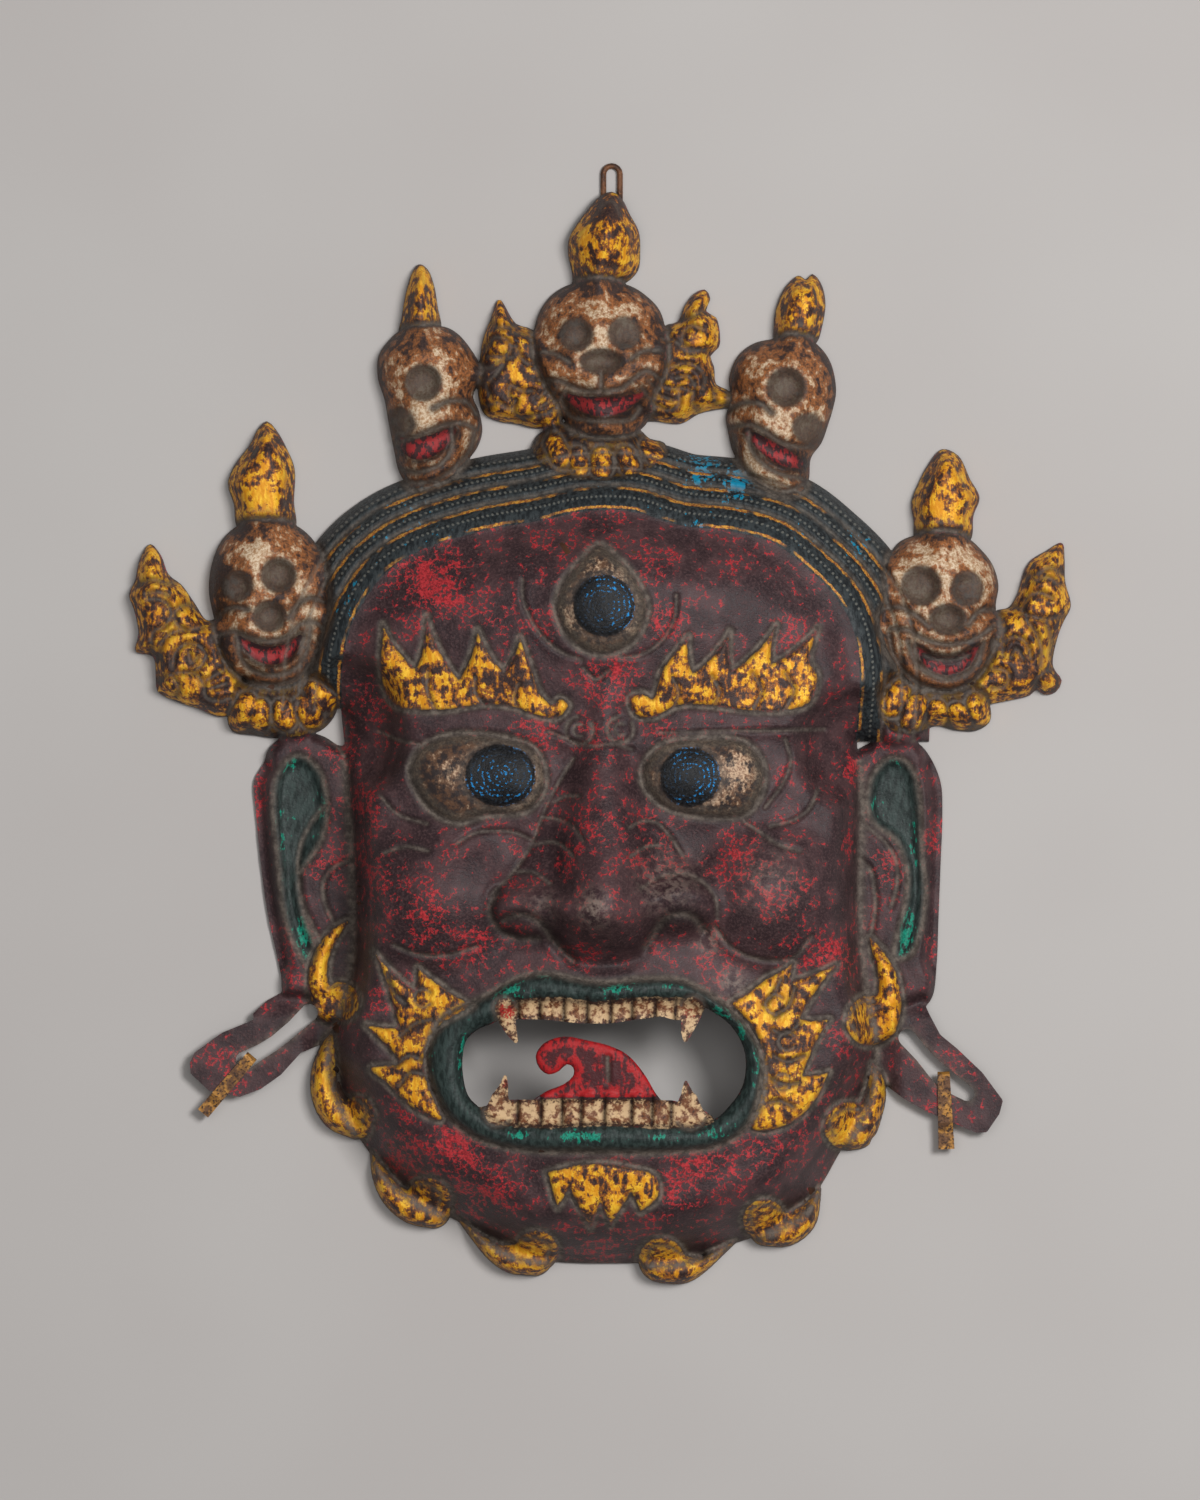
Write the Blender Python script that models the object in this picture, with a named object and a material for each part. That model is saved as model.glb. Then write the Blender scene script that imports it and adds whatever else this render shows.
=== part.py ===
"""Tibetan cham mask of hammered copper sheet, with its hanging loop and two ear-lobe bands.

The mask lies on its back: +Z is the way the face looks, +Y is towards the crown, +X is the right side of the
face as it is seen from the front. Lengths in this file are millimetres until the meshes are made.
"""

import bmesh
import bpy
import math
import numpy as np
from mathutils import Vector
from mathutils.geometry import delaunay_2d_cdt
from mathutils.kdtree import KDTree

MILLIMETRE = 0.001

SHEET = 1.2
FIT_GAP = 0.35
LATTICE_STEP = 1.5
RIM_SLACK = 0.24
COARSE_SHARE = 60
FRONT_FACETS = 4200

EAR_PLATE = 7.0
CROWN_PLATE = 8.0
HAIR_INNER = 29.0
HAIR_OUTER = 6.5
HAIR_LINES = (0.0, 8.0, 13.7, 18.7, 24.0)
FACE_TOP = 41.0
EAR_RIM_FLAT = 3.2
LOBE_LIFT = 4.4
FINIAL_LIFT = 2.8
FINIAL_SWELL = 6.0
HEAD_SWELL = 9.0
SOCKET_DEPTH = 4.0
COLLAR_RISE = 2.5
PETAL_RISE = 1.8
LIP_RISE = 5.0
FLAME_RISE = 2.4
CURL_RISE = 4.0
WING_RISE = 4.0
BAND_RISE = 1.5

WIRE_RADIUS = 0.95
WIRE_SIDES = 10
LOOP_WIDTH = 7.4
LOOP_TOP = 186.8
LOOP_X = 3.9
LOOP_LENGTH = 19.8

BAND_SHEET = 0.9


def spline(points, closed=True, step=1.5):
    """A smooth curve through the points, as a polyline; any third value is carried along."""
    p = np.array(points, float)
    if closed:
        ring = np.vstack([p[-1], p, p[:2]])
    else:
        ring = np.vstack([2 * p[0] - p[1], p, 2 * p[-1] - p[-2]])
    span = np.sqrt(np.maximum(np.linalg.norm(np.diff(ring[:, :2], axis=0), axis=1), 1e-6))
    pieces = []
    for i in range(1, len(ring) - 2):
        a, b, c, d = ring[i - 1], ring[i], ring[i + 1], ring[i + 2]
        before, here, after = span[i - 1], span[i], span[i + 1]
        leave = here * ((b - a) / before - (c - a) / (before + here) + (c - b) / here)
        reach = here * ((c - b) / here - (d - b) / (here + after) + (d - c) / after)
        count = max(2, int(here * here / step))
        t = (np.arange(count) / count)[:, None]
        pieces.append(
            (2 * t**3 - 3 * t**2 + 1) * b
            + (t**3 - 2 * t**2 + t) * leave
            + (3 * t**2 - 2 * t**3) * c
            + (t**3 - t**2) * reach
        )
    if not closed:
        pieces.append(p[-1:])
    return np.concatenate(pieces)


class Area:
    """A closed outline on the sheet."""

    def __init__(self, outline):
        self.outline = np.array(outline, float)[:, :2]

    def gap(self, x, y, reach=8.0):
        """Distance to the outline, negative inside, and no more than reach outside."""
        low = self.outline.min(axis=0) - reach
        high = self.outline.max(axis=0) + reach
        near = (x > low[0]) & (x < high[0]) & (y > low[1]) & (y < high[1])
        px, py = x[near], y[near]
        best = np.full(px.shape, 1e9)
        inside = np.zeros(px.shape, bool)
        for (ax, ay), (bx, by) in zip(self.outline, np.roll(self.outline, -1, axis=0)):
            ex, ey = bx - ax, by - ay
            wx, wy = px - ax, py - ay
            t = np.clip((wx * ex + wy * ey) / (ex * ex + ey * ey), 0, 1)
            best = np.minimum(best, (wx - t * ex) ** 2 + (wy - t * ey) ** 2)
            if ey != 0:
                inside ^= ((ay > py) != (by > py)) & (wx < wy * ex / ey)
        out = np.full(x.shape, reach)
        out[near] = np.minimum(np.where(inside, -1, 1) * np.sqrt(best), reach)
        return out


class Bar:
    """A bent bar on the sheet, from points with a radius each."""

    def __init__(self, points):
        self.line = np.array(points, float)

    def gap(self, x, y, reach=8.0):
        """Distance to the side of the bar, negative inside, and no more than reach outside."""
        wide = self.line[:, 2].max()
        low = self.line[:, :2].min(axis=0) - reach - wide
        high = self.line[:, :2].max(axis=0) + reach + wide
        near = (x > low[0]) & (x < high[0]) & (y > low[1]) & (y < high[1])
        px, py = x[near], y[near]
        best = np.full(px.shape, reach)
        for (ax, ay, ar), (bx, by, br) in zip(self.line[:-1], self.line[1:]):
            ex, ey = bx - ax, by - ay
            wx, wy = px - ax, py - ay
            t = np.clip((wx * ex + wy * ey) / (ex * ex + ey * ey + 1e-9), 0, 1)
            away = np.hypot(wx - t * ex, wy - t * ey) - (ar + (br - ar) * t)
            best = np.minimum(best, away)
        out = np.full(x.shape, reach)
        out[near] = best
        return out


class Both:
    """Several shapes taken as one."""

    def __init__(self, *shapes):
        self.shapes = shapes

    def gap(self, x, y, reach=8.0):
        return np.minimum.reduce([shape.gap(x, y, reach) for shape in self.shapes])


def smooth(*points):
    return Area(spline(points))


def round_spot(x, y, wide, high=None, tilt=0.0):
    """An ellipse with its centre, half width, half height and tilt in degrees."""
    high = wide if high is None else high
    turn = np.arange(20) * math.tau / 20
    c, s = math.cos(math.radians(tilt)), math.sin(math.radians(tilt))
    u, v = wide * np.cos(turn), high * np.sin(turn)
    return Area(np.column_stack([x + u * c - v * s, y + u * s + v * c]))


def curl(centre, radius, *tail):
    """A comma shape: a round bulb and a tail that thins to its tip."""
    return Both(Bar([(*centre, radius), (centre[0] + 0.01, centre[1], radius)]), Bar(spline(tail, False)))


def flames(tips, roots, foot, bow=0.10):
    """Flame tongues side by side: tips and the roots between them, closed by a smooth foot line."""
    outline = []
    ups = [tip for pair in zip(tips, roots) for tip in pair] + [tips[-1]]
    for k, (a, b) in enumerate(zip(ups[:-1], ups[1:])):
        a, b = np.array(a, float), np.array(b, float)
        out = np.array([-(b - a)[1], (b - a)[0]]) * bow
        for t in (0.0, 0.25, 0.5, 0.75):
            outline.append(a + (b - a) * t + out * 4 * t * (1 - t))
    outline += list(spline([tips[-1], *foot, tips[0]], False))[:-1]
    return Area(outline)


ARCH = (
    (-86.5, 9.8), (-85.5, 23.0), (-82.0, 35.0), (-74.0, 47.6), (-65.0, 55.0), (-54.0, 60.0), (-37.5, 64.8),
    (-20.0, 67.8), (-5.0, 71.0), (10.0, 71.0), (27.0, 66.2), (44.0, 64.3), (58.0, 60.3), (69.0, 52.0),
    (79.0, 41.8), (84.8, 30.0), (86.8, 14.0), (85.7, -4.8),
)
JAW = (
    (86.5, -25.0), (86.0, -50.0), (86.5, -75.0), (89.0, -95.0), (91.5, -108.0), (90.0, -121.0),
    (85.0, -134.0), (79.0, -144.5), (74.5, -152.5), (68.0, -162.0), (57.0, -169.0), (45.5, -173.0),
    (36.0, -176.5),
    (25.0, -179.5), (13.0, -179.8), (-14.0, -179.4), (-28.0, -177.0), (-38.0, -172.0), (-47.5, -165.8),
    (-60.0, -159.5), (-70.0, -152.0), (-76.8, -143.0), (-82.0, -135.0), (-88.0, -121.0), (-89.5, -107.0),
    (-85.0, -94.0), (-82.0, -80.0), (-81.8, -50.0), (-83.7, -20.0),
)
FACE = smooth(*ARCH, *JAW)
ARCH_SPAN = smooth(*ARCH, (86.5, -60.0), (0.0, -60.0), (-84.0, -60.0))

HAIR_SPREAD = HAIR_LINES[-1]
HAIR_LEFT_FOOT = 5.0
HAIR_RIGHT_FOOT = -6.0

MOUTH_RIM = smooth(
    (-57.0, -108.0), (-53.0, -98.5), (-45.0, -93.5), (-36.0, -89.5), (-28.0, -84.8), (-18.0, -83.0),
    (-8.0, -84.8), (2.0, -86.0), (14.0, -84.6), (26.0, -85.0), (36.0, -89.5), (45.0, -96.5), (51.5, -105.0),
    (54.3, -114.0), (53.0, -126.0), (47.0, -135.0), (38.0, -140.0), (20.0, -141.7), (-5.0, -141.7),
    (-28.0, -140.7), (-42.0, -136.5), (-51.0, -129.0), (-56.0, -119.0),
)
GUMS = smooth(
    (-45.5, -111.0), (-44.0, -104.5), (-39.5, -100.8), (-34.0, -98.5), (-29.5, -92.8), (-15.0, -91.0),
    (-2.0, -92.3), (10.0, -91.2), (22.0, -91.0), (30.0, -92.0), (37.0, -95.3), (43.0, -99.8), (47.0, -106.0),
    (48.3, -113.0), (47.0, -120.5), (43.0, -126.5), (38.5, -130.8), (34.0, -133.0), (18.0, -133.5),
    (0.0, -132.7), (-20.0, -133.5), (-34.0, -132.0), (-39.5, -127.5), (-43.5, -123.5), (-45.2, -117.5),
)
UPPER_TEETH = Area(((-33.5, -88.0), (-33.0, -98.5), (-27.0, -97.8), (-18.0, -98.0), (-7.0, -99.2),
                    (3.0, -99.3), (12.0, -98.0), (20.0, -96.9), (25.0, -98.2), (33.0, -97.5), (35.0, -94.0),
                    (36.0, -88.0)))
LOWER_TEETH = Area(((-40.0, -127.2), (-30.0, -124.6), (-10.0, -124.3), (10.0, -124.3), (24.0, -124.8),
                    (33.0, -127.0), (37.5, -130.5), (38.0, -137.0), (-41.0, -137.0)))
FANGS = (
    Bar(((-31.5, -94.0, 3.4), (-30.8, -98.0, 2.9), (-29.3, -102.0, 1.8), (-27.9, -105.0, 0.8))),
    Bar(((30.8, -94.0, 3.7), (29.8, -98.0, 2.9), (28.7, -102.0, 1.9), (28.3, -104.6, 0.9))),
    Bar(((-34.0, -129.0, 4.2), (-33.2, -124.5, 3.0), (-31.8, -120.0, 1.4), (-31.4, -117.0, 0.6))),
    Bar(((30.0, -129.5, 4.6), (29.3, -125.0, 3.2), (28.7, -121.5, 1.6), (28.4, -118.8, 0.6))),
)
TONGUE = smooth(
    (-23.5, -126.5), (-18.0, -121.9), (-12.0, -119.4), (-8.8, -116.5), (-8.9, -113.7), (-11.0, -112.8),
    (-13.5, -115.0), (-17.0, -116.2), (-20.0, -114.2), (-21.3, -110.2), (-18.8, -106.0), (-12.0, -103.6),
    (-4.0, -104.9), (3.0, -106.6), (9.0, -109.6), (14.5, -115.8), (18.0, -121.8), (21.0, -127.0),
    (0.0, -129.0),
)

LEFT_SLOT = Bar(((-96.8, -96.3, 2.9), (-102.0, -101.2, 2.5), (-108.0, -106.2, 2.4), (-113.0, -109.3, 2.5),
                 (-118.2, -112.2, 3.1)))
RIGHT_SLOT = Bar(((102.3, -104.6, 2.9), (107.5, -110.5, 2.6), (112.0, -115.6, 3.0), (114.9, -118.4, 3.6),
                  (122.3, -123.2, 2.5)))

LEFT_EAR = smooth(
    (-80.0, -4.0), (-86.0, -7.5), (-92.0, -4.3), (-99.0, -2.6), (-106.0, -4.5), (-110.5, -8.5),
    (-112.0, -13.0), (-115.2, -19.0), (-114.6, -30.0), (-113.2, -45.0), (-111.0, -62.0), (-108.2, -75.0),
    (-106.3, -84.0),
    (-105.3, -91.0), (-97.0, -95.0), (-84.0, -100.0), (-78.0, -60.0),
)
RIGHT_EAR = smooth(
    (80.0, -12.0), (86.0, -8.5), (92.0, -5.6), (99.0, -4.9), (106.0, -6.5), (110.5, -12.0), (113.6, -20.0),
    (114.1, -30.0), (113.5, -47.0), (112.8, -65.0), (112.2, -80.0), (110.8, -91.0), (107.9, -95.0),
    (103.0, -101.5), (86.0, -104.0), (78.0, -60.0),
)
LEFT_LOBE = Area(((-105.3, -86.0), (-106.0, -89.5), (-111.0, -92.3), (-115.6, -96.6), (-115.3, -98.6),
                  (-126.0, -103.0), (-135.0, -109.6), (-136.6, -113.0), (-136.3, -116.6), (-130.3, -122.2),
                  (-120.0, -124.3), (-113.0, -121.7), (-106.3, -117.0), (-99.6, -109.6), (-94.0, -107.3),
                  (-86.0, -106.0), (-88.0, -90.0)))
RIGHT_LOBE = Area(((107.5, -92.0), (109.8, -97.0), (113.3, -103.6), (119.0, -108.3), (127.3, -116.2),
                   (134.2, -125.5), (133.0, -130.0), (128.8, -136.1), (125.4, -136.3), (118.7, -133.4),
                   (109.0, -129.3), (101.0, -124.8), (95.0, -120.3), (87.0, -112.0), (90.0, -100.0)))
LEFT_CONCHA = smooth(
    (-100.7, -10.5), (-107.0, -16.0), (-108.8, -26.0), (-107.2, -45.0), (-105.0, -64.0), (-101.5, -74.0),
    (-97.5, -80.0), (-95.0, -75.0), (-98.7, -64.0), (-100.0, -50.0), (-97.0, -45.5), (-92.5, -38.0),
    (-91.0, -26.0), (-94.0, -15.0),
)
RIGHT_CONCHA = smooth(
    (96.5, -11.5), (91.0, -17.0), (89.2, -28.0), (92.0, -34.0), (98.0, -38.0), (102.0, -47.0), (102.3, -57.0),
    (99.5, -69.0), (98.3, -78.0), (103.0, -77.0), (106.8, -68.0), (108.2, -57.0), (107.0, -42.0),
    (106.5, -27.0), (104.5, -16.5), (101.0, -12.2),
)

CURLS = (
    curl((-86.5, -92.5), 6.6, (-90.0, -94.0, 5.5), (-93.4, -88.0, 3.6), (-93.5, -80.0, 3.0),
         (-90.5, -73.0, 2.3), (-86.5, -68.0, 1.3), (-84.0, -66.0, 0.5)),
    curl((-80.5, -129.5), 5.6, (-81.0, -133.7, 5.0), (-87.5, -130.0, 5.6), (-91.5, -124.0, 4.7),
         (-92.0, -116.0, 4.3), (-91.0, -109.0, 2.8), (-89.5, -103.5, 0.8)),
    curl((-57.0, -158.5), 7.6, (-55.5, -162.5, 5.8), (-62.5, -161.4, 5.3), (-69.0, -157.2, 4.1),
         (-73.0, -151.0, 2.9), (-76.3, -143.5, 0.5)),
    curl((-21.0, -175.5), 7.3, (-22.0, -177.8, 6.4), (-29.0, -178.3, 5.0), (-35.0, -176.2, 3.3),
         (-40.5, -171.8, 1.9), (-47.0, -165.5, 0.4)),
    curl((20.5, -178.5), 7.8, (22.0, -180.5, 6.3), (28.0, -181.8, 4.7), (34.0, -180.2, 2.7),
         (39.0, -177.0, 1.6), (45.0, -172.8, 0.4)),
    curl((54.5, -165.0), 7.2, (55.5, -168.0, 6.2), (62.0, -168.5, 5.7), (67.5, -165.5, 4.6),
         (71.0, -160.5, 2.4), (73.3, -155.0, 0.5)),
    curl((90.0, -98.8), 8.5, (92.5, -98.5, 7.4), (96.0, -92.0, 4.4), (95.6, -84.0, 3.2),
         (93.0, -77.5, 2.2), (90.0, -71.5, 0.5)),
    curl((82.7, -134.0), 8.3, (85.0, -134.5, 7.5), (89.3, -130.5, 4.7), (91.8, -123.5, 3.6),
         (91.9, -118.0, 2.4), (90.8, -113.5, 0.5)),
)


class Skull:
    """One crown skull: outline of its head, sockets, nose, mouth, finial and neck collar."""

    def __init__(self, head, eyes, nose, grin, finial, petals, collar, base):
        self.head = smooth(*head)
        self.eyes = [round_spot(*eye) for eye in eyes]
        self.nose = round_spot(*nose)
        self.grin = Bar(spline(grin, False))
        self.finial = smooth(*finial)
        self.petals = [Bar(petal) for petal in petals]
        self.collar = smooth(*collar) if collar else None
        self.base = base


SKULLS = (
    Skull(
        head=((-9.0, 146.7), (-15.5, 143.3), (-20.0, 137.5), (-22.0, 130.5), (-21.0, 121.0), (-17.5, 112.5),
              (-13.5, 106.0), (-11.5, 100.5), (-6.0, 96.8), (1.0, 95.6), (8.5, 96.2), (14.0, 98.3),
              (17.0, 103.0), (17.5, 109.0), (21.3, 117.0), (22.0, 129.5), (20.0, 137.5), (15.5, 142.5),
              (10.0, 145.9), (0.0, 147.8)),
        eyes=((-8.0, 129.2, 5.0), (8.2, 129.7, 4.8)),
        nose=(0.5, 120.2, 6.6, 3.7),
        grin=((-11.5, 109.0, 1.6), (-5.0, 106.0, 3.4), (1.0, 105.2, 4.0), (7.0, 106.0, 3.4),
              (14.0, 109.5, 1.6)),
        finial=((-8.5, 144.0), (-9.3, 150.0), (-10.6, 156.0), (-10.5, 161.0), (-8.0, 166.0), (-4.0, 171.3),
                (0.0, 175.7), (4.0, 177.2), (7.3, 174.8), (10.0, 169.5), (12.9, 164.0), (13.4, 157.5),
                (12.6, 150.8), (7.3, 146.0), (0.0, 143.5)),
        petals=(((-15.5, 93.5, 2.4), (-13.0, 88.5, 2.6)), ((-7.5, 89.0, 2.2), (-6.5, 85.5, 2.4)),
                ((0.5, 88.5, 2.8), (0.5, 85.0, 3.0)), ((8.5, 89.0, 2.4), (10.0, 85.5, 2.6)),
                ((16.5, 92.5, 2.4), (18.5, 89.3, 2.6))),
        collar=((-22.8, 92.0), (-20.5, 87.5), (-14.5, 83.6), (-7.0, 82.0), (1.0, 81.6), (9.0, 82.4),
                (16.5, 85.0), (22.3, 90.2), (21.5, 93.6), (16.5, 95.0), (13.0, 98.0), (0.0, 99.0),
                (-12.0, 100.5), (-17.0, 98.5), (-20.5, 96.5)),
        base=13.0,
    ),
    Skull(
        head=((-66.5, 131.0), (-70.5, 127.5), (-73.8, 122.5), (-74.0, 115.0), (-71.8, 108.0), (-70.6, 101.0),
              (-68.8, 92.0), (-66.8, 83.5), (-63.0, 78.6), (-57.0, 78.4), (-51.0, 81.0), (-45.5, 86.3),
              (-41.0, 91.8), (-39.2, 97.5), (-40.3, 104.0), (-42.3, 109.0), (-40.7, 113.5), (-40.2, 119.5),
              (-42.5, 124.0), (-47.5, 130.0), (-52.0, 132.3), (-60.0, 132.0)),
        eyes=((-58.8, 113.3, 5.5),),
        nose=(-66.5, 100.0, 4.0, 4.6, 30.0),
        grin=((-66.0, 94.0, 2.2), (-61.5, 91.3, 4.2), (-55.5, 92.8, 4.2), (-49.5, 97.0, 2.4)),
        finial=((-66.8, 128.5), (-66.0, 136.0), (-64.6, 144.0), (-62.5, 150.5), (-60.3, 153.2),
                (-57.5, 151.5), (-55.3, 146.0), (-54.2, 139.5), (-53.4, 130.0)),
        petals=(),
        collar=None,
        base=9.0,
    ),
    Skull(
        head=((58.5, 128.3), (51.5, 126.8), (46.0, 122.5), (43.0, 115.0), (43.6, 108.0), (41.9, 102.5),
              (42.8, 96.5), (44.5, 90.0), (49.5, 83.0), (55.5, 78.3), (61.5, 76.1), (66.5, 76.5),
              (69.5, 81.0), (70.3, 88.5), (73.8, 93.5), (76.0, 99.5), (77.8, 105.5), (78.7, 111.0),
              (77.0, 120.0), (73.5, 125.3), (69.5, 128.3), (64.0, 129.3)),
        eyes=((62.0, 111.8, 5.9),),
        nose=(69.5, 98.0, 5.0, 4.4, -25.0),
        grin=((49.5, 96.5, 1.8), (55.0, 92.3, 3.4), (61.0, 88.6, 3.8), (66.0, 86.5, 2.6)),
        finial=((58.7, 126.0), (57.9, 133.0), (59.0, 139.5), (61.8, 145.5), (66.4, 149.4), (68.6, 147.9),
                (70.8, 149.9), (73.5, 147.0), (75.1, 141.0), (74.4, 134.0), (71.3, 126.0)),
        petals=(),
        collar=None,
        base=9.0,
    ),
    Skull(
        head=((-119.0, 66.8), (-125.7, 61.5), (-129.4, 53.0), (-130.3, 44.0), (-128.6, 35.0), (-126.3, 26.0),
              (-122.0, 18.0), (-116.0, 13.3), (-109.5, 12.2), (-102.0, 13.3), (-96.0, 19.0), (-92.6, 28.0),
              (-90.3, 37.0), (-91.0, 47.0), (-92.5, 55.5), (-96.7, 62.5), (-103.0, 66.8), (-111.0, 67.5)),
        eyes=((-120.6, 45.7, 4.6), (-106.8, 49.3, 5.2)),
        nose=(-109.8, 35.7, 5.0, 4.6),
        grin=((-120.0, 28.5, 1.4), (-114.5, 24.0, 3.2), (-109.0, 22.5, 3.8), (-103.5, 24.5, 3.2),
              (-99.5, 29.0, 1.4)),
        finial=((-120.3, 64.5), (-122.0, 73.0), (-124.0, 80.0), (-121.8, 86.0), (-117.0, 92.5),
                (-113.5, 98.8), (-111.0, 100.8), (-108.0, 98.0), (-104.3, 91.5), (-101.8, 85.0),
                (-102.0, 74.0),
                (-101.9, 64.5)),
        petals=(((-117.3, 7.0, 2.7), (-120.5, 0.8, 3.0)), ((-112.7, 5.5, 2.1), (-113.4, 0.0, 2.4)),
                ((-105.5, 4.8, 2.8), (-104.8, 1.3, 3.0)), ((-98.8, 6.2, 2.6), (-95.8, 1.8, 3.0)),
                ((-95.3, 11.0, 2.6), (-91.2, 7.3, 3.0))),
        collar=((-119.5, 14.5), (-122.5, 8.5), (-124.2, 1.5), (-122.6, -2.6), (-115.0, -4.0), (-108.0, -4.9),
                (-100.0, -4.3), (-92.5, -2.0), (-88.0, 3.5), (-87.6, 9.5), (-90.5, 14.2), (-95.5, 17.0),
                (-104.0, 13.0), (-112.0, 12.5)),
        base=9.5,
    ),
    Skull(
        head=((105.8, 63.0), (99.5, 60.3), (96.0, 54.5), (95.2, 47.0), (95.6, 41.0), (92.6, 35.0),
              (94.5, 27.0), (98.5, 19.0), (104.0, 13.3), (111.5, 11.2), (118.5, 11.5), (125.0, 15.5),
              (129.5, 22.5), (132.3, 31.0), (131.9, 39.5), (132.8, 46.0), (130.8, 53.0), (126.5, 58.5),
              (122.5, 61.8), (114.5, 63.6)),
        eyes=((106.7, 45.8, 6.0), (122.0, 44.8, 4.8, 5.2)),
        nose=(115.7, 34.5, 5.8, 4.6),
        grin=((105.5, 25.0, 1.4), (110.0, 20.5, 3.2), (115.5, 19.0, 3.8), (121.0, 20.8, 3.2),
              (125.5, 25.5, 1.4)),
        finial=((105.6, 60.5), (104.5, 68.0), (103.7, 73.5), (106.3, 80.5), (110.0, 87.3), (114.0, 91.5),
                (119.4, 89.3), (123.3, 81.5), (126.5, 75.3), (124.5, 69.5), (123.0, 60.5)),
        petals=(((100.0, 11.0, 2.8), (97.0, 6.0, 3.2)), ((105.5, 6.3, 3.0), (103.4, 1.5, 3.2)),
                ((112.0, 4.8, 2.6), (112.3, 2.0, 2.8)), ((118.8, 3.8, 2.6), (120.3, 1.0, 2.8)),
                ((125.3, 7.0, 2.7), (127.3, 2.8, 3.0))),
        collar=((93.6, 13.0), (92.8, 6.0), (94.5, 0.0), (100.0, -3.4), (106.5, -2.7), (112.0, -0.8),
                (118.5, -2.3), (125.3, -2.4), (129.8, 0.4), (130.2, 5.0), (127.8, 12.0), (120.0, 14.0),
                (108.0, 14.5), (98.5, 18.0)),
        base=9.5,
    ),
)

WINGS = (
    smooth((-33.6, 141.4), (-36.4, 135.0), (-39.0, 128.0), (-40.2, 120.0), (-40.6, 109.0), (-38.5, 103.0),
           (-33.5, 100.6), (-27.5, 99.7), (-21.5, 98.3), (-13.0, 100.0), (-14.0, 112.0), (-19.0, 126.0),
           (-22.5, 131.3), (-28.0, 133.3)),
    smooth((35.0, 144.7), (31.3, 143.2), (28.0, 138.8), (26.0, 134.0), (21.5, 132.5), (18.0, 126.0),
           (16.0, 112.0), (13.0, 101.5), (19.5, 100.6), (27.0, 99.9), (33.0, 103.2), (39.0, 104.6),
           (43.8, 105.5), (45.0, 108.5), (42.0, 111.5), (38.8, 113.0), (38.0, 119.0), (36.8, 122.5),
           (39.7, 125.5), (40.0, 129.0), (38.7, 135.3), (35.3, 137.5), (36.8, 141.5)),
    smooth((-149.9, 59.9), (-153.3, 55.0), (-155.0, 47.5), (-157.0, 43.0), (-155.3, 38.0), (-153.8, 30.0),
           (-154.8, 24.0), (-149.0, 22.3), (-148.0, 14.5), (-147.5, 10.8), (-141.0, 7.3), (-134.0, 5.0),
           (-126.5, 2.2), (-119.0, 5.0), (-120.0, 20.0), (-125.0, 35.5), (-130.8, 34.3), (-135.0, 40.0),
           (-139.5, 46.3), (-143.8, 49.7), (-146.3, 56.0)),
    smooth((154.0, 60.3), (148.5, 57.5), (143.3, 54.2), (141.2, 50.5), (139.2, 43.5), (136.3, 38.8),
           (131.5, 37.5), (124.0, 30.0), (122.0, 15.0), (124.0, 5.0), (130.5, 6.5), (137.5, 7.9),
           (143.3, 9.4), (145.5, 11.3), (148.0, 9.6), (151.8, 10.4), (153.9, 14.3), (151.0, 19.0),
           (152.3, 28.0), (154.5, 34.0), (156.9, 39.0), (155.0, 47.5), (154.8, 55.0)),
)

LEFT_BROW = flames(
    tips=((-72.0, 32.8), (-57.5, 35.5), (-40.5, 31.0), (-26.5, 28.5)),
    roots=((-61.0, 18.0), (-46.7, 14.5), (-31.8, 17.0)),
    foot=((-23.0, 19.0), (-19.5, 9.5), (-15.5, 6.2), (-13.3, 8.3), (-10.3, 6.0), (-14.0, 1.9), (-22.0, 3.0),
          (-28.0, 5.3), (-38.0, 6.3), (-50.0, 4.6), (-60.0, 4.5), (-68.0, 6.0), (-72.4, 14.0)),
)
RIGHT_BROW = flames(
    tips=((29.3, 29.0), (43.0, 30.5), (58.5, 32.5), (72.3, 31.8)),
    roots=((30.7, 16.5), (43.8, 17.5), (57.0, 19.7)),
    foot=((69.5, 21.0), (72.2, 15.5), (69.0, 6.5), (60.0, 4.2), (50.0, 4.2), (37.0, 5.8), (26.0, 6.0),
          (17.5, 2.0), (11.5, 3.0), (10.0, 8.5), (14.5, 10.0), (17.3, 8.0), (20.5, 17.5)),
)
LEFT_CHEEK_FLAME = flames(
    tips=((-78.0, -99.8), (-75.0, -75.5), (-60.3, -80.8), (-42.0, -93.5)),
    roots=((-66.5, -100.8), (-61.0, -89.0), (-53.0, -86.5)),
    foot=((-54.0, -101.0), (-58.3, -110.0), (-57.3, -119.0), (-52.5, -131.3), (-61.0, -128.0),
          (-70.5, -119.5), (-76.3, -114.2), (-67.0, -112.3)),
    bow=0.05,
)
RIGHT_CHEEK_FLAME = flames(
    tips=((43.0, -92.5), (64.0, -79.3), (78.5, -79.8), (76.0, -98.0), (76.0, -115.5)),
    roots=((55.0, -84.4), (63.0, -85.3), (66.0, -98.0), (67.0, -116.8)),
    foot=((72.0, -124.0), (65.5, -131.0), (58.0, -134.3), (50.5, -134.3), (53.0, -124.0), (54.3, -113.0),
          (51.0, -101.5)),
    bow=0.05,
)
GOATEE = flames(
    tips=((-17.5, -148.6), (-14.0, -160.5), (-3.0, -167.5), (3.5, -166.5), (13.5, -162.0)),
    roots=((-15.8, -155.5), (-10.2, -154.3), (0.0, -158.6), (10.3, -155.2)),
    foot=((19.4, -156.5), (18.5, -150.0), (10.0, -147.0), (0.0, -145.6), (-10.0, -146.6)),
    bow=0.0,
)

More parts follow.
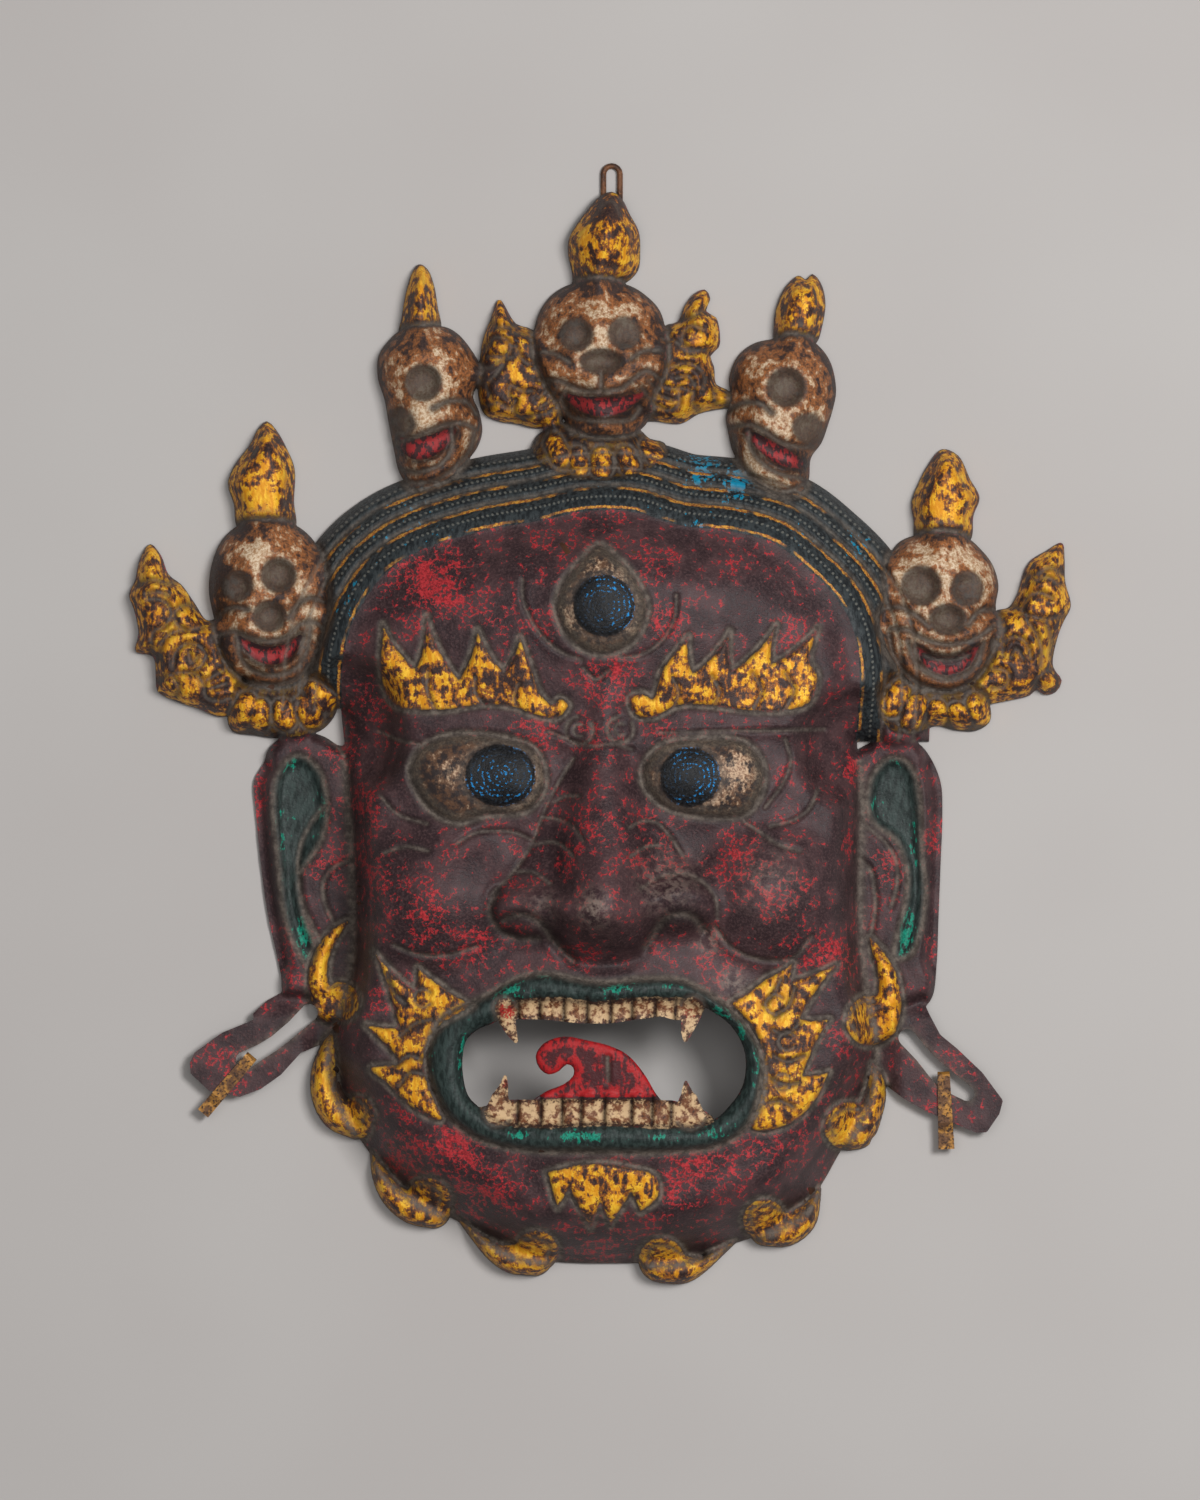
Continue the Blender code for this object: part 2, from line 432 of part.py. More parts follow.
LEFT_EYE = smooth(
    (-63.2, -15.5), (-60.5, -9.0), (-55.0, -5.3), (-46.0, -3.3), (-30.0, -5.0), (-22.0, -8.0), (-18.3, -14.5),
    (-18.8, -23.5), (-24.0, -29.0), (-38.0, -30.6), (-47.0, -33.0), (-54.5, -30.0), (-60.0, -23.8),
)
RIGHT_EYE = smooth(
    (13.6, -18.0), (15.8, -11.0), (22.0, -6.3), (35.0, -4.6), (46.5, -5.5), (52.8, -10.5), (54.8, -18.0),
    (52.5, -25.5), (47.8, -30.5), (40.0, -31.2), (27.0, -29.8), (18.8, -26.0),
)
THIRD_EYE = smooth(
    (-0.3, 59.3), (-7.0, 53.5), (-12.8, 46.0), (-14.8, 38.5), (-11.5, 29.5), (-5.0, 24.0), (1.5, 22.8),
    (8.0, 24.5), (13.5, 30.0), (16.0, 38.5), (13.0, 46.5), (6.5, 54.5),
)
BROW_ROLLS = (
    Bar(spline(((-76.0, -1.0, 1.0), (-60.0, 1.0, 2.4), (-40.0, 2.2, 2.6), (-24.0, -0.3, 2.6),
                (-13.5, -4.5, 2.4)), False)),
    Bar(spline(((75.0, -1.5, 1.0), (60.0, 0.6, 2.4), (40.0, 0.6, 2.8), (24.0, -1.5, 2.8),
                (13.0, -6.5, 2.6)), False)),
)
NOSE_LEVELS = (10.0, -5.0, -20.0, -40.0, -56.0, -64.0, -71.0, -77.5)
NOSE_FLANK_WIDE = (4.0, 8.0, 14.5, 24.0, 36.0, 38.0, 30.0, 20.0)
NOSE_FLANK_HIGH = (0.0, 3.0, 5.0, 8.0, 10.0, 9.0, 4.0, 0.0)
NOSE_RIDGE_WIDE = (4.0, 7.0, 11.0, 15.0, 17.0, 18.0, 17.0, 14.0)
NOSE_RIDGE_HIGH = (0.0, 3.5, 7.0, 12.0, 19.0, 20.5, 13.0, 0.0)

OUTLINE = (FACE, LEFT_EAR, RIGHT_EAR, LEFT_LOBE, RIGHT_LOBE, *CURLS, *WINGS,
           *(shape for skull in SKULLS for shape in (skull.head, skull.finial, skull.collar) if shape))


def ease(u):
    u = np.clip(u, 0, 1)
    return u * u * (3 - 2 * u)


def rounded(u):
    """Quarter-round edge: 0 at the edge, 1 from u = 1 on."""
    u = np.clip(u, 0, 1)
    return np.sqrt(1 - (1 - u) ** 2)


def lay(z, gap, top, edge=2.0):
    """Height z with the shape of this gap laid over it at height top."""
    return z + (top - z) * ease(0.5 - gap / edge)


def swell(x, y, cx, cy, wide, high, lift, power=1.6):
    """A soft oval rise on the sheet."""
    q = ((x - cx) / wide) ** 2 + ((y - cy) / high) ** 2
    return lift * np.clip(1 - q, 0, 1) ** power


def hair_gap(x, y):
    """Distance outside the hair bands, negative on them."""
    out = ARCH_SPAN.gap(x, y, 40.0)
    foot = np.where(x < 0, HAIR_LEFT_FOOT, HAIR_RIGHT_FOOT)
    return np.maximum(out - HAIR_SPREAD, foot - y)


def mouth_gap(x, y):
    """Distance outside the open mouth, negative in it."""
    inside = GUMS.gap(x, y)
    for shape in (UPPER_TEETH, LOWER_TEETH, TONGUE, *FANGS):
        inside = np.maximum(inside, -shape.gap(x, y))
    return inside


def sheet_gap(x, y):
    """Distance outside the sheet metal, negative on it."""
    out = hair_gap(x, y)
    for shape in OUTLINE:
        out = np.minimum(out, shape.gap(x, y))
    for hole in (mouth_gap(x, y), LEFT_SLOT.gap(x, y), RIGHT_SLOT.gap(x, y)):
        out = np.maximum(out, -hole)
    return out


def flat_mesh(step):
    """Points and triangles of the sheet seen from the front, with the points by the outline drawn onto it."""
    xs = np.arange(-160.0, 160.0, step)
    ys = np.arange(-190.0, 180.0, step * math.sqrt(3) / 2)
    gx, gy = np.meshgrid(xs, ys)
    gx = gx + (np.arange(len(ys)) % 2)[:, None] * step / 2
    x, y = gx.ravel(), gy.ravel()
    gap = sheet_gap(x, y)
    for turn in range(2):
        near = np.abs(gap) < 0.36 * step
        nx, ny = x[near], y[near]
        tiny = 0.05
        slope_x = (sheet_gap(nx + tiny, ny) - sheet_gap(nx - tiny, ny)) / (2 * tiny)
        slope_y = (sheet_gap(nx, ny + tiny) - sheet_gap(nx, ny - tiny)) / (2 * tiny)
        size = np.maximum(slope_x**2 + slope_y**2, 0.25)
        x[near] = nx - gap[near] * slope_x / size
        y[near] = ny - gap[near] * slope_y / size
        if turn == 0:
            snapped = near.copy()
            gap[near] = sheet_gap(x[near], y[near])
            gap[~near] = np.where(np.abs(gap[~near]) < 0.36 * step, 0.36 * step, gap[~near])
    gap[snapped] = 0.0
    rows, columns = gx.shape
    index = np.arange(rows * columns).reshape(rows, columns)
    a, b, c, d = index[:-1, :-1], index[:-1, 1:], index[1:, :-1], index[1:, 1:]
    odd = (np.arange(rows - 1) % 2 == 1)[:, None] & np.ones(a.shape, bool)
    first = np.where(odd[..., None], np.stack([a, b, d], -1), np.stack([a, b, c], -1))
    second = np.where(odd[..., None], np.stack([a, d, c], -1), np.stack([b, d, c], -1))
    triangles = np.concatenate([first.reshape(-1, 3), second.reshape(-1, 3)])
    side = np.sign(gap)
    triangles = triangles[(side[triangles] < 0).any(axis=1)]
    points = list(zip(x, y))
    cuts = {}

    def cut(i, j):
        key = (min(i, j), max(i, j))
        if key not in cuts:
            t = gap[i] / (gap[i] - gap[j])
            cuts[key] = len(points)
            points.append((x[i] + (x[j] - x[i]) * t, y[i] + (y[j] - y[i]) * t))
        return cuts[key]

    kept = []
    for triangle in triangles:
        corners = []
        for i, j in zip(triangle, np.roll(triangle, -1)):
            if side[i] <= 0:
                corners.append(int(i))
            if side[i] * side[j] < 0:
                corners.append(cut(i, j))
        for k in range(1, len(corners) - 1):
            kept.append((corners[0], corners[k], corners[k + 1]))
    points = np.array(points)
    kept = np.array(kept)
    used = np.unique(kept)
    lookup = np.full(len(points), -1)
    lookup[used] = np.arange(len(used))
    return points[used], lookup[kept]


def rim_edges(triangles):
    """Edges of only one triangle, in the direction that they have in it."""
    edges = np.concatenate([triangles[:, (0, 1)], triangles[:, (1, 2)], triangles[:, (2, 0)]])
    key = np.sort(edges, axis=1)
    _, where, count = np.unique(key, axis=0, return_index=True, return_counts=True)
    return edges[where[count == 1]]


def outer_rim(points, triangles):
    """A search tree over the rim of the sheet, without the mouth and the lobe slots."""
    edges = rim_edges(triangles)
    middle = (points[edges[:, 0]] + points[edges[:, 1]]) / 2
    x, y = middle[:, 0], middle[:, 1]
    inner = (GUMS.gap(x, y) < 1.0) | (LEFT_SLOT.gap(x, y) < 0.8) | (RIGHT_SLOT.gap(x, y) < 0.8)
    spots = np.concatenate([middle[~inner], points[edges[~inner, 0]]])
    tree = KDTree(len(spots))
    for i, (px, py) in enumerate(spots):
        tree.insert((px, py, 0.0), i)
    tree.balance()
    return tree


def face_height(x, y, gap):
    """The face: a plateau with steep sides, brow, cheeks, muzzle, nose and eyes."""
    foot = EAR_PLATE + (HAIR_INNER - 1.5 - EAR_PLATE) * ease((y + 2) / 34)
    foot = foot + (SHEET - foot) * ease((-100 - y) / 25)
    side = 7.5 + 14 * ease((y - 8) / 40) + 12 * ease((-98 - y) / 30)
    top = FACE_TOP - 6 * (x / 80) ** 2 - 3 * ((y + 40) / 110) ** 2
    top += swell(x, y, 0, 40, 75, 45, 8)
    top += swell(x, y, 0, -110, 72, 50, 8)
    top += swell(x, y, -54, -57, 25, 24, 12, 0.8)
    top += swell(x, y, 56.5, -57, 24, 23, 13, 0.8)
    across = np.abs(x - 1.0)
    flank = np.interp(-y, [-level for level in NOSE_LEVELS], NOSE_FLANK_WIDE)
    ridge = np.interp(-y, [-level for level in NOSE_LEVELS], NOSE_RIDGE_WIDE)
    flank_high = np.interp(-y, [-level for level in NOSE_LEVELS], NOSE_FLANK_HIGH)
    ridge_high = np.interp(-y, [-level for level in NOSE_LEVELS], NOSE_RIDGE_HIGH)
    top += flank_high * np.clip(1 - (across / flank) ** 2, 0, 1)
    top += ridge_high * np.clip(1 - (across / ridge) ** 2, 0, 1)
    top += swell(x, y, -24, -60.5, 13.5, 11, 10, 0.8) + swell(x, y, 27, -58.5, 12.5, 11, 11, 0.8)
    for eye, depth, lift in ((LEFT_EYE, 13.0, 7.0), (RIGHT_EYE, 13.0, 7.0), (THIRD_EYE, 13.0, 5.5)):
        near = eye.gap(x, y)
        top += lift * rounded(-near / depth) + 1.4 * np.exp(-(((near - 1.8) / 1.8) ** 2))
    for roll in BROW_ROLLS:
        top += 2.4 * np.exp(-((np.maximum(roll.gap(x, y), 0) / 2.2) ** 2))
    top += swell(x, y, -6.8, -2.3, 7, 7, 3) + swell(x, y, 6.8, -2.0, 7, 7, 3)
    top += swell(x, y, 2.3, 8.0, 6, 6, 2.5)
    for flame in (LEFT_BROW, RIGHT_BROW, LEFT_CHEEK_FLAME, RIGHT_CHEEK_FLAME, GOATEE):
        top += FLAME_RISE * ease(0.5 - flame.gap(x, y) / 2.0)
    rim = np.maximum(-MOUTH_RIM.gap(x, y), 0)
    gums = np.maximum(GUMS.gap(x, y), 0)
    across_lip = rim / np.maximum(rim + gums, 1e-6)
    top += LIP_RISE * np.sqrt(np.clip(4 * across_lip * (1 - across_lip), 0, 1))
    top -= 2.5 * ease(-GUMS.gap(x, y) / 1.5)
    return foot + (top - foot) * np.sin(np.clip(-gap / side, 0, 1) * math.pi / 2)


def hair_height(x, y):
    """Four rolled bands that step down from the face to the outer edge."""
    out = ARCH_SPAN.gap(x, y, 40.0)
    z = HAIR_INNER + (HAIR_OUTER - HAIR_INNER) * np.clip(out / HAIR_SPREAD, 0, 1)
    for near, far in zip(HAIR_LINES[:-1], HAIR_LINES[1:]):
        u = np.clip((out - near) / (far - near), 0, 1)
        z += BAND_RISE * np.sin(u * math.pi)
    return z


def skull_height(skull, x, y, z):
    """Height z with a skull, its finial and its neck collar raised on it and its sockets sunk."""
    gap = skull.finial.gap(x, y)
    z = lay(z, gap, skull.base - 2.0 + FINIAL_SWELL * rounded(-gap / 9))
    gap = skull.head.gap(x, y)
    z = lay(z, gap, skull.base + HEAD_SWELL * rounded(-gap / 12))
    if skull.collar:
        z = lay(z, np.maximum(skull.collar.gap(x, y), -gap), skull.base + COLLAR_RISE)
        for petal in skull.petals:
            z += PETAL_RISE * rounded(-petal.gap(x, y) / 2.5)
    for hollow in (*skull.eyes, skull.nose, skull.grin):
        z -= SOCKET_DEPTH * ease(0.25 - hollow.gap(x, y) / 2.4)
    return z


def front_height(x, y, rim):
    """Height of the front of the sheet, from the place on it and the distance to its outer rim."""
    z = np.full(x.shape, EAR_PLATE)
    for ear, concha in ((LEFT_EAR, LEFT_CONCHA), (RIGHT_EAR, RIGHT_CONCHA)):
        z = lay(z, ear.gap(x, y), EAR_PLATE + 1.5)
        z -= 3.2 * ease(-concha.gap(x, y) / 2.5)
    for lobe in (LEFT_LOBE, RIGHT_LOBE):
        z = lay(z, np.maximum(lobe.gap(x, y) - 1.5, y + 90), SHEET)
    z = lay(z, hair_gap(x, y), hair_height(x, y))
    face = FACE.gap(x, y)
    z = lay(z, face + 0.6, np.maximum(face_height(x, y, face + 0.6), z * (y > 0)), 1.2)
    for shape in CURLS:
        gap = shape.gap(x, y)
        base = np.maximum(z, EAR_PLATE - 1)
        z = lay(z, gap, base + CURL_RISE * rounded(-gap / 6), 1.4)
    for shape in WINGS:
        gap = shape.gap(x, y)
        z = lay(z, gap, CROWN_PLATE + WING_RISE * rounded(-gap / 9))
    for skull in SKULLS:
        z = skull_height(skull, x, y, z)
    ear_rim = ease((np.abs(x) - 92) / 6) * ease((-10 - y) / 6) * ease((y + 86) / 8)
    flat = 0.3 + (EAR_RIM_FLAT - 0.3) * ear_rim
    low = 5.2 + 2.8 * ease((110 - np.abs(x)) / 40) * ease((-40 - y) / 60)
    edge = low * np.sqrt(np.maximum(rim - flat, 0)) * (1 + 1.6 * ease((rim - 12) / 22))
    z = np.minimum(z, SHEET + edge)
    z = np.maximum(z, SHEET)
    z += LOBE_LIFT * ease((np.abs(x) - 93) / 8) * ease((-90 - y) / 9)
    z += FINIAL_LIFT * ease((y - 152) / 12)
    return z


def rim_distance(tree, x, y):
    return np.array([tree.find((px, py, 0.0))[2] for px, py in zip(x, y)])


def mesh_object(name, points, triangles):
    mesh = bpy.data.meshes.new(name)
    corners = [tuple(point * MILLIMETRE) for point in points]
    mesh.from_pydata(corners, [], [tuple(map(int, triangle)) for triangle in triangles])
    mesh.update()
    thing = bpy.data.objects.new(name, mesh)
    bpy.context.scene.collection.objects.link(thing)
    return thing


def rim_loops(points, triangles, slack):
    """The rims of the flat sheet as closed loops of points, thinned where they are nearly straight."""
    after = {int(a): int(b) for a, b in rim_edges(triangles)}
    loops = []
    while after:
        start, spot = after.popitem()
        loop = [start]
        while spot != start:
            loop.append(spot)
            spot = after.pop(spot)
        loop = points[loop]
        far = int(np.argmax(np.linalg.norm(loop - loop[0], axis=1)))
        loop = np.concatenate([loop, loop[:1]])
        loops.append(np.concatenate([thinned(loop[: far + 1], slack)[:-1], thinned(loop[far:], slack)[:-1]]))
    return loops


def thinned(line, slack):
    """The polyline with the points left out that lie within slack of its straight parts."""
    if len(line) < 3:
        return line
    chord = line[-1] - line[0]
    off = line - line[0]
    away = np.abs(off[:, 0] * chord[1] - off[:, 1] * chord[0]) / max(float(np.hypot(*chord)), 1e-9)
    worst = int(np.argmax(away))
    if away[worst] < slack:
        return line[[0, -1]]
    return np.concatenate([thinned(line[: worst + 1], slack)[:-1], thinned(line[worst:], slack)])


def inside_loops(loops, x, y):
    inside = np.zeros(x.shape, bool)
    for loop in loops:
        for (ax, ay), (bx, by) in zip(loop, np.roll(loop, -1, axis=0)):
            if ay != by:
                inside ^= ((ay > y) != (by > y)) & (x - ax < (y - ay) * (bx - ax) / (by - ay))
    return inside


def joined_up(flat, edges, loops):
    """Triangles between the points, with these edges among theirs, where the sheet is."""
    spots, _, faces, _, _, _ = delaunay_2d_cdt([Vector(point) for point in flat], edges, [], 0, 1e-5)
    spots, faces = np.array(spots), np.array(faces)
    middle = spots[faces].mean(axis=1)
    faces = faces[inside_loops(loops, middle[:, 0], middle[:, 1])]
    area = turned_over(spots, faces)
    faces[area < 0] = faces[area < 0][:, ::-1]
    return spots, faces[np.abs(area) > 1e-4]


def turned_over(flat, triangles):
    a, b, c = (flat[triangles[:, k]] for k in range(3))
    return (b[:, 0] - a[:, 0]) * (c[:, 1] - a[:, 1]) - (b[:, 1] - a[:, 1]) * (c[:, 0] - a[:, 0])


def worst_spots(spots, faces, heights, x, y, z, worth):
    """For each triangle the sample farthest from it in height, with how far it is."""
    order = np.argsort(y)
    x, y, z, worth = x[order], y[order], z[order], worth[order]
    found = []
    for face in faces:
        (ax, ay), (bx, by), (cx, cy) = spots[face]
        low, high = np.searchsorted(y, (min(ay, by, cy), max(ay, by, cy)))
        px, py = x[low:high], y[low:high]
        area = (bx - ax) * (cy - ay) - (by - ay) * (cx - ax)
        u = ((px - ax) * (cy - ay) - (py - ay) * (cx - ax)) / area
        v = ((bx - ax) * (py - ay) - (by - ay) * (px - ax)) / area
        within = (u >= 0) & (v >= 0) & (u + v <= 1)
        if not within.any():
            continue
        u, v, where = u[within], v[within], np.flatnonzero(within)
        level = heights[face[0]] * (1 - u - v) + heights[face[1]] * u + heights[face[2]] * v
        error = np.abs(z[low:high][where] - level) * worth[low:high][where]
        worst = int(np.argmax(error))
        found.append((error[worst], px[where[worst]], py[where[worst]]))
    return np.array(sorted(found, reverse=True))


def contour(points, triangles, values, slack):
    """Lines on the flat mesh where the values pass zero."""
    near, spots = {}, {}
    mixed = triangles[(values[triangles] < 0).any(axis=1) & (values[triangles] >= 0).any(axis=1)]
    for triangle in mixed:
        ends = []
        for i, j in zip(triangle, np.roll(triangle, -1)):
            if (values[i] < 0) != (values[j] < 0):
                key = (min(i, j), max(i, j))
                t = values[i] / (values[i] - values[j])
                spots[key] = points[i] + (points[j] - points[i]) * t
                ends.append(key)
        for here, there in (ends, ends[::-1]):
            near.setdefault(here, []).append(there)
    lines = []
    while near:
        start = next((key for key, ends in near.items() if len(ends) == 1), next(iter(near)))
        line = [start]
        while near.get(line[-1]):
            here = line[-1]
            ahead = near[here].pop()
            near[ahead].remove(here)
            if not near[here]:
                del near[here]
            line.append(ahead)
        near.pop(line[-1], None)
        if len(line) > 3:
            line = np.array([spots[key] for key in line])
            half = len(line) // 2
            lines.append(np.concatenate([thinned(line[: half + 1], slack)[:-1], thinned(line[half:], slack)]))
    return lines


def crease_lines(points, triangles, tree):
    """The lines that the facets keep to: edges of the raised and sunk shapes."""
    x, y = points[:, 0], points[:, 1]
    skull_shapes = [shape for skull in SKULLS for shape in (skull.head, skull.finial, skull.collar) if shape]
    under_crown = np.minimum.reduce([shape.gap(x, y) for shape in skull_shapes])
    under_curl = np.minimum.reduce([shape.gap(x, y) for shape in CURLS])
    face = FACE.gap(x, y)
    hair = ARCH_SPAN.gap(x, y, 40.0)
    on_hair = (hair_gap(x, y) < 0) & (under_crown > 0.6)
    middles = [(near + far) / 2 for near, far in zip(HAIR_LINES[:-1], HAIR_LINES[1:])]
    wanted = [(hair, HAIR_LINES[1:-1], on_hair, 0.9), (hair, middles, on_hair, 0.9)]
    wanted.append((face, (0.0, -6.5), (under_crown > 0.6) & (under_curl > 0.6), 0.6))
    wanted.append((MOUTH_RIM.gap(x, y), (0.0, -3.6), face < 0, 0.5))
    wanted.append((GUMS.gap(x, y), (0.2,), face < 0, 0.5))
    for eye in (LEFT_EYE, RIGHT_EYE, THIRD_EYE):
        wanted.append((eye.gap(x, y), (0.0, -4.5), face < 0, 0.5))
    for flame in (LEFT_BROW, RIGHT_BROW, LEFT_CHEEK_FLAME, RIGHT_CHEEK_FLAME, GOATEE):
        wanted.append((flame.gap(x, y), (0.9, -0.9), face < 0, 0.45))
    for shape in CURLS:
        wanted.append((shape.gap(x, y), (0.5, -2.4), face < 50, 0.5))
    for concha in (LEFT_CONCHA, RIGHT_CONCHA):
        wanted.append((concha.gap(x, y), (0.0, -2.4), face > 0, 0.5))
    ear_side = (np.abs(x) > 104) & (y < -18) & (y > -76)
    wanted.append((rim_distance(tree, x, y), (EAR_RIM_FLAT - 0.1,), ear_side, 0.3))
    for skull in SKULLS:
        for shape in (*skull.eyes, skull.nose, skull.grin):
            wanted.append((shape.gap(x, y), (0.6, -0.8), face < 80, 0.4))
        wanted.append((skull.head.gap(x, y), (0.6,), face < 80, 0.6))
    lines = []
    for values, levels, seen, slack in wanted:
        shown = triangles[seen[triangles].all(axis=1)]
        for level in levels:
            lines += contour(points, shown, values - level, slack)
    return lines


def fitted_facets(points, triangles, tree, count):
    """Facets that keep to the rims and creases and follow the height best with this count of them."""
    loops = rim_loops(points, triangles, RIM_SLACK)
    flat, edges = [], []
    for loop in loops:
        start = len(flat)
        flat += [tuple(point) for point in loop]
        edges += [(start + k, start + (k + 1) % len(loop)) for k in range(len(loop))]
    rim_count = len(flat)
    for line in crease_lines(points, triangles, tree):
        gap = sheet_gap(line[:, 0], line[:, 1])
        before = None
        for spot, off in zip(line, gap):
            known = np.array(flat)
            away = np.hypot(known[:, 0] - spot[0], known[:, 1] - spot[1])
            nearest = int(np.argmin(away))
            if off > -0.9 or (nearest < rim_count and away[nearest] < 1.0):
                before = None
                continue
            if away[nearest] < 0.9:
                here = nearest
            else:
                here = len(flat)
                flat.append(tuple(spot))
            if before is not None and before != here:
                edges.append((before, here))
            before = here
    x, y = points[:, 0], points[:, 1]
    known = KDTree(len(flat))
    for i, (px, py) in enumerate(flat):
        known.insert((px, py, 0.0), i)
    known.balance()
    clear = (sheet_gap(x, y) < -1.0) & (rim_distance(known, x, y) > 1.0)
    x, y = x[clear], y[clear]
    rim = rim_distance(tree, x, y)
    z = front_height(x, y, rim)
    worth = 0.3 + 0.7 * ease((rim - 1.5) / 3)
    spread = rim_distance(known, x, y) > 3.0
    flat = np.concatenate([np.array(flat), np.column_stack([x, y])[spread][::COARSE_SHARE]])
    while True:
        spots, faces = joined_up(flat, edges, loops)
        if len(faces) >= count:
            return spots, faces
        heights = front_height(spots[:, 0], spots[:, 1], rim_distance(tree, spots[:, 0], spots[:, 1]))
        worst = worst_spots(spots, faces, heights, x, y, z, worth)
        room = max(12, int((count - len(faces)) * 0.12))
        flat = np.concatenate([flat, worst[:room, 1:]])


def sheet_solid(name):
    """The hammered sheet as one closed body with its wall thickness."""
    points, triangles = flat_mesh(LATTICE_STEP)
    tree = outer_rim(points, triangles)
    flat, triangles = fitted_facets(points, triangles, tree, FRONT_FACETS)
    x, y = flat[:, 0], flat[:, 1]
    z = front_height(x, y, rim_distance(tree, x, y))
    step = 0.6
    east = front_height(x + step, y, rim_distance(tree, x + step, y))
    west = front_height(x - step, y, rim_distance(tree, x - step, y))
    north = front_height(x, y + step, rim_distance(tree, x, y + step))
    south = front_height(x, y - step, rim_distance(tree, x, y - step))
    slope = np.hypot(east - west, north - south) / (2 * step)
    wall = SHEET * np.minimum(np.sqrt(1 + slope**2), 2.6)
    edges = rim_edges(triangles)
    wall[np.unique(edges)] = SHEET
    under = np.maximum(z - wall, 0.0)
    count = len(x)
    both = np.concatenate([np.column_stack([x, y, z]), np.column_stack([x, y, under])])
    sides = np.concatenate([
        np.column_stack([edges[:, 1], edges[:, 0], edges[:, 0] + count]),
        np.column_stack([edges[:, 1], edges[:, 0] + count, edges[:, 1] + count]),
    ])
    return mesh_object(name, both, np.concatenate([triangles, triangles[:, ::-1] + count, sides]))


def swept(name, path, frames, profile):
    """A solid bar: the profile, in each frame's two directions, carried along the path."""
    rings = [
        [np.array(spot) + u * np.array(across) + v * np.array(up) for u, v in shape]
        for spot, (across, up), shape in zip(path, frames, profile)
    ]
    count = len(rings[0])
    points = [point for ring in rings for point in ring]
    faces = []
    for k in range(len(rings) - 1):
        for i in range(count):
            j = (i + 1) % count
            a, b = k * count + i, k * count + j
            faces.append((a, b, b + count))
            faces.append((a, b + count, a + count))
    last = (len(rings) - 1) * count
    for i in range(1, count - 1):
        faces.append((0, i + 1, i))
        faces.append((last, last + i, last + i + 1))
    thing = mesh_object(name, points, faces)
    body = bmesh.new()
    body.from_mesh(thing.data)
    bmesh.ops.recalc_face_normals(body, faces=body.faces)
    body.to_mesh(thing.data)
    body.free()
    return thing


def hanging_loop():
    """A wire bent to a narrow arch, with both feet behind the tip of the top finial."""
    arm = LOOP_WIDTH / 2 - WIRE_RADIUS
    level = WIRE_RADIUS + 0.1
    centre = LOOP_TOP - WIRE_RADIUS - arm
    foot = LOOP_TOP - LOOP_LENGTH
    path = [(LOOP_X - arm, foot, level), (LOOP_X - arm, (foot + centre) / 2, level)]
    turns = [math.pi, math.pi]
    for k in range(9):
        turn = math.pi * (1 - k / 8)
        path.append((LOOP_X + arm * math.cos(turn), centre + arm * math.sin(turn), level))
        turns.append(turn)
    path += [(LOOP_X + arm, (foot + centre) / 2, level), (LOOP_X + arm, foot, level)]
    turns += [0.0, 0.0]
    frames = [((math.cos(turn), math.sin(turn), 0.0), (0.0, 0.0, 1.0)) for turn in turns]
    around = [math.tau * k / WIRE_SIDES for k in range(WIRE_SIDES)]
    wire = [(WIRE_RADIUS * math.cos(turn), WIRE_RADIUS * math.sin(turn)) for turn in around]
    return swept("hanging_loop", path, frames, [wire] * len(path))


def lobe_band(name, top, tip, top_width, tip_width, limb_end):
    """A strip folded round the lower limb of a lobe: its bend in the slot, its two legs below it."""
    top, tip = np.array(top), np.array(tip)
    length = float(np.linalg.norm(tip - top))
    along = (tip - top) / length
    across = (-along[1], along[0], 0.0)
    middle = SHEET / 2 + LOBE_LIFT
    open_half = SHEET / 2 + FIT_GAP + BAND_SHEET / 2
    shut_half = BAND_SHEET / 2 + 0.25
    bend = open_half + BAND_SHEET / 2
    line = [(length, shut_half), (limb_end + 3.5, shut_half), (limb_end + 0.6, open_half), (bend, open_half)]
    for k in range(1, 6):
        turn = math.pi * k / 6
        line.append((bend - open_half * math.sin(turn), open_half * math.cos(turn)))
    line += [(s, -h) for s, h in reversed(line[:4])]
    line = np.array(line)
    path, frames, profile = [], [], []
    for k, (s, h) in enumerate(line):
        ahead = line[min(k + 1, len(line) - 1)] - line[max(k - 1, 0)]
        ahead = ahead / np.linalg.norm(ahead)
        path.append((*(top + along * s), middle + h))
        frames.append((across, (*(along * -ahead[1]), ahead[0])))
        half = (top_width + (tip_width - top_width) * s / length) / 2
        thick = BAND_SHEET / 2
        profile.append([(-half, -thick), (half, -thick), (half, thick), (-half, thick)])
    return swept(name, path, frames, profile)


def coloured(thing, name, colour, roughness, metallic):
    material = bpy.data.materials.new(name)
    material.use_nodes = True
    look = material.node_tree.nodes["Principled BSDF"]
    look.inputs["Base Color"].default_value = (*colour, 1.0)
    look.inputs["Roughness"].default_value = roughness
    look.inputs["Metallic"].default_value = metallic
    thing.data.materials.append(material)


for old in list(bpy.data.objects):
    bpy.data.objects.remove(old, do_unlink=True)

coloured(sheet_solid("mask"), "painted_copper", (0.13, 0.045, 0.04), 0.55, 0.0)
coloured(hanging_loop(), "rusty_wire", (0.12, 0.055, 0.03), 0.6, 0.6)
coloured(
    lobe_band("earring_band_left", (-115.8, -110.6), (-132.2, -129.8), 4.0, 4.4, 17.4),
    "gilded_band_left", (0.42, 0.22, 0.05), 0.45, 0.8,
)
coloured(
    lobe_band("earring_band_right", (114.4, -115.9), (115.4, -141.7), 4.0, 5.3, 16.4),
    "gilded_band_right", (0.42, 0.22, 0.05), 0.45, 0.8,
)
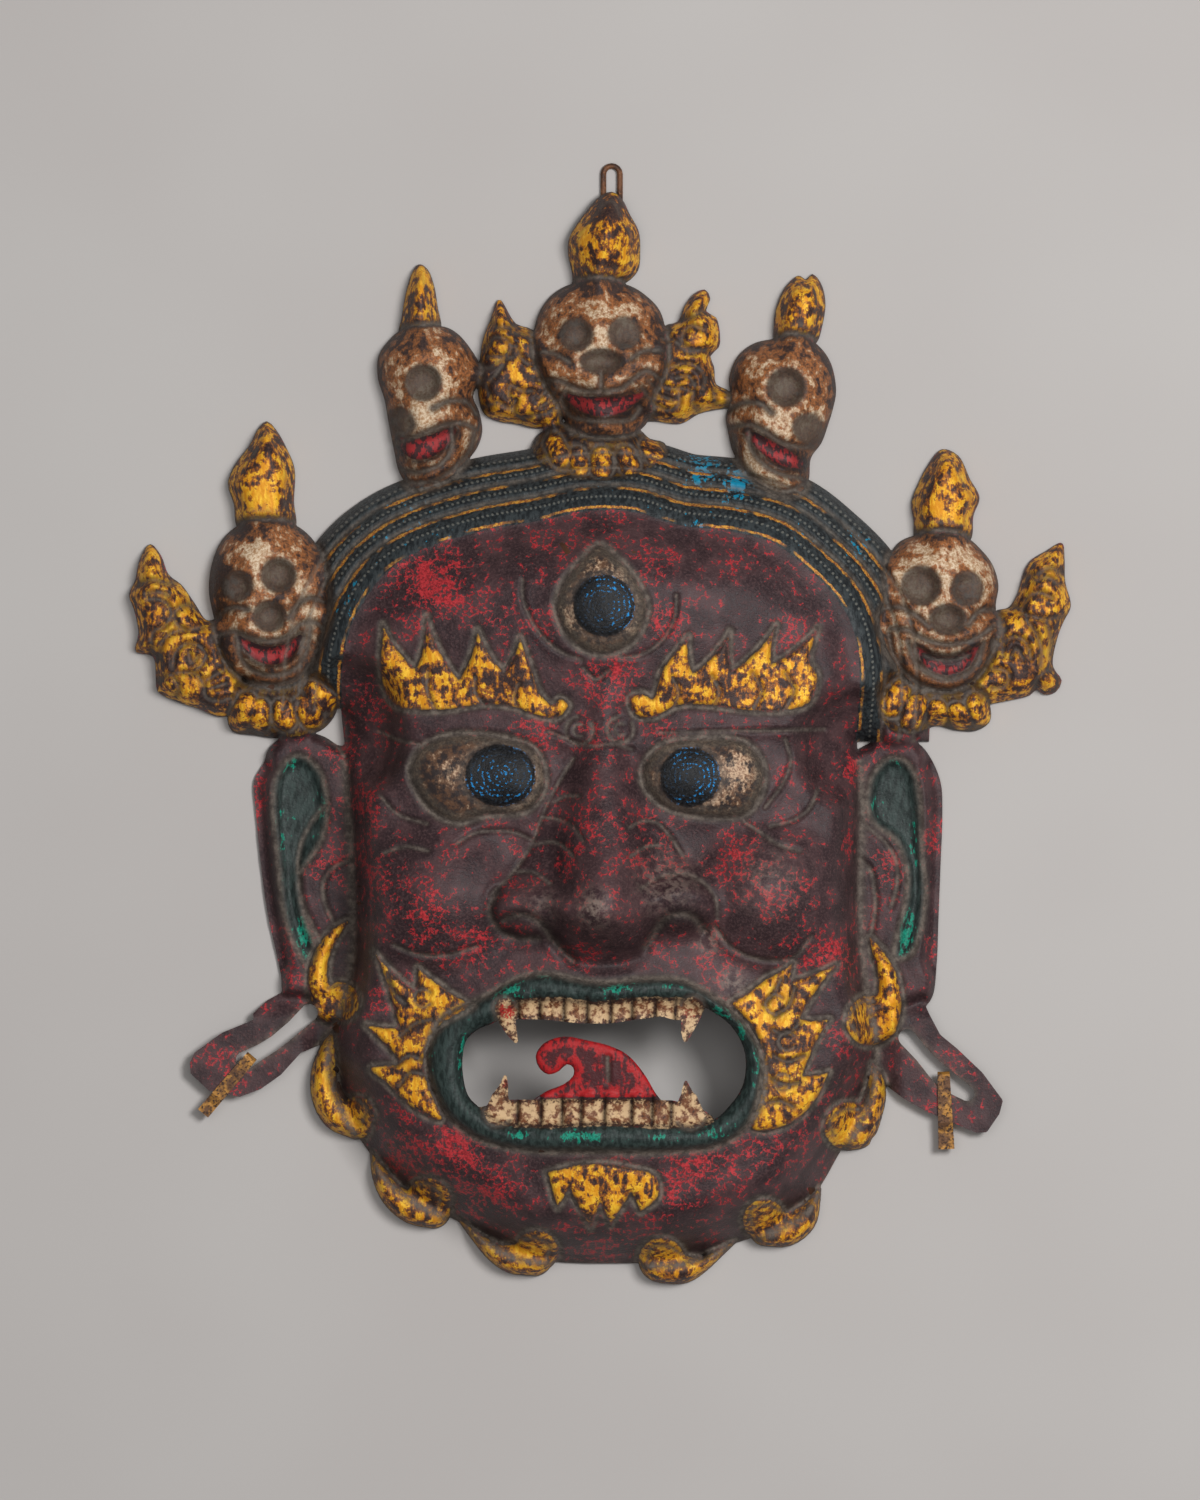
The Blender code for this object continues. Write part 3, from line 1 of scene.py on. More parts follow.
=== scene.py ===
"""Looks of the tibetan cham mask: the painted, gilded and dusty copper sheet with its fine chasing.

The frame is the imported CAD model, lying on its back: +Z is the way the face looks, +Y is towards the crown.
Shapes on the sheet are in millimetres, as in the part's source; the meshes are made in metres.
"""

import math

import bpy
import numpy as np
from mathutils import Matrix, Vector
from mathutils.geometry import delaunay_2d_cdt
from mathutils.kdtree import KDTree


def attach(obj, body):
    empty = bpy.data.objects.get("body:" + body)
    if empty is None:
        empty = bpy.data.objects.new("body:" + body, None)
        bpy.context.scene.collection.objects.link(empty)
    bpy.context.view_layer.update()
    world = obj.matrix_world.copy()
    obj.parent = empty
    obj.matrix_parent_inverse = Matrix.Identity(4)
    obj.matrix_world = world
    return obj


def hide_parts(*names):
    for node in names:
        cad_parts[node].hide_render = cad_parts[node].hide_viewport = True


MILLIMETRE = 0.001

# The sheet, and heights and distances of its forms, in millimetres

SHEET = 1.2
EAR_PLATE = 7.0
CROWN_PLATE = 8.0
HAIR_INNER = 29.0
HAIR_OUTER = 6.5
HAIR_LINES = (0.0, 8.0, 13.7, 18.7, 24.0)
HAIR_REACH = 40.0
FACE_TOP = 41.0
EAR_RIM_FLAT = 3.2
CONCHA_DEPTH = 3.2
LOBE_LIFT = 4.4
FINIAL_LIFT = 2.8
FINIAL_SWELL = 6.0
HEAD_SWELL = 9.0
SOCKET_DEPTH = 4.0
COLLAR_RISE = 2.5
PETAL_RISE = 1.8
LIP_RISE = 5.0
GUM_DEPTH = 2.5
EYE_LIFTS = (7.0, 7.0, 5.5)
FLAME_RISE = 2.4
CURL_RISE = 4.0
WING_RISE = 4.0
BAND_RISE = 1.5
TOOTH_RISE = 0.9
TONGUE_RISE = 1.2

# Soft swells of the face: x, y, half width, half height, lift and, where it isn't the usual one, the power

FOREHEAD_SWELL = (0, 40, 75, 45, 8)
MUZZLE_SWELL = (0, -110, 72, 50, 8)
CHEEK_SWELLS = ((-54, -57, 28, 27, 12, 1.3), (56.5, -57, 27, 26, 13, 1.3))
NOSTRIL_SWELLS = ((-24, -60.5, 15, 12.5, 10, 1.2), (27, -58.5, 14, 12.5, 11, 1.2))
NOSE_ROOT_SWELLS = ((-6.8, -2.3, 7, 7, 3), (6.8, -2.0, 7, 7, 3), (2.3, 8.0, 6, 6, 2.5))

# The wall, the light and the camera, in metres and watts, with the sensor in millimetres

FLOOR_SIDE = 3.0
CAMERA_HEIGHT = 6.0
SENSOR_HEIGHT = 24.0
PHOTO_HEIGHT = 0.5
PHOTO_CENTRE_Y = -0.0088
KEY_PLACE = (0.78, 0.35, 1.75)
KEY_SIDE = 0.55
KEY_POWER = 26.0
FILL_PLACE = (-0.2, 0.1, 2.4)
FILL_SIDE = 1.8
FILL_POWER = 13.4
WORLD_LIGHT = 0.16

# The meshes and the chasing

LATTICE_X = (-160.0, 160.0)
LATTICE_Y = (-190.0, 180.0)
FINE_STEP = 0.72
BACK_STEP = 3.2
SNAP_SHARE = 0.36
SLOPE_STEP = 0.05
BACK_CLEARANCE = 0.8 * SHEET
FRONT_BUDGET = 168000
SHARP_ANGLE = 55.0
HAMMER_MARKS = 0.12
SOFTEN_ALL = 8
SOFTEN_FACE = 24
PAINT_REACH = 8.0
FAR = 9.0
GROOVE_REACH = 4.5
RIB_REACH = 3.0
TOOTH_REACH = 3.0
PLAIN_RUB = 0.12
ALONG_SCALE = 1.6
DOT_PITCH = 1.7
HAIR_DOT_ROWS = (4.0, 10.6, 16.0, 21.2)
# Soft fields: dark holds painted shade, and pale holds pale wear with a painted highlight
SOFT_FIELDS = ("dust", "dark", "rub", "teal", "pale", "cream", "thin", "fleck")
COATS = ("green", "hair", "gold", "bone", "grin", "eye", "iris", "tooth", "tongue")

# Colours as seen on a screen, 0 to 255. A pair holds the tones at the low and the high end of a noise.

LACQUER = ((50, 35, 38), (78, 55, 57))
SCUFFED_LACQUER = (98, 72, 72)
CRIMSON = ((138, 34, 40), (200, 54, 60))
GREEN = ((29, 39, 37), (54, 67, 64))
TEAL = ((8, 104, 86), (28, 152, 126))
LEAF_GOLD = ((224, 148, 26), (255, 200, 56))
AMBER = ((108, 66, 40), (178, 104, 36))
UNDER_GOLD = ((52, 37, 37), (84, 60, 50))
CREAM = ((176, 134, 96), (230, 208, 178))
TAN = ((104, 68, 46), (172, 108, 62))
UNDER_CREAM = ((52, 40, 39), (84, 62, 54))
HAIR_BLUE = ((28, 33, 36), (54, 60, 62))
DOT_GREY = (112, 112, 106)
TURQUOISE = (12, 132, 166)
THREAD_GOLD = ((150, 84, 40), (222, 160, 60))
EYE_BROWN = ((52, 44, 43), (100, 72, 54))
EYE_CREAM = ((138, 100, 76), (216, 184, 152))
EYE_BORDER = ((70, 62, 56), (100, 90, 78))
PUPIL = ((12, 13, 16), (34, 35, 37))
IRIS_BLUE = (24, 144, 214)
GRIN_RED = ((68, 40, 42), (160, 48, 50))
TONGUE_RED = ((176, 32, 36), (74, 28, 32))
ENAMEL = ((212, 178, 136), (122, 76, 50))
TOOTH_BLUSH = (190, 48, 44)
TOOTH_SPECK = (72, 46, 36)
# Near-black painted shade, laid in grooves, hollows and gaps
PAINTED_SHADE = (36, 31, 31)
DUST = ((78, 70, 64), (120, 110, 100))
# Pale wear, which also paints a highlight on the right of the nose
PALE_WEAR_AND_HIGHLIGHT = (142, 124, 114)
BACK_COPPER = ((46, 34, 28), (84, 54, 38))
WIRE_RUST = ((70, 46, 34), (118, 78, 52))
WIRE_SCRAPE = (150, 104, 74)
BAND_GILDING = ((98, 66, 40), (170, 120, 52))
BAND_WEAR = (66, 48, 40)
WALL = ((187, 182, 179), (191, 187, 184))

# Irises: x, y, half width and half height

LEFT_IRIS = (-33.0, -17.2, 11.7, 10.3)
RIGHT_IRIS = (29.7, -17.8, 10.0, 10.0)
THIRD_IRIS = (1.3, 38.8, 10.3, 10.3)

# Round spots of wear and colour: x, y, radius and strength

RUBBED_SPOTS = (
    (-56.0, 47.5, 15.0, 0.95), (-68.0, 42.0, 9.0, 0.7), (-33.0, 36.0, 14.0, 0.45), (-20.0, 54.0, 14.0, 0.4),
    (17.0, 52.0, 10.0, 0.55), (22.0, 34.0, 9.0, 0.75), (-20.0, 32.0, 9.0, 0.55), (3.0, 13.0, 10.0, 0.8),
    (0.0, 66.0, 12.0, 0.45), (50.0, 54.0, 20.0, 0.3), (72.0, 40.0, 12.0, 0.35), (60.0, 30.0, 12.0, 0.45),
    (-77.0, 8.0, 8.0, 0.7), (-78.0, -28.0, 8.0, 0.7), (-72.0, -50.0, 14.0, 0.6), (-58.0, -66.0, 12.0, 0.85),
    (-40.0, -72.0, 12.0, 0.7), (-22.0, -3.0, 9.0, 0.7), (0.0, -6.0, 9.0, 0.55), (22.0, -5.0, 9.0, 0.6),
    (0.0, -34.0, 12.0, 0.55), (-14.0, -44.0, 12.0, 0.5), (16.0, -40.0, 12.0, 0.6), (46.0, -46.0, 14.0, 0.5),
    (62.0, -58.0, 11.0, 0.65), (64.0, -72.0, 9.0, 0.6), (84.0, -15.0, 4.0, 1.0), (82.0, -40.0, 5.0, 0.6),
    (-6.0, -78.0, 9.0, 0.4), (22.0, -72.0, 9.0, 0.4), (-52.0, -79.0, 8.0, 0.5), (-68.0, -92.0, 9.0, 0.6),
    (76.0, -78.0, 8.0, 0.95), (80.0, -104.0, 7.0, 0.7), (66.0, -125.0, 14.0, 0.8), (-66.0, -130.0, 9.0, 0.5),
    (-46.0, -141.0, 13.0, 0.95), (-38.0, -156.0, 12.0, 0.8), (-64.0, -142.0, 9.0, 0.7),
    (34.0, -142.0, 15.0, 0.85),
    (26.0, -158.0, 12.0, 0.75), (54.0, -140.0, 12.0, 0.7), (0.0, -172.0, 15.0, 0.5),
    (-22.0, -150.0, 9.0, 0.5),
    (-86.0, -10.0, 7.0, 0.7), (-112.0, -25.0, 5.0, 0.5), (-91.0, -48.0, 8.0, 0.8), (-88.0, -30.0, 7.0, 0.5),
    (-100.0, -80.0, 9.0, 0.5), (-123.0, -110.0, 10.0, 0.45), (96.0, -48.0, 9.0, 0.7),
    (110.0, -40.0, 5.0, 0.6),
    (110.0, -72.0, 5.0, 0.5), (92.0, -10.0, 8.0, 0.4), (122.0, -118.0, 10.0, 0.4), (-86.0, 0.0, 5.0, 0.6),
    (-31.0, -95.5, 5.0, 1.2), (-31.0, -119.0, 3.5, 1.2), (29.4, -96.5, 5.0, 0.9), (30.0, -122.0, 4.0, 0.7),
)
TURQUOISE_SPOTS = (
    (34.0, 84.0, 8.0, 0.95), (46.0, 80.0, 8.0, 0.95), (0.0, 82.0, 6.0, 0.5), (85.0, 60.0, 6.0, 0.7),
    (-86.0, 40.0, 12.0, 0.4), (66.0, 62.0, 6.0, 0.5), (-62.0, 64.0, 22.0, 0.35), (20.0, 70.0, 6.0, 0.5),
    (32.0, 66.0, 5.0, 0.8), (46.0, 62.0, 4.0, 0.6),
)
# Pale wear; the spot on the right of the nose is a painted highlight
PALE_WEAR_AND_HIGHLIGHT_SPOTS = (
    (-2.0, -61.0, 5.0, 0.9), (36.0, -72.0, 4.0, 0.7), (44.0, -86.0, 5.0, 0.7), (22.0, -53.0, 9.0, 0.5),
    (56.0, -52.0, 10.0, 0.3), (-20.0, -60.0, 6.0, 0.3),
)

# Oval spots: x, y, half width, half height and strength

TEAL_SPOTS = (
    (-31.0, -88.5, 8.0, 3.5, 1.0), (-19.0, -83.5, 6.0, 1.6, 0.7), (6.0, -87.5, 6.0, 2.2, 0.8),
    (24.0, -87.5, 4.0, 1.8, 0.7), (40.0, -95.5, 4.0, 3.0, 0.8), (46.5, -102.0, 2.0, 5.0, 0.8),
    (52.0, -113.0, 2.0, 8.0, 0.7), (-45.5, -110.0, 2.2, 9.0, 0.75), (-56.0, -111.0, 2.0, 5.0, 0.5),
    (-27.0, -136.0, 4.0, 1.6, 0.9), (-7.0, -136.5, 10.0, 2.2, 0.85), (19.0, -137.0, 6.0, 1.6, 0.7),
    (38.0, -135.0, 6.0, 2.5, 0.75), (-102.5, -14.0, 4.0, 4.0, 0.6), (-93.0, -24.0, 2.5, 9.0, 0.6),
    (-98.0, -70.0, 4.0, 10.0, 0.8), (-106.0, -40.0, 2.5, 16.0, 0.5), (92.0, -26.0, 2.5, 9.0, 0.5),
    (105.0, -40.0, 2.5, 14.0, 0.5), (101.5, -70.0, 4.0, 10.0, 0.85), (98.0, -13.0, 4.0, 3.0, 0.5),
)
CREAM_SPOTS = (
    (-20.5, -16.0, 3.0, 6.0, 1.0), (-27.0, -28.0, 6.0, 2.0, 0.8), (-49.0, -16.0, 5.0, 5.0, 0.45),
    (46.0, -16.0, 6.0, 7.0, 0.9), (38.0, -26.0, 8.0, 3.0, 0.5), (-10.0, 35.0, 3.0, 4.5, 1.0),
    (6.5, 50.0, 4.0, 4.0, 0.75), (-3.0, 52.0, 3.0, 5.0, 0.5), (12.0, 31.0, 3.0, 3.0, 0.5),
    (0.0, 137.0, 8.0, 4.0, 0.6), (0.0, 126.0, 3.0, 6.0, 0.7), (-2.0, 113.0, 14.0, 4.0, 0.6),
    (-59.0, 103.0, 7.0, 7.0, 0.9), (-51.0, 117.0, 6.0, 6.0, 0.6), (-64.0, 120.0, 6.0, 4.0, 0.4),
    (58.0, 103.0, 8.0, 7.0, 0.9), (54.0, 117.0, 6.0, 6.0, 0.5), (63.0, 98.0, 5.0, 6.0, 0.7),
    (-114.0, 57.0, 5.0, 4.0, 0.9), (-113.5, 46.0, 3.0, 7.0, 0.8), (-99.0, 44.0, 4.0, 6.0, 0.7),
    (-96.0, 37.0, 4.0, 3.0, 0.9), (-104.0, 63.0, 4.0, 2.5, 0.9), (-105.0, 31.0, 6.0, 3.0, 0.5),
    (114.0, 44.0, 3.0, 8.0, 0.9), (112.0, 54.0, 12.0, 4.0, 0.7), (128.0, 48.0, 3.0, 7.0, 0.6),
    (101.0, 35.0, 5.0, 3.0, 0.6), (126.0, 33.0, 5.0, 4.0, 0.6), (100.0, 50.0, 4.0, 6.0, 0.5),
    (49.0, 87.0, 4.0, 6.0, 0.9), (56.0, 79.0, 6.0, 3.0, 0.9), (98.0, 22.0, 3.0, 4.0, 0.6),
)
THIN_SPOTS = (
    (-30.0, 12.0, 16.0, 8.0, 0.5), (-62.0, 125.0, 14.0, 6.0, 0.3), (-52.0, 127.0, 12.0, 5.0, 0.3),
    (64.0, 124.0, 16.0, 7.0, 0.25), (72.0, 112.0, 6.0, 8.0, 0.2), (0.0, 144.0, 18.0, 4.0, 0.5),
    (-110.0, 64.0, 16.0, 4.0, 0.5), (-126.0, 46.0, 4.0, 12.0, 0.7), (-31.0, 118.0, 12.0, 16.0, 0.45),
    (30.0, 118.0, 12.0, 16.0, 0.3), (-144.0, 38.0, 12.0, 20.0, 0.1), (-136.0, 18.0, 12.0, 12.0, 0.3),
    (146.0, 40.0, 12.0, 14.0, 0.2), (138.0, 18.0, 12.0, 14.0, 0.25), (0.0, 173.0, 12.0, 6.0, 1.2),
    (0.0, 90.0, 26.0, 10.0, 0.35), (60.0, 146.0, 16.0, 6.0, 0.4), (40.0, 14.0, 22.0, 10.0, 0.1),
)

ROUND_SPOTS = {"rub": RUBBED_SPOTS, "fleck": TURQUOISE_SPOTS, "pale": PALE_WEAR_AND_HIGHLIGHT_SPOTS}
OVAL_SPOTS = {"teal": TEAL_SPOTS, "cream": CREAM_SPOTS, "thin": THIN_SPOTS}


def spline(points, closed=True, step=1.5):
    """A smooth curve through the points, as a polyline; any third value is carried along."""
    p = np.array(points, float)
    if closed:
        ring = np.vstack([p[-1], p, p[:2]])
    else:
        ring = np.vstack([2 * p[0] - p[1], p, 2 * p[-1] - p[-2]])
    span = np.sqrt(np.maximum(np.linalg.norm(np.diff(ring[:, :2], axis=0), axis=1), 1e-6))
    pieces = []
    for i in range(1, len(ring) - 2):
        a, b, c, d = ring[i - 1], ring[i], ring[i + 1], ring[i + 2]
        before, here, after = span[i - 1], span[i], span[i + 1]
        leave = here * ((b - a) / before - (c - a) / (before + here) + (c - b) / here)
        reach = here * ((c - b) / here - (d - b) / (here + after) + (d - c) / after)
        count = max(2, int(here * here / step))
        t = (np.arange(count) / count)[:, None]
        pieces.append(
            (2 * t**3 - 3 * t**2 + 1) * b
            + (t**3 - 2 * t**2 + t) * leave
            + (3 * t**2 - 2 * t**3) * c
            + (t**3 - t**2) * reach
        )
    if not closed:
        pieces.append(p[-1:])
    return np.concatenate(pieces)


class Area:
    """A closed outline on the sheet."""

    def __init__(self, outline):
        self.outline = np.array(outline, float)[:, :2]

    def gap(self, x, y, reach=8.0):
        """Distance to the outline, negative inside, and no more than reach outside."""
        low = self.outline.min(axis=0) - reach
        high = self.outline.max(axis=0) + reach
        near = (x > low[0]) & (x < high[0]) & (y > low[1]) & (y < high[1])
        px, py = x[near], y[near]
        best = np.full(px.shape, 1e9)
        inside = np.zeros(px.shape, bool)
        for (ax, ay), (bx, by) in zip(self.outline, np.roll(self.outline, -1, axis=0)):
            ex, ey = bx - ax, by - ay
            wx, wy = px - ax, py - ay
            t = np.clip((wx * ex + wy * ey) / (ex * ex + ey * ey), 0, 1)
            best = np.minimum(best, (wx - t * ex) ** 2 + (wy - t * ey) ** 2)
            if ey != 0:
                inside ^= ((ay > py) != (by > py)) & (wx < wy * ex / ey)
        out = np.full(x.shape, reach)
        out[near] = np.minimum(np.where(inside, -1, 1) * np.sqrt(best), reach)
        return out


class Bar:
    """A bent bar on the sheet, from points with a radius each."""

    def __init__(self, points):
        self.line = np.array(points, float)

    def gap(self, x, y, reach=8.0):
        """Distance to the side of the bar, negative inside, and no more than reach outside."""
        wide = self.line[:, 2].max()
        low = self.line[:, :2].min(axis=0) - reach - wide
        high = self.line[:, :2].max(axis=0) + reach + wide
        near = (x > low[0]) & (x < high[0]) & (y > low[1]) & (y < high[1])
        px, py = x[near], y[near]
        best = np.full(px.shape, reach)
        for (ax, ay, ar), (bx, by, br) in zip(self.line[:-1], self.line[1:]):
            ex, ey = bx - ax, by - ay
            wx, wy = px - ax, py - ay
            t = np.clip((wx * ex + wy * ey) / (ex * ex + ey * ey + 1e-9), 0, 1)
            away = np.hypot(wx - t * ex, wy - t * ey) - (ar + (br - ar) * t)
            best = np.minimum(best, away)
        out = np.full(x.shape, reach)
        out[near] = best
        return out


class Both:
    """Several shapes taken as one."""

    def __init__(self, *shapes):
        self.shapes = shapes

    def gap(self, x, y, reach=8.0):
        return np.minimum.reduce([shape.gap(x, y, reach) for shape in self.shapes])


def smooth(*points):
    return Area(spline(points))


def round_spot(x, y, wide, high=None, tilt=0.0):
    """An ellipse with its centre, half width, half height and tilt in degrees."""
    high = wide if high is None else high
    turn = np.arange(20) * math.tau / 20
    c, s = math.cos(math.radians(tilt)), math.sin(math.radians(tilt))
    u, v = wide * np.cos(turn), high * np.sin(turn)
    return Area(np.column_stack([x + u * c - v * s, y + u * s + v * c]))


def curl(centre, radius, *tail):
    """A comma shape: a round bulb and a tail that thins to its tip."""
    return Both(Bar([(*centre, radius), (centre[0] + 0.01, centre[1], radius)]), Bar(spline(tail, False)))


def flames(tips, roots, foot, bow=0.10):
    """Flame tongues side by side: tips and the roots between them, closed by a smooth foot line."""
    outline = []
    ups = [tip for pair in zip(tips, roots) for tip in pair] + [tips[-1]]
    for k, (a, b) in enumerate(zip(ups[:-1], ups[1:])):
        a, b = np.array(a, float), np.array(b, float)
        out = np.array([-(b - a)[1], (b - a)[0]]) * bow
        for t in (0.0, 0.25, 0.5, 0.75):
            outline.append(a + (b - a) * t + out * 4 * t * (1 - t))
    outline += list(spline([tips[-1], *foot, tips[0]], False))[:-1]
    return Area(outline)


# Outlines of the forms, in millimetres from the middle of the mask

ARCH = (
    (-86.5, 9.8), (-85.5, 23.0), (-82.0, 35.0), (-74.0, 47.6), (-65.0, 55.0), (-54.0, 60.0), (-37.5, 64.8),
    (-20.0, 67.8), (-5.0, 71.0), (10.0, 71.0), (27.0, 66.2), (44.0, 64.3), (58.0, 60.3), (69.0, 52.0),
    (79.0, 41.8), (84.8, 30.0), (86.8, 14.0), (85.7, -4.8),
)
JAW = (
    (86.5, -25.0), (86.0, -50.0), (86.5, -75.0), (89.0, -95.0), (91.5, -108.0), (90.0, -121.0),
    (85.0, -134.0), (79.0, -144.5), (74.5, -152.5), (68.0, -162.0), (57.0, -169.0), (45.5, -173.0),
    (36.0, -176.5),
    (25.0, -179.5), (13.0, -179.8), (-14.0, -179.4), (-28.0, -177.0), (-38.0, -172.0), (-47.5, -165.8),
    (-60.0, -159.5), (-70.0, -152.0), (-76.8, -143.0), (-82.0, -135.0), (-88.0, -121.0), (-89.5, -107.0),
    (-85.0, -94.0), (-82.0, -80.0), (-81.8, -50.0), (-83.7, -20.0),
)
FACE = smooth(*ARCH, *JAW)
ARCH_SPAN = smooth(*ARCH, (86.5, -60.0), (0.0, -60.0), (-84.0, -60.0))

HAIR_SPREAD = HAIR_LINES[-1]
HAIR_LEFT_FOOT = 5.0
HAIR_RIGHT_FOOT = -6.0

MOUTH_RIM = smooth(
    (-57.0, -108.0), (-53.0, -98.5), (-45.0, -93.5), (-36.0, -89.5), (-28.0, -84.8), (-18.0, -83.0),
    (-8.0, -84.8), (2.0, -86.0), (14.0, -84.6), (26.0, -85.0), (36.0, -89.5), (45.0, -96.5), (51.5, -105.0),
    (54.3, -114.0), (53.0, -126.0), (47.0, -135.0), (38.0, -140.0), (20.0, -141.7), (-5.0, -141.7),
    (-28.0, -140.7), (-42.0, -136.5), (-51.0, -129.0), (-56.0, -119.0),
)
GUMS = smooth(
    (-45.5, -111.0), (-44.0, -104.5), (-39.5, -100.8), (-34.0, -98.5), (-29.5, -92.8), (-15.0, -91.0),
    (-2.0, -92.3), (10.0, -91.2), (22.0, -91.0), (30.0, -92.0), (37.0, -95.3), (43.0, -99.8), (47.0, -106.0),
    (48.3, -113.0), (47.0, -120.5), (43.0, -126.5), (38.5, -130.8), (34.0, -133.0), (18.0, -133.5),
    (0.0, -132.7), (-20.0, -133.5), (-34.0, -132.0), (-39.5, -127.5), (-43.5, -123.5), (-45.2, -117.5),
)
UPPER_TEETH = Area(((-33.5, -88.0), (-33.0, -98.5), (-27.0, -97.8), (-18.0, -98.0), (-7.0, -99.2),
                    (3.0, -99.3), (12.0, -98.0), (20.0, -96.9), (25.0, -98.2), (33.0, -97.5), (35.0, -94.0),
                    (36.0, -88.0)))
LOWER_TEETH = Area(((-40.0, -127.2), (-30.0, -124.6), (-10.0, -124.3), (10.0, -124.3), (24.0, -124.8),
                    (33.0, -127.0), (37.5, -130.5), (38.0, -137.0), (-41.0, -137.0)))
FANGS = (
    Bar(((-31.5, -94.0, 3.4), (-30.8, -98.0, 2.9), (-29.3, -102.0, 1.8), (-27.9, -105.0, 0.8))),
    Bar(((30.8, -94.0, 3.7), (29.8, -98.0, 2.9), (28.7, -102.0, 1.9), (28.3, -104.6, 0.9))),
    Bar(((-34.0, -129.0, 4.2), (-33.2, -124.5, 3.0), (-31.8, -120.0, 1.4), (-31.4, -117.0, 0.6))),
    Bar(((30.0, -129.5, 4.6), (29.3, -125.0, 3.2), (28.7, -121.5, 1.6), (28.4, -118.8, 0.6))),
)
TONGUE = smooth(
    (-23.5, -126.5), (-18.0, -121.9), (-12.0, -119.4), (-8.8, -116.5), (-8.9, -113.7), (-11.0, -112.8),
    (-13.5, -115.0), (-17.0, -116.2), (-20.0, -114.2), (-21.3, -110.2), (-18.8, -106.0), (-12.0, -103.6),
    (-4.0, -104.9), (3.0, -106.6), (9.0, -109.6), (14.5, -115.8), (18.0, -121.8), (21.0, -127.0),
    (0.0, -129.0),
)

LEFT_SLOT = Bar(((-96.8, -96.3, 2.9), (-102.0, -101.2, 2.5), (-108.0, -106.2, 2.4), (-113.0, -109.3, 2.5),
                 (-118.2, -112.2, 3.1)))
RIGHT_SLOT = Bar(((102.3, -104.6, 2.9), (107.5, -110.5, 2.6), (112.0, -115.6, 3.0), (114.9, -118.4, 3.6),
                  (122.3, -123.2, 2.5)))

LEFT_EAR = smooth(
    (-80.0, -4.0), (-86.0, -7.5), (-92.0, -4.3), (-99.0, -2.6), (-106.0, -4.5), (-110.5, -8.5),
    (-112.0, -13.0), (-115.2, -19.0), (-114.6, -30.0), (-113.2, -45.0), (-111.0, -62.0), (-108.2, -75.0),
    (-106.3, -84.0),
    (-105.3, -91.0), (-97.0, -95.0), (-84.0, -100.0), (-78.0, -60.0),
)
RIGHT_EAR = smooth(
    (80.0, -12.0), (86.0, -8.5), (92.0, -5.6), (99.0, -4.9), (106.0, -6.5), (110.5, -12.0), (113.6, -20.0),
    (114.1, -30.0), (113.5, -47.0), (112.8, -65.0), (112.2, -80.0), (110.8, -91.0), (107.9, -95.0),
    (103.0, -101.5), (86.0, -104.0), (78.0, -60.0),
)
LEFT_LOBE = Area(((-105.3, -86.0), (-106.0, -89.5), (-111.0, -92.3), (-115.6, -96.6), (-115.3, -98.6),
                  (-126.0, -103.0), (-135.0, -109.6), (-136.6, -113.0), (-136.3, -116.6), (-130.3, -122.2),
                  (-120.0, -124.3), (-113.0, -121.7), (-106.3, -117.0), (-99.6, -109.6), (-94.0, -107.3),
                  (-86.0, -106.0), (-88.0, -90.0)))
RIGHT_LOBE = Area(((107.5, -92.0), (109.8, -97.0), (113.3, -103.6), (119.0, -108.3), (127.3, -116.2),
                   (134.2, -125.5), (133.0, -130.0), (128.8, -136.1), (125.4, -136.3), (118.7, -133.4),
                   (109.0, -129.3), (101.0, -124.8), (95.0, -120.3), (87.0, -112.0), (90.0, -100.0)))
LEFT_CONCHA = smooth(
    (-100.7, -10.5), (-107.0, -16.0), (-108.8, -26.0), (-107.2, -45.0), (-105.0, -64.0), (-101.5, -74.0),
    (-97.5, -80.0), (-95.0, -75.0), (-98.7, -64.0), (-100.0, -50.0), (-97.0, -45.5), (-92.5, -38.0),
    (-91.0, -26.0), (-94.0, -15.0),
)
RIGHT_CONCHA = smooth(
    (96.5, -11.5), (91.0, -17.0), (89.2, -28.0), (92.0, -34.0), (98.0, -38.0), (102.0, -47.0),
    (102.3, -57.0),
    (99.5, -69.0), (98.3, -78.0), (103.0, -77.0), (106.8, -68.0), (108.2, -57.0), (107.0, -42.0),
    (106.5, -27.0), (104.5, -16.5), (101.0, -12.2),
)

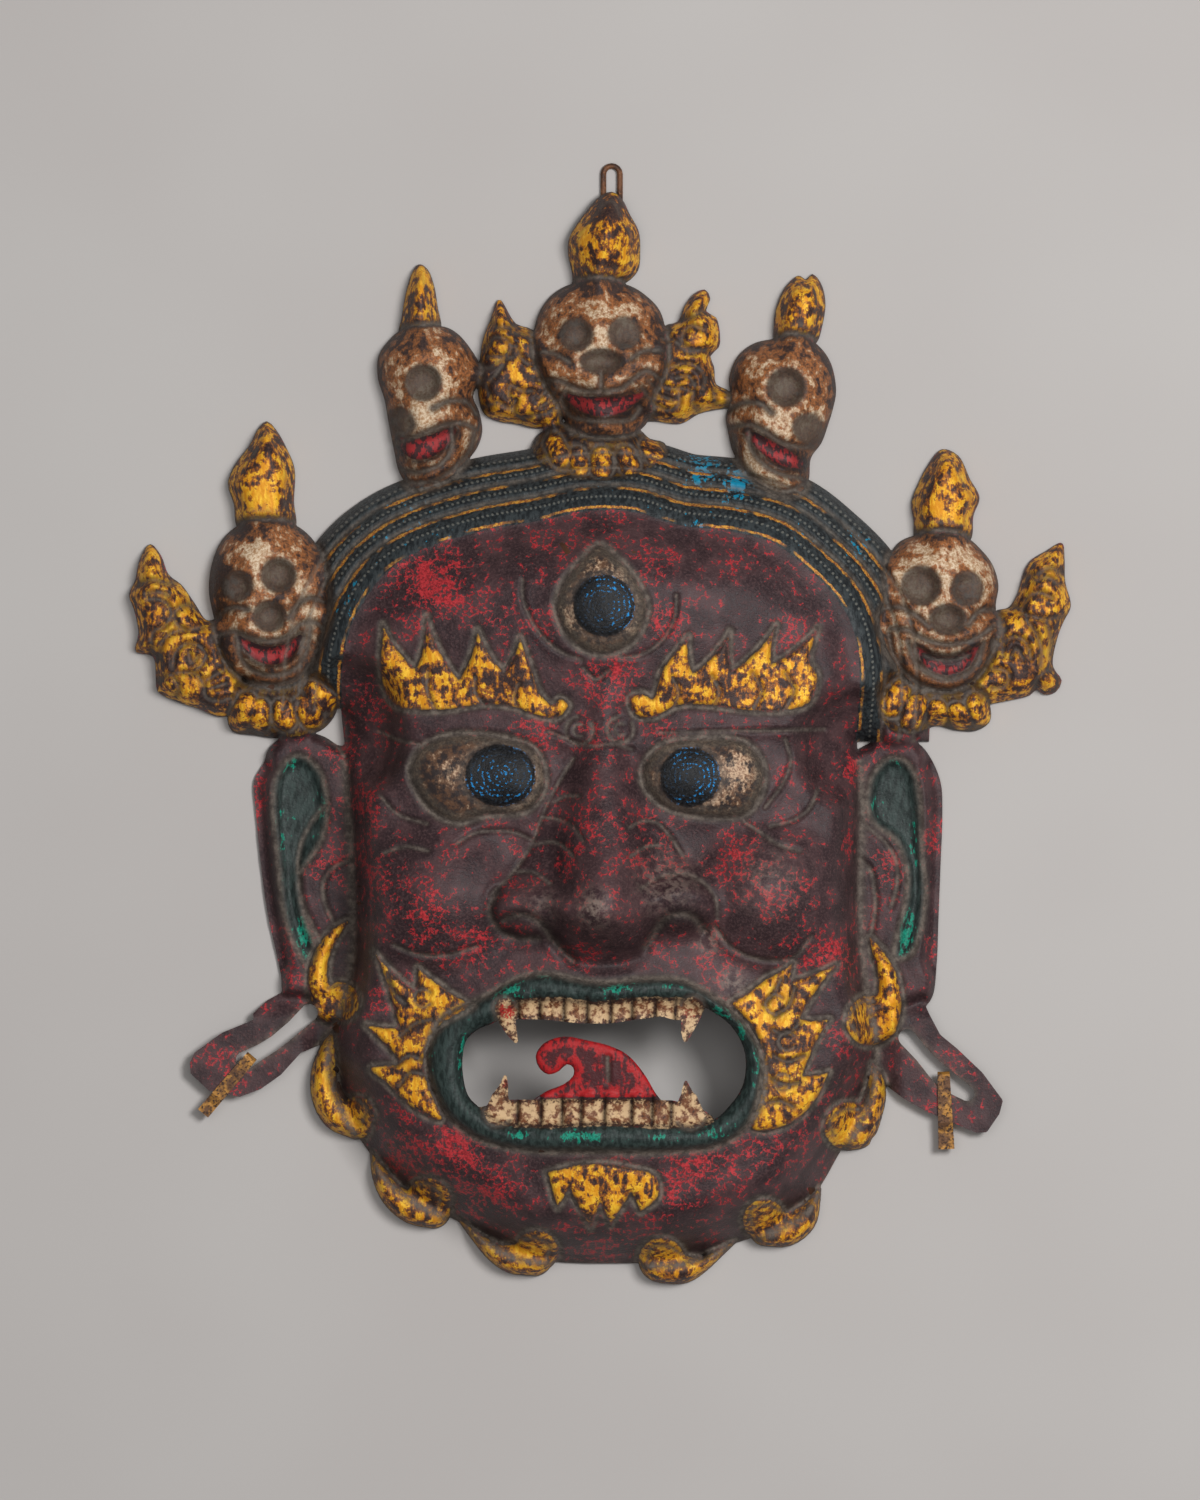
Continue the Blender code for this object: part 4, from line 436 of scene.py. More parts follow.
CURLS = (
    curl((-86.5, -92.5), 6.6, (-90.0, -94.0, 5.5), (-93.4, -88.0, 3.6), (-93.5, -80.0, 3.0),
         (-90.5, -73.0, 2.3), (-86.5, -68.0, 1.3), (-84.0, -66.0, 0.5)),
    curl((-80.5, -129.5), 5.6, (-81.0, -133.7, 5.0), (-87.5, -130.0, 5.6), (-91.5, -124.0, 4.7),
         (-92.0, -116.0, 4.3), (-91.0, -109.0, 2.8), (-89.5, -103.5, 0.8)),
    curl((-57.0, -158.5), 7.6, (-55.5, -162.5, 5.8), (-62.5, -161.4, 5.3), (-69.0, -157.2, 4.1),
         (-73.0, -151.0, 2.9), (-76.3, -143.5, 0.5)),
    curl((-21.0, -175.5), 7.3, (-22.0, -177.8, 6.4), (-29.0, -178.3, 5.0), (-35.0, -176.2, 3.3),
         (-40.5, -171.8, 1.9), (-47.0, -165.5, 0.4)),
    curl((20.5, -178.5), 7.8, (22.0, -180.5, 6.3), (28.0, -181.8, 4.7), (34.0, -180.2, 2.7),
         (39.0, -177.0, 1.6), (45.0, -172.8, 0.4)),
    curl((54.5, -165.0), 7.2, (55.5, -168.0, 6.2), (62.0, -168.5, 5.7), (67.5, -165.5, 4.6),
         (71.0, -160.5, 2.4), (73.3, -155.0, 0.5)),
    curl((90.0, -98.8), 8.5, (92.5, -98.5, 7.4), (96.0, -92.0, 4.4), (95.6, -84.0, 3.2),
         (93.0, -77.5, 2.2), (90.0, -71.5, 0.5)),
    curl((82.7, -134.0), 8.3, (85.0, -134.5, 7.5), (89.3, -130.5, 4.7), (91.8, -123.5, 3.6),
         (91.9, -118.0, 2.4), (90.8, -113.5, 0.5)),
)


class Skull:
    """One crown skull: outline of its head, sockets, nose, mouth, finial and neck collar."""

    def __init__(self, head, eyes, nose, grin, finial, petals, collar, base):
        self.head = smooth(*head)
        self.eyes = [round_spot(*eye) for eye in eyes]
        self.nose = round_spot(*nose)
        self.grin = Bar(spline(grin, False))
        self.finial = smooth(*finial)
        self.petals = [Bar(petal) for petal in petals]
        self.collar = smooth(*collar) if collar else None
        self.base = base


SKULLS = (
    Skull(
        head=((-9.0, 146.7), (-15.5, 143.3), (-20.0, 137.5), (-22.0, 130.5), (-21.0, 121.0), (-17.5, 112.5),
              (-13.5, 106.0), (-11.5, 100.5), (-6.0, 96.8), (1.0, 95.6), (8.5, 96.2), (14.0, 98.3),
              (17.0, 103.0), (17.5, 109.0), (21.3, 117.0), (22.0, 129.5), (20.0, 137.5), (15.5, 142.5),
              (10.0, 145.9), (0.0, 147.8)),
        eyes=((-8.0, 129.2, 5.0), (8.2, 129.7, 4.8)),
        nose=(0.5, 120.2, 6.6, 3.7),
        grin=((-11.5, 109.0, 1.6), (-5.0, 106.0, 3.4), (1.0, 105.2, 4.0), (7.0, 106.0, 3.4),
              (14.0, 109.5, 1.6)),
        finial=((-8.5, 144.0), (-9.3, 150.0), (-10.6, 156.0), (-10.5, 161.0), (-8.0, 166.0), (-4.0, 171.3),
                (0.0, 175.7), (4.0, 177.2), (7.3, 174.8), (10.0, 169.5), (12.9, 164.0), (13.4, 157.5),
                (12.6, 150.8), (7.3, 146.0), (0.0, 143.5)),
        petals=(((-15.5, 93.5, 2.4), (-13.0, 88.5, 2.6)), ((-7.5, 89.0, 2.2), (-6.5, 85.5, 2.4)),
                ((0.5, 88.5, 2.8), (0.5, 85.0, 3.0)), ((8.5, 89.0, 2.4), (10.0, 85.5, 2.6)),
                ((16.5, 92.5, 2.4), (18.5, 89.3, 2.6))),
        collar=((-22.8, 92.0), (-20.5, 87.5), (-14.5, 83.6), (-7.0, 82.0), (1.0, 81.6), (9.0, 82.4),
                (16.5, 85.0), (22.3, 90.2), (21.5, 93.6), (16.5, 95.0), (13.0, 98.0), (0.0, 99.0),
                (-12.0, 100.5), (-17.0, 98.5), (-20.5, 96.5)),
        base=13.0,
    ),
    Skull(
        head=((-66.5, 131.0), (-70.5, 127.5), (-73.8, 122.5), (-74.0, 115.0), (-71.8, 108.0), (-70.6, 101.0),
              (-68.8, 92.0), (-66.8, 83.5), (-63.0, 78.6), (-57.0, 78.4), (-51.0, 81.0), (-45.5, 86.3),
              (-41.0, 91.8), (-39.2, 97.5), (-40.3, 104.0), (-42.3, 109.0), (-40.7, 113.5), (-40.2, 119.5),
              (-42.5, 124.0), (-47.5, 130.0), (-52.0, 132.3), (-60.0, 132.0)),
        eyes=((-58.8, 113.3, 5.5),),
        nose=(-66.5, 100.0, 4.0, 4.6, 30.0),
        grin=((-66.0, 94.0, 2.2), (-61.5, 91.3, 4.2), (-55.5, 92.8, 4.2), (-49.5, 97.0, 2.4)),
        finial=((-66.8, 128.5), (-66.0, 136.0), (-64.6, 144.0), (-62.5, 150.5), (-60.3, 153.2),
                (-57.5, 151.5), (-55.3, 146.0), (-54.2, 139.5), (-53.4, 130.0)),
        petals=(),
        collar=None,
        base=9.0,
    ),
    Skull(
        head=((58.5, 128.3), (51.5, 126.8), (46.0, 122.5), (43.0, 115.0), (43.6, 108.0), (41.9, 102.5),
              (42.8, 96.5), (44.5, 90.0), (49.5, 83.0), (55.5, 78.3), (61.5, 76.1), (66.5, 76.5),
              (69.5, 81.0), (70.3, 88.5), (73.8, 93.5), (76.0, 99.5), (77.8, 105.5), (78.7, 111.0),
              (77.0, 120.0), (73.5, 125.3), (69.5, 128.3), (64.0, 129.3)),
        eyes=((62.0, 111.8, 5.9),),
        nose=(69.5, 98.0, 5.0, 4.4, -25.0),
        grin=((49.5, 96.5, 1.8), (55.0, 92.3, 3.4), (61.0, 88.6, 3.8), (66.0, 86.5, 2.6)),
        finial=((58.7, 126.0), (57.9, 133.0), (59.0, 139.5), (61.8, 145.5), (66.4, 149.4), (68.6, 147.9),
                (70.8, 149.9), (73.5, 147.0), (75.1, 141.0), (74.4, 134.0), (71.3, 126.0)),
        petals=(),
        collar=None,
        base=9.0,
    ),
    Skull(
        head=((-119.0, 66.8), (-125.7, 61.5), (-129.4, 53.0), (-130.3, 44.0), (-128.6, 35.0), (-126.3, 26.0),
              (-122.0, 18.0), (-116.0, 13.3), (-109.5, 12.2), (-102.0, 13.3), (-96.0, 19.0), (-92.6, 28.0),
              (-90.3, 37.0), (-91.0, 47.0), (-92.5, 55.5), (-96.7, 62.5), (-103.0, 66.8), (-111.0, 67.5)),
        eyes=((-120.6, 45.7, 4.6), (-106.8, 49.3, 5.2)),
        nose=(-109.8, 35.7, 5.0, 4.6),
        grin=((-120.0, 28.5, 1.4), (-114.5, 24.0, 3.2), (-109.0, 22.5, 3.8), (-103.5, 24.5, 3.2),
              (-99.5, 29.0, 1.4)),
        finial=((-120.3, 64.5), (-122.0, 73.0), (-124.0, 80.0), (-121.8, 86.0), (-117.0, 92.5),
                (-113.5, 98.8), (-111.0, 100.8), (-108.0, 98.0), (-104.3, 91.5), (-101.8, 85.0),
                (-102.0, 74.0),
                (-101.9, 64.5)),
        petals=(((-117.3, 7.0, 2.7), (-120.5, 0.8, 3.0)), ((-112.7, 5.5, 2.1), (-113.4, 0.0, 2.4)),
                ((-105.5, 4.8, 2.8), (-104.8, 1.3, 3.0)), ((-98.8, 6.2, 2.6), (-95.8, 1.8, 3.0)),
                ((-95.3, 11.0, 2.6), (-91.2, 7.3, 3.0))),
        collar=((-119.5, 14.5), (-122.5, 8.5), (-124.2, 1.5), (-122.6, -2.6), (-115.0, -4.0), (-108.0, -4.9),
                (-100.0, -4.3), (-92.5, -2.0), (-88.0, 3.5), (-87.6, 9.5), (-90.5, 14.2), (-95.5, 17.0),
                (-104.0, 13.0), (-112.0, 12.5)),
        base=9.5,
    ),
    Skull(
        head=((105.8, 63.0), (99.5, 60.3), (96.0, 54.5), (95.2, 47.0), (95.6, 41.0), (92.6, 35.0),
              (94.5, 27.0), (98.5, 19.0), (104.0, 13.3), (111.5, 11.2), (118.5, 11.5), (125.0, 15.5),
              (129.5, 22.5), (132.3, 31.0), (131.9, 39.5), (132.8, 46.0), (130.8, 53.0), (126.5, 58.5),
              (122.5, 61.8), (114.5, 63.6)),
        eyes=((106.7, 45.8, 6.0), (122.0, 44.8, 4.8, 5.2)),
        nose=(115.7, 34.5, 5.8, 4.6),
        grin=((105.5, 25.0, 1.4), (110.0, 20.5, 3.2), (115.5, 19.0, 3.8), (121.0, 20.8, 3.2),
              (125.5, 25.5, 1.4)),
        finial=((105.6, 60.5), (104.5, 68.0), (103.7, 73.5), (106.3, 80.5), (110.0, 87.3), (114.0, 91.5),
                (119.4, 89.3), (123.3, 81.5), (126.5, 75.3), (124.5, 69.5), (123.0, 60.5)),
        petals=(((100.0, 11.0, 2.8), (97.0, 6.0, 3.2)), ((105.5, 6.3, 3.0), (103.4, 1.5, 3.2)),
                ((112.0, 4.8, 2.6), (112.3, 2.0, 2.8)), ((118.8, 3.8, 2.6), (120.3, 1.0, 2.8)),
                ((125.3, 7.0, 2.7), (127.3, 2.8, 3.0))),
        collar=((93.6, 13.0), (92.8, 6.0), (94.5, 0.0), (100.0, -3.4), (106.5, -2.7), (112.0, -0.8),
                (118.5, -2.3), (125.3, -2.4), (129.8, 0.4), (130.2, 5.0), (127.8, 12.0), (120.0, 14.0),
                (108.0, 14.5), (98.5, 18.0)),
        base=9.5,
    ),
)

WINGS = (
    smooth((-33.6, 141.4), (-36.4, 135.0), (-39.0, 128.0), (-40.2, 120.0), (-40.6, 109.0), (-38.5, 103.0),
           (-33.5, 100.6), (-27.5, 99.7), (-21.5, 98.3), (-13.0, 100.0), (-14.0, 112.0), (-19.0, 126.0),
           (-22.5, 131.3), (-28.0, 133.3)),
    smooth((35.0, 144.7), (31.3, 143.2), (28.0, 138.8), (26.0, 134.0), (21.5, 132.5), (18.0, 126.0),
           (16.0, 112.0), (13.0, 101.5), (19.5, 100.6), (27.0, 99.9), (33.0, 103.2), (39.0, 104.6),
           (43.8, 105.5), (45.0, 108.5), (42.0, 111.5), (38.8, 113.0), (38.0, 119.0), (36.8, 122.5),
           (39.7, 125.5), (40.0, 129.0), (38.7, 135.3), (35.3, 137.5), (36.8, 141.5)),
    smooth((-149.9, 59.9), (-153.3, 55.0), (-155.0, 47.5), (-157.0, 43.0), (-155.3, 38.0), (-153.8, 30.0),
           (-154.8, 24.0), (-149.0, 22.3), (-148.0, 14.5), (-147.5, 10.8), (-141.0, 7.3), (-134.0, 5.0),
           (-126.5, 2.2), (-119.0, 5.0), (-120.0, 20.0), (-125.0, 35.5), (-130.8, 34.3), (-135.0, 40.0),
           (-139.5, 46.3), (-143.8, 49.7), (-146.3, 56.0)),
    smooth((154.0, 60.3), (148.5, 57.5), (143.3, 54.2), (141.2, 50.5), (139.2, 43.5), (136.3, 38.8),
           (131.5, 37.5), (124.0, 30.0), (122.0, 15.0), (124.0, 5.0), (130.5, 6.5), (137.5, 7.9),
           (143.3, 9.4), (145.5, 11.3), (148.0, 9.6), (151.8, 10.4), (153.9, 14.3), (151.0, 19.0),
           (152.3, 28.0), (154.5, 34.0), (156.9, 39.0), (155.0, 47.5), (154.8, 55.0)),
)

LEFT_BROW = flames(
    tips=((-72.0, 32.8), (-57.5, 35.5), (-40.5, 31.0), (-26.5, 28.5)),
    roots=((-61.0, 18.0), (-46.7, 14.5), (-31.8, 17.0)),
    foot=((-23.0, 19.0), (-19.5, 9.5), (-15.5, 6.2), (-13.3, 8.3), (-10.3, 6.0), (-14.0, 1.9), (-22.0, 3.0),
          (-28.0, 5.3), (-38.0, 6.3), (-50.0, 4.6), (-60.0, 4.5), (-68.0, 6.0), (-72.4, 14.0)),
    bow=-0.06,
)
RIGHT_BROW = flames(
    tips=((29.3, 29.0), (43.0, 30.5), (58.5, 32.5), (72.3, 31.8)),
    roots=((30.7, 16.5), (43.8, 17.5), (57.0, 19.7)),
    foot=((69.5, 21.0), (72.2, 15.5), (69.0, 6.5), (60.0, 4.2), (50.0, 4.2), (37.0, 5.8), (26.0, 6.0),
          (17.5, 2.0), (11.5, 3.0), (10.0, 8.5), (14.5, 10.0), (17.3, 8.0), (20.5, 17.5)),
    bow=-0.06,
)
LEFT_CHEEK_FLAME = flames(
    tips=((-78.0, -99.8), (-75.0, -75.5), (-60.3, -80.8), (-42.0, -93.5)),
    roots=((-66.5, -100.8), (-61.0, -89.0), (-53.0, -86.5)),
    foot=((-54.0, -101.0), (-58.3, -110.0), (-57.3, -119.0), (-52.5, -131.3), (-61.0, -128.0),
          (-70.5, -119.5), (-76.3, -114.2), (-67.0, -112.3)),
    bow=-0.03,
)
RIGHT_CHEEK_FLAME = flames(
    tips=((43.0, -92.5), (64.0, -79.3), (78.5, -79.8), (76.0, -98.0), (76.0, -115.5)),
    roots=((55.0, -84.4), (63.0, -85.3), (66.0, -98.0), (67.0, -116.8)),
    foot=((72.0, -124.0), (65.5, -131.0), (58.0, -134.3), (50.5, -134.3), (53.0, -124.0), (54.3, -113.0),
          (51.0, -101.5)),
    bow=-0.03,
)
GOATEE = flames(
    tips=((-17.5, -148.6), (-14.0, -160.5), (-3.0, -167.5), (3.5, -166.5), (13.5, -162.0)),
    roots=((-15.8, -155.5), (-10.2, -154.3), (0.0, -158.6), (10.3, -155.2)),
    foot=((19.4, -156.5), (18.5, -150.0), (10.0, -147.0), (0.0, -145.6), (-10.0, -146.6)),
    bow=0.0,
)

LEFT_EYE = smooth(
    (-63.2, -15.5), (-60.5, -9.0), (-55.0, -5.3), (-46.0, -3.3), (-30.0, -5.0), (-22.0, -8.0),
    (-18.3, -14.5),
    (-18.8, -23.5), (-24.0, -29.0), (-38.0, -30.6), (-47.0, -33.0), (-54.5, -30.0), (-60.0, -23.8),
)
RIGHT_EYE = smooth(
    (13.6, -18.0), (15.8, -11.0), (22.0, -6.3), (35.0, -4.6), (46.5, -5.5), (52.8, -10.5), (54.8, -18.0),
    (52.5, -25.5), (47.8, -30.5), (40.0, -31.2), (27.0, -29.8), (18.8, -26.0),
)
THIRD_EYE = smooth(
    (-0.3, 59.3), (-7.0, 53.5), (-12.8, 46.0), (-14.8, 38.5), (-11.5, 29.5), (-5.0, 24.0), (1.5, 22.8),
    (8.0, 24.5), (13.5, 30.0), (16.0, 38.5), (13.0, 46.5), (6.5, 54.5),
)
FLAMES = (LEFT_BROW, RIGHT_BROW, LEFT_CHEEK_FLAME, RIGHT_CHEEK_FLAME, GOATEE)
EYES = (LEFT_EYE, RIGHT_EYE, THIRD_EYE)
BROW_ROLLS = (
    Bar(spline(((-76.0, -1.0, 1.0), (-60.0, 1.0, 2.4), (-40.0, 2.2, 2.6), (-24.0, -0.3, 2.6),
                (-13.5, -4.5, 2.4)), False)),
    Bar(spline(((75.0, -1.5, 1.0), (60.0, 0.6, 2.4), (40.0, 0.6, 2.8), (24.0, -1.5, 2.8),
                (13.0, -6.5, 2.6)), False)),
)
NOSE_LEVELS = (10.0, -5.0, -20.0, -40.0, -56.0, -64.0, -71.0, -77.5)
NOSE_FLANK_WIDE = (4.0, 8.0, 14.5, 24.0, 36.0, 38.0, 30.0, 20.0)
NOSE_FLANK_HIGH = (0.0, 3.0, 5.0, 8.0, 10.0, 9.0, 4.0, 0.0)
NOSE_RIDGE_WIDE = (4.0, 7.0, 11.0, 15.0, 17.0, 18.0, 17.0, 14.0)
NOSE_RIDGE_HIGH = (0.0, 3.5, 7.0, 12.0, 19.0, 20.5, 13.0, 0.0)

OUTLINE = (FACE, LEFT_EAR, RIGHT_EAR, LEFT_LOBE, RIGHT_LOBE, *CURLS, *WINGS,
           *(shape for skull in SKULLS for shape in (skull.head, skull.finial, skull.collar) if shape))


def ease(u):
    u = np.clip(u, 0, 1)
    return u * u * (3 - 2 * u)


def rounded(u):
    """Quarter-round edge: 0 at the edge, 1 from u = 1 on."""
    u = np.clip(u, 0, 1)
    return np.sqrt(1 - (1 - u) ** 2)


def lay(z, gap, top, edge=2.0):
    """Height z with the shape of this gap laid over it at height top."""
    return z + (top - z) * ease(0.5 - gap / edge)


def swell(x, y, cx, cy, wide, high, lift, power=1.6):
    """A soft oval rise on the sheet."""
    q = ((x - cx) / wide) ** 2 + ((y - cy) / high) ** 2
    return lift * np.clip(1 - q, 0, 1) ** power


def hair_gap(x, y):
    """Distance outside the hair bands, negative on them."""
    out = ARCH_SPAN.gap(x, y, HAIR_REACH)
    foot = np.where(x < 0, HAIR_LEFT_FOOT, HAIR_RIGHT_FOOT)
    return np.maximum(out - HAIR_SPREAD, foot - y)


def mouth_gap(x, y):
    """Distance outside the open mouth, negative in it."""
    inside = GUMS.gap(x, y)
    for shape in (UPPER_TEETH, LOWER_TEETH, TONGUE, *FANGS):
        inside = np.maximum(inside, -shape.gap(x, y))
    return inside


def sheet_gap(x, y):
    """Distance outside the sheet metal, negative on it."""
    out = hair_gap(x, y)
    for shape in OUTLINE:
        out = np.minimum(out, shape.gap(x, y))
    for hole in (mouth_gap(x, y), LEFT_SLOT.gap(x, y), RIGHT_SLOT.gap(x, y)):
        out = np.maximum(out, -hole)
    return out


def lattice(step):
    """Points of a lattice of equal triangles over the whole mask, as rows of x and of y."""
    xs = np.arange(*LATTICE_X, step)
    ys = np.arange(*LATTICE_Y, step * math.sqrt(3) / 2)
    gx, gy = np.meshgrid(xs, ys)
    return gx + (np.arange(len(ys)) % 2)[:, None] * step / 2, gy


def lattice_triangles(rows, columns):
    """Triangles between the points of a lattice whose every second row is shifted."""
    index = np.arange(rows * columns).reshape(rows, columns)
    a, b, c, d = index[:-1, :-1], index[:-1, 1:], index[1:, :-1], index[1:, 1:]
    odd = (np.arange(rows - 1) % 2 == 1)[:, None] & np.ones(a.shape, bool)
    first = np.where(odd[..., None], np.stack([a, b, d], -1), np.stack([a, b, c], -1))
    second = np.where(odd[..., None], np.stack([a, d, c], -1), np.stack([b, d, c], -1))
    return np.concatenate([first.reshape(-1, 3), second.reshape(-1, 3)])


def drawn_to_outline(x, y, step):
    """Moves the points by the outline onto it, and returns the distance of every point to it."""
    gap = sheet_gap(x, y)
    snapped = np.abs(gap) < SNAP_SHARE * step
    for _ in range(2):
        near = np.abs(gap) < SNAP_SHARE * step
        nx, ny = x[near], y[near]
        slope_x = (sheet_gap(nx + SLOPE_STEP, ny) - sheet_gap(nx - SLOPE_STEP, ny)) / (2 * SLOPE_STEP)
        slope_y = (sheet_gap(nx, ny + SLOPE_STEP) - sheet_gap(nx, ny - SLOPE_STEP)) / (2 * SLOPE_STEP)
        size = np.maximum(slope_x**2 + slope_y**2, 0.25)
        x[near] = nx - gap[near] * slope_x / size
        y[near] = ny - gap[near] * slope_y / size
        gap[near] = sheet_gap(x[near], y[near])
    gap[snapped] = 0.0
    return gap


def clipped(x, y, gap, triangles):
    """Points and triangles without what lies outside the outline, where the gap is positive."""
    side = np.sign(gap)
    triangles = triangles[(side[triangles] < 0).any(axis=1)]
    points = list(zip(x, y))
    cuts = {}

    def cut(i, j):
        key = (min(i, j), max(i, j))
        if key not in cuts:
            t = gap[i] / (gap[i] - gap[j])
            cuts[key] = len(points)
            points.append((x[i] + (x[j] - x[i]) * t, y[i] + (y[j] - y[i]) * t))
        return cuts[key]

    kept = []
    for triangle in triangles:
        corners = []
        for i, j in zip(triangle, np.roll(triangle, -1)):
            if side[i] <= 0:
                corners.append(int(i))
            if side[i] * side[j] < 0:
                corners.append(cut(i, j))
        for k in range(1, len(corners) - 1):
            kept.append((corners[0], corners[k], corners[k + 1]))
    points = np.array(points)
    kept = np.array(kept)
    used = np.unique(kept)
    lookup = np.full(len(points), -1)
    lookup[used] = np.arange(len(used))
    return points[used], lookup[kept]


def flat_mesh(step):
    """Points and triangles of the sheet seen from the front."""
    gx, gy = lattice(step)
    x, y = gx.ravel(), gy.ravel()
    gap = drawn_to_outline(x, y, step)
    return clipped(x, y, gap, lattice_triangles(*gx.shape))


def rim_edges(triangles):
    """Edges of only one triangle, in the direction that they have in it."""
    edges = np.concatenate([triangles[:, (0, 1)], triangles[:, (1, 2)], triangles[:, (2, 0)]])
    key = np.sort(edges, axis=1)
    _, where, count = np.unique(key, axis=0, return_index=True, return_counts=True)
    return edges[where[count == 1]]


def search_tree(spots):
    """A search tree over flat points."""
    tree = KDTree(len(spots))
    for i, (x, y) in enumerate(spots):
        tree.insert((x, y, 0.0), i)
    tree.balance()
    return tree


def outer_rim(points, triangles):
    """A search tree over the rim of the sheet, without the mouth and the lobe slots."""
    edges = rim_edges(triangles)
    middle = (points[edges[:, 0]] + points[edges[:, 1]]) / 2
    x, y = middle[:, 0], middle[:, 1]
    inner = (GUMS.gap(x, y) < 1.0) | (LEFT_SLOT.gap(x, y) < 0.8) | (RIGHT_SLOT.gap(x, y) < 0.8)
    return search_tree(np.concatenate([middle[~inner], points[edges[~inner, 0]]]))


def face_height(x, y, gap):
    """The face: a plateau with steep sides, brow, cheeks, muzzle, nose and eyes."""
    foot = EAR_PLATE + (HAIR_INNER - 1.5 - EAR_PLATE) * ease((y + 2) / 34)
    foot = foot + (SHEET - foot) * ease((-100 - y) / 25)
    side = 7.5 + 14 * ease((y - 8) / 40) + 12 * ease((-98 - y) / 30)
    top = FACE_TOP - 6 * (x / 80) ** 2 - 3 * ((y + 40) / 110) ** 2
    for rise in (FOREHEAD_SWELL, MUZZLE_SWELL, *CHEEK_SWELLS):
        top += swell(x, y, *rise)
    across = np.abs(x - 1.0)
    levels = [-level for level in NOSE_LEVELS]
    for wides, highs in ((NOSE_FLANK_WIDE, NOSE_FLANK_HIGH), (NOSE_RIDGE_WIDE, NOSE_RIDGE_HIGH)):
        wide = np.interp(-y, levels, wides)
        top += np.interp(-y, levels, highs) * np.clip(1 - (across / wide) ** 2, 0, 1)
    for rise in NOSTRIL_SWELLS:
        top += swell(x, y, *rise)
    for eye, lift in zip(EYES, EYE_LIFTS):
        near = eye.gap(x, y)
        top += lift * rounded(-near / 13.0) + 1.4 * np.exp(-(((near - 1.8) / 1.8) ** 2))
    for roll in BROW_ROLLS:
        top += 2.4 * np.exp(-((np.maximum(roll.gap(x, y), 0) / 2.2) ** 2))
    for rise in NOSE_ROOT_SWELLS:
        top += swell(x, y, *rise)
    for flame in FLAMES:
        top += FLAME_RISE * ease(0.5 - flame.gap(x, y) / 2.0)
    rim = np.maximum(-MOUTH_RIM.gap(x, y), 0)
    gums = np.maximum(GUMS.gap(x, y), 0)
    across_lip = rim / np.maximum(rim + gums, 1e-6)
    top += LIP_RISE * np.sqrt(np.clip(4 * across_lip * (1 - across_lip), 0, 1))
    top -= GUM_DEPTH * ease(-GUMS.gap(x, y) / 1.5)
    return foot + (top - foot) * np.sin(np.clip(-gap / side, 0, 1) * math.pi / 2)


def hair_height(x, y):
    """Four rolled bands that step down from the face to the outer edge."""
    out = ARCH_SPAN.gap(x, y, HAIR_REACH)
    z = HAIR_INNER + (HAIR_OUTER - HAIR_INNER) * np.clip(out / HAIR_SPREAD, 0, 1)
    for near, far in zip(HAIR_LINES[:-1], HAIR_LINES[1:]):
        u = np.clip((out - near) / (far - near), 0, 1)
        z += BAND_RISE * np.sin(u * math.pi)
    return z


def skull_height(skull, x, y, z):
    """Height z with a skull, its finial and its neck collar raised on it and its sockets sunk."""
    gap = skull.finial.gap(x, y)
    z = lay(z, gap, skull.base - 2.0 + FINIAL_SWELL * rounded(-gap / 9))
    gap = skull.head.gap(x, y)
    z = lay(z, gap, skull.base + HEAD_SWELL * rounded(-gap / 12))
    if skull.collar:
        z = lay(z, np.maximum(skull.collar.gap(x, y), -gap), skull.base + COLLAR_RISE)
        for petal in skull.petals:
            z += PETAL_RISE * rounded(-petal.gap(x, y) / 2.5)
    for hollow in (*skull.eyes, skull.nose, skull.grin):
        z -= SOCKET_DEPTH * ease(0.25 - hollow.gap(x, y) / 2.4)
    return z


def front_height(x, y, rim):
    """Height of the front of the sheet, from the place on it and the distance to its outer rim."""
    z = np.full(x.shape, EAR_PLATE)
    for ear, concha in ((LEFT_EAR, LEFT_CONCHA), (RIGHT_EAR, RIGHT_CONCHA)):
        z = lay(z, ear.gap(x, y), EAR_PLATE + 1.5)
        z -= CONCHA_DEPTH * ease(-concha.gap(x, y) / 2.5)
    for lobe in (LEFT_LOBE, RIGHT_LOBE):
        z = lay(z, np.maximum(lobe.gap(x, y) - 1.5, y + 90), SHEET)
    z = lay(z, hair_gap(x, y), hair_height(x, y))
    face = FACE.gap(x, y)
    z = lay(z, face + 0.6, np.maximum(face_height(x, y, face + 0.6), z * (y > 0)), 1.2)
    for shape in CURLS:
        gap = shape.gap(x, y)
        base = np.maximum(z, EAR_PLATE - 1)
        z = lay(z, gap, base + CURL_RISE * rounded(-gap / 6), 1.4)
    for shape in WINGS:
        gap = shape.gap(x, y)
        z = lay(z, gap, CROWN_PLATE + WING_RISE * rounded(-gap / 9))
    for skull in SKULLS:
        z = skull_height(skull, x, y, z)
    ear_rim = ease((np.abs(x) - 92) / 6) * ease((-10 - y) / 6) * ease((y + 86) / 8)
    flat = 0.3 + (EAR_RIM_FLAT - 0.3) * ear_rim
    low = 5.2 + 2.8 * ease((110 - np.abs(x)) / 40) * ease((-40 - y) / 60)
    edge = low * np.sqrt(np.maximum(rim - flat, 0)) * (1 + 1.6 * ease((rim - 12) / 22))
    z = np.minimum(z, SHEET + edge)
    z = np.maximum(z, SHEET)
    z += LOBE_LIFT * ease((np.abs(x) - 93) / 8) * ease((-90 - y) / 9)
    z += FINIAL_LIFT * ease((y - 152) / 12)
    return z


def rim_distance(tree, x, y):
    """Distance of each point to the nearest spot of the tree."""
    return np.array([tree.find((px, py, 0.0))[2] for px, py in zip(x, y)])


# Chased lines, as points from end to end; spirals and rings have x, y and a radius

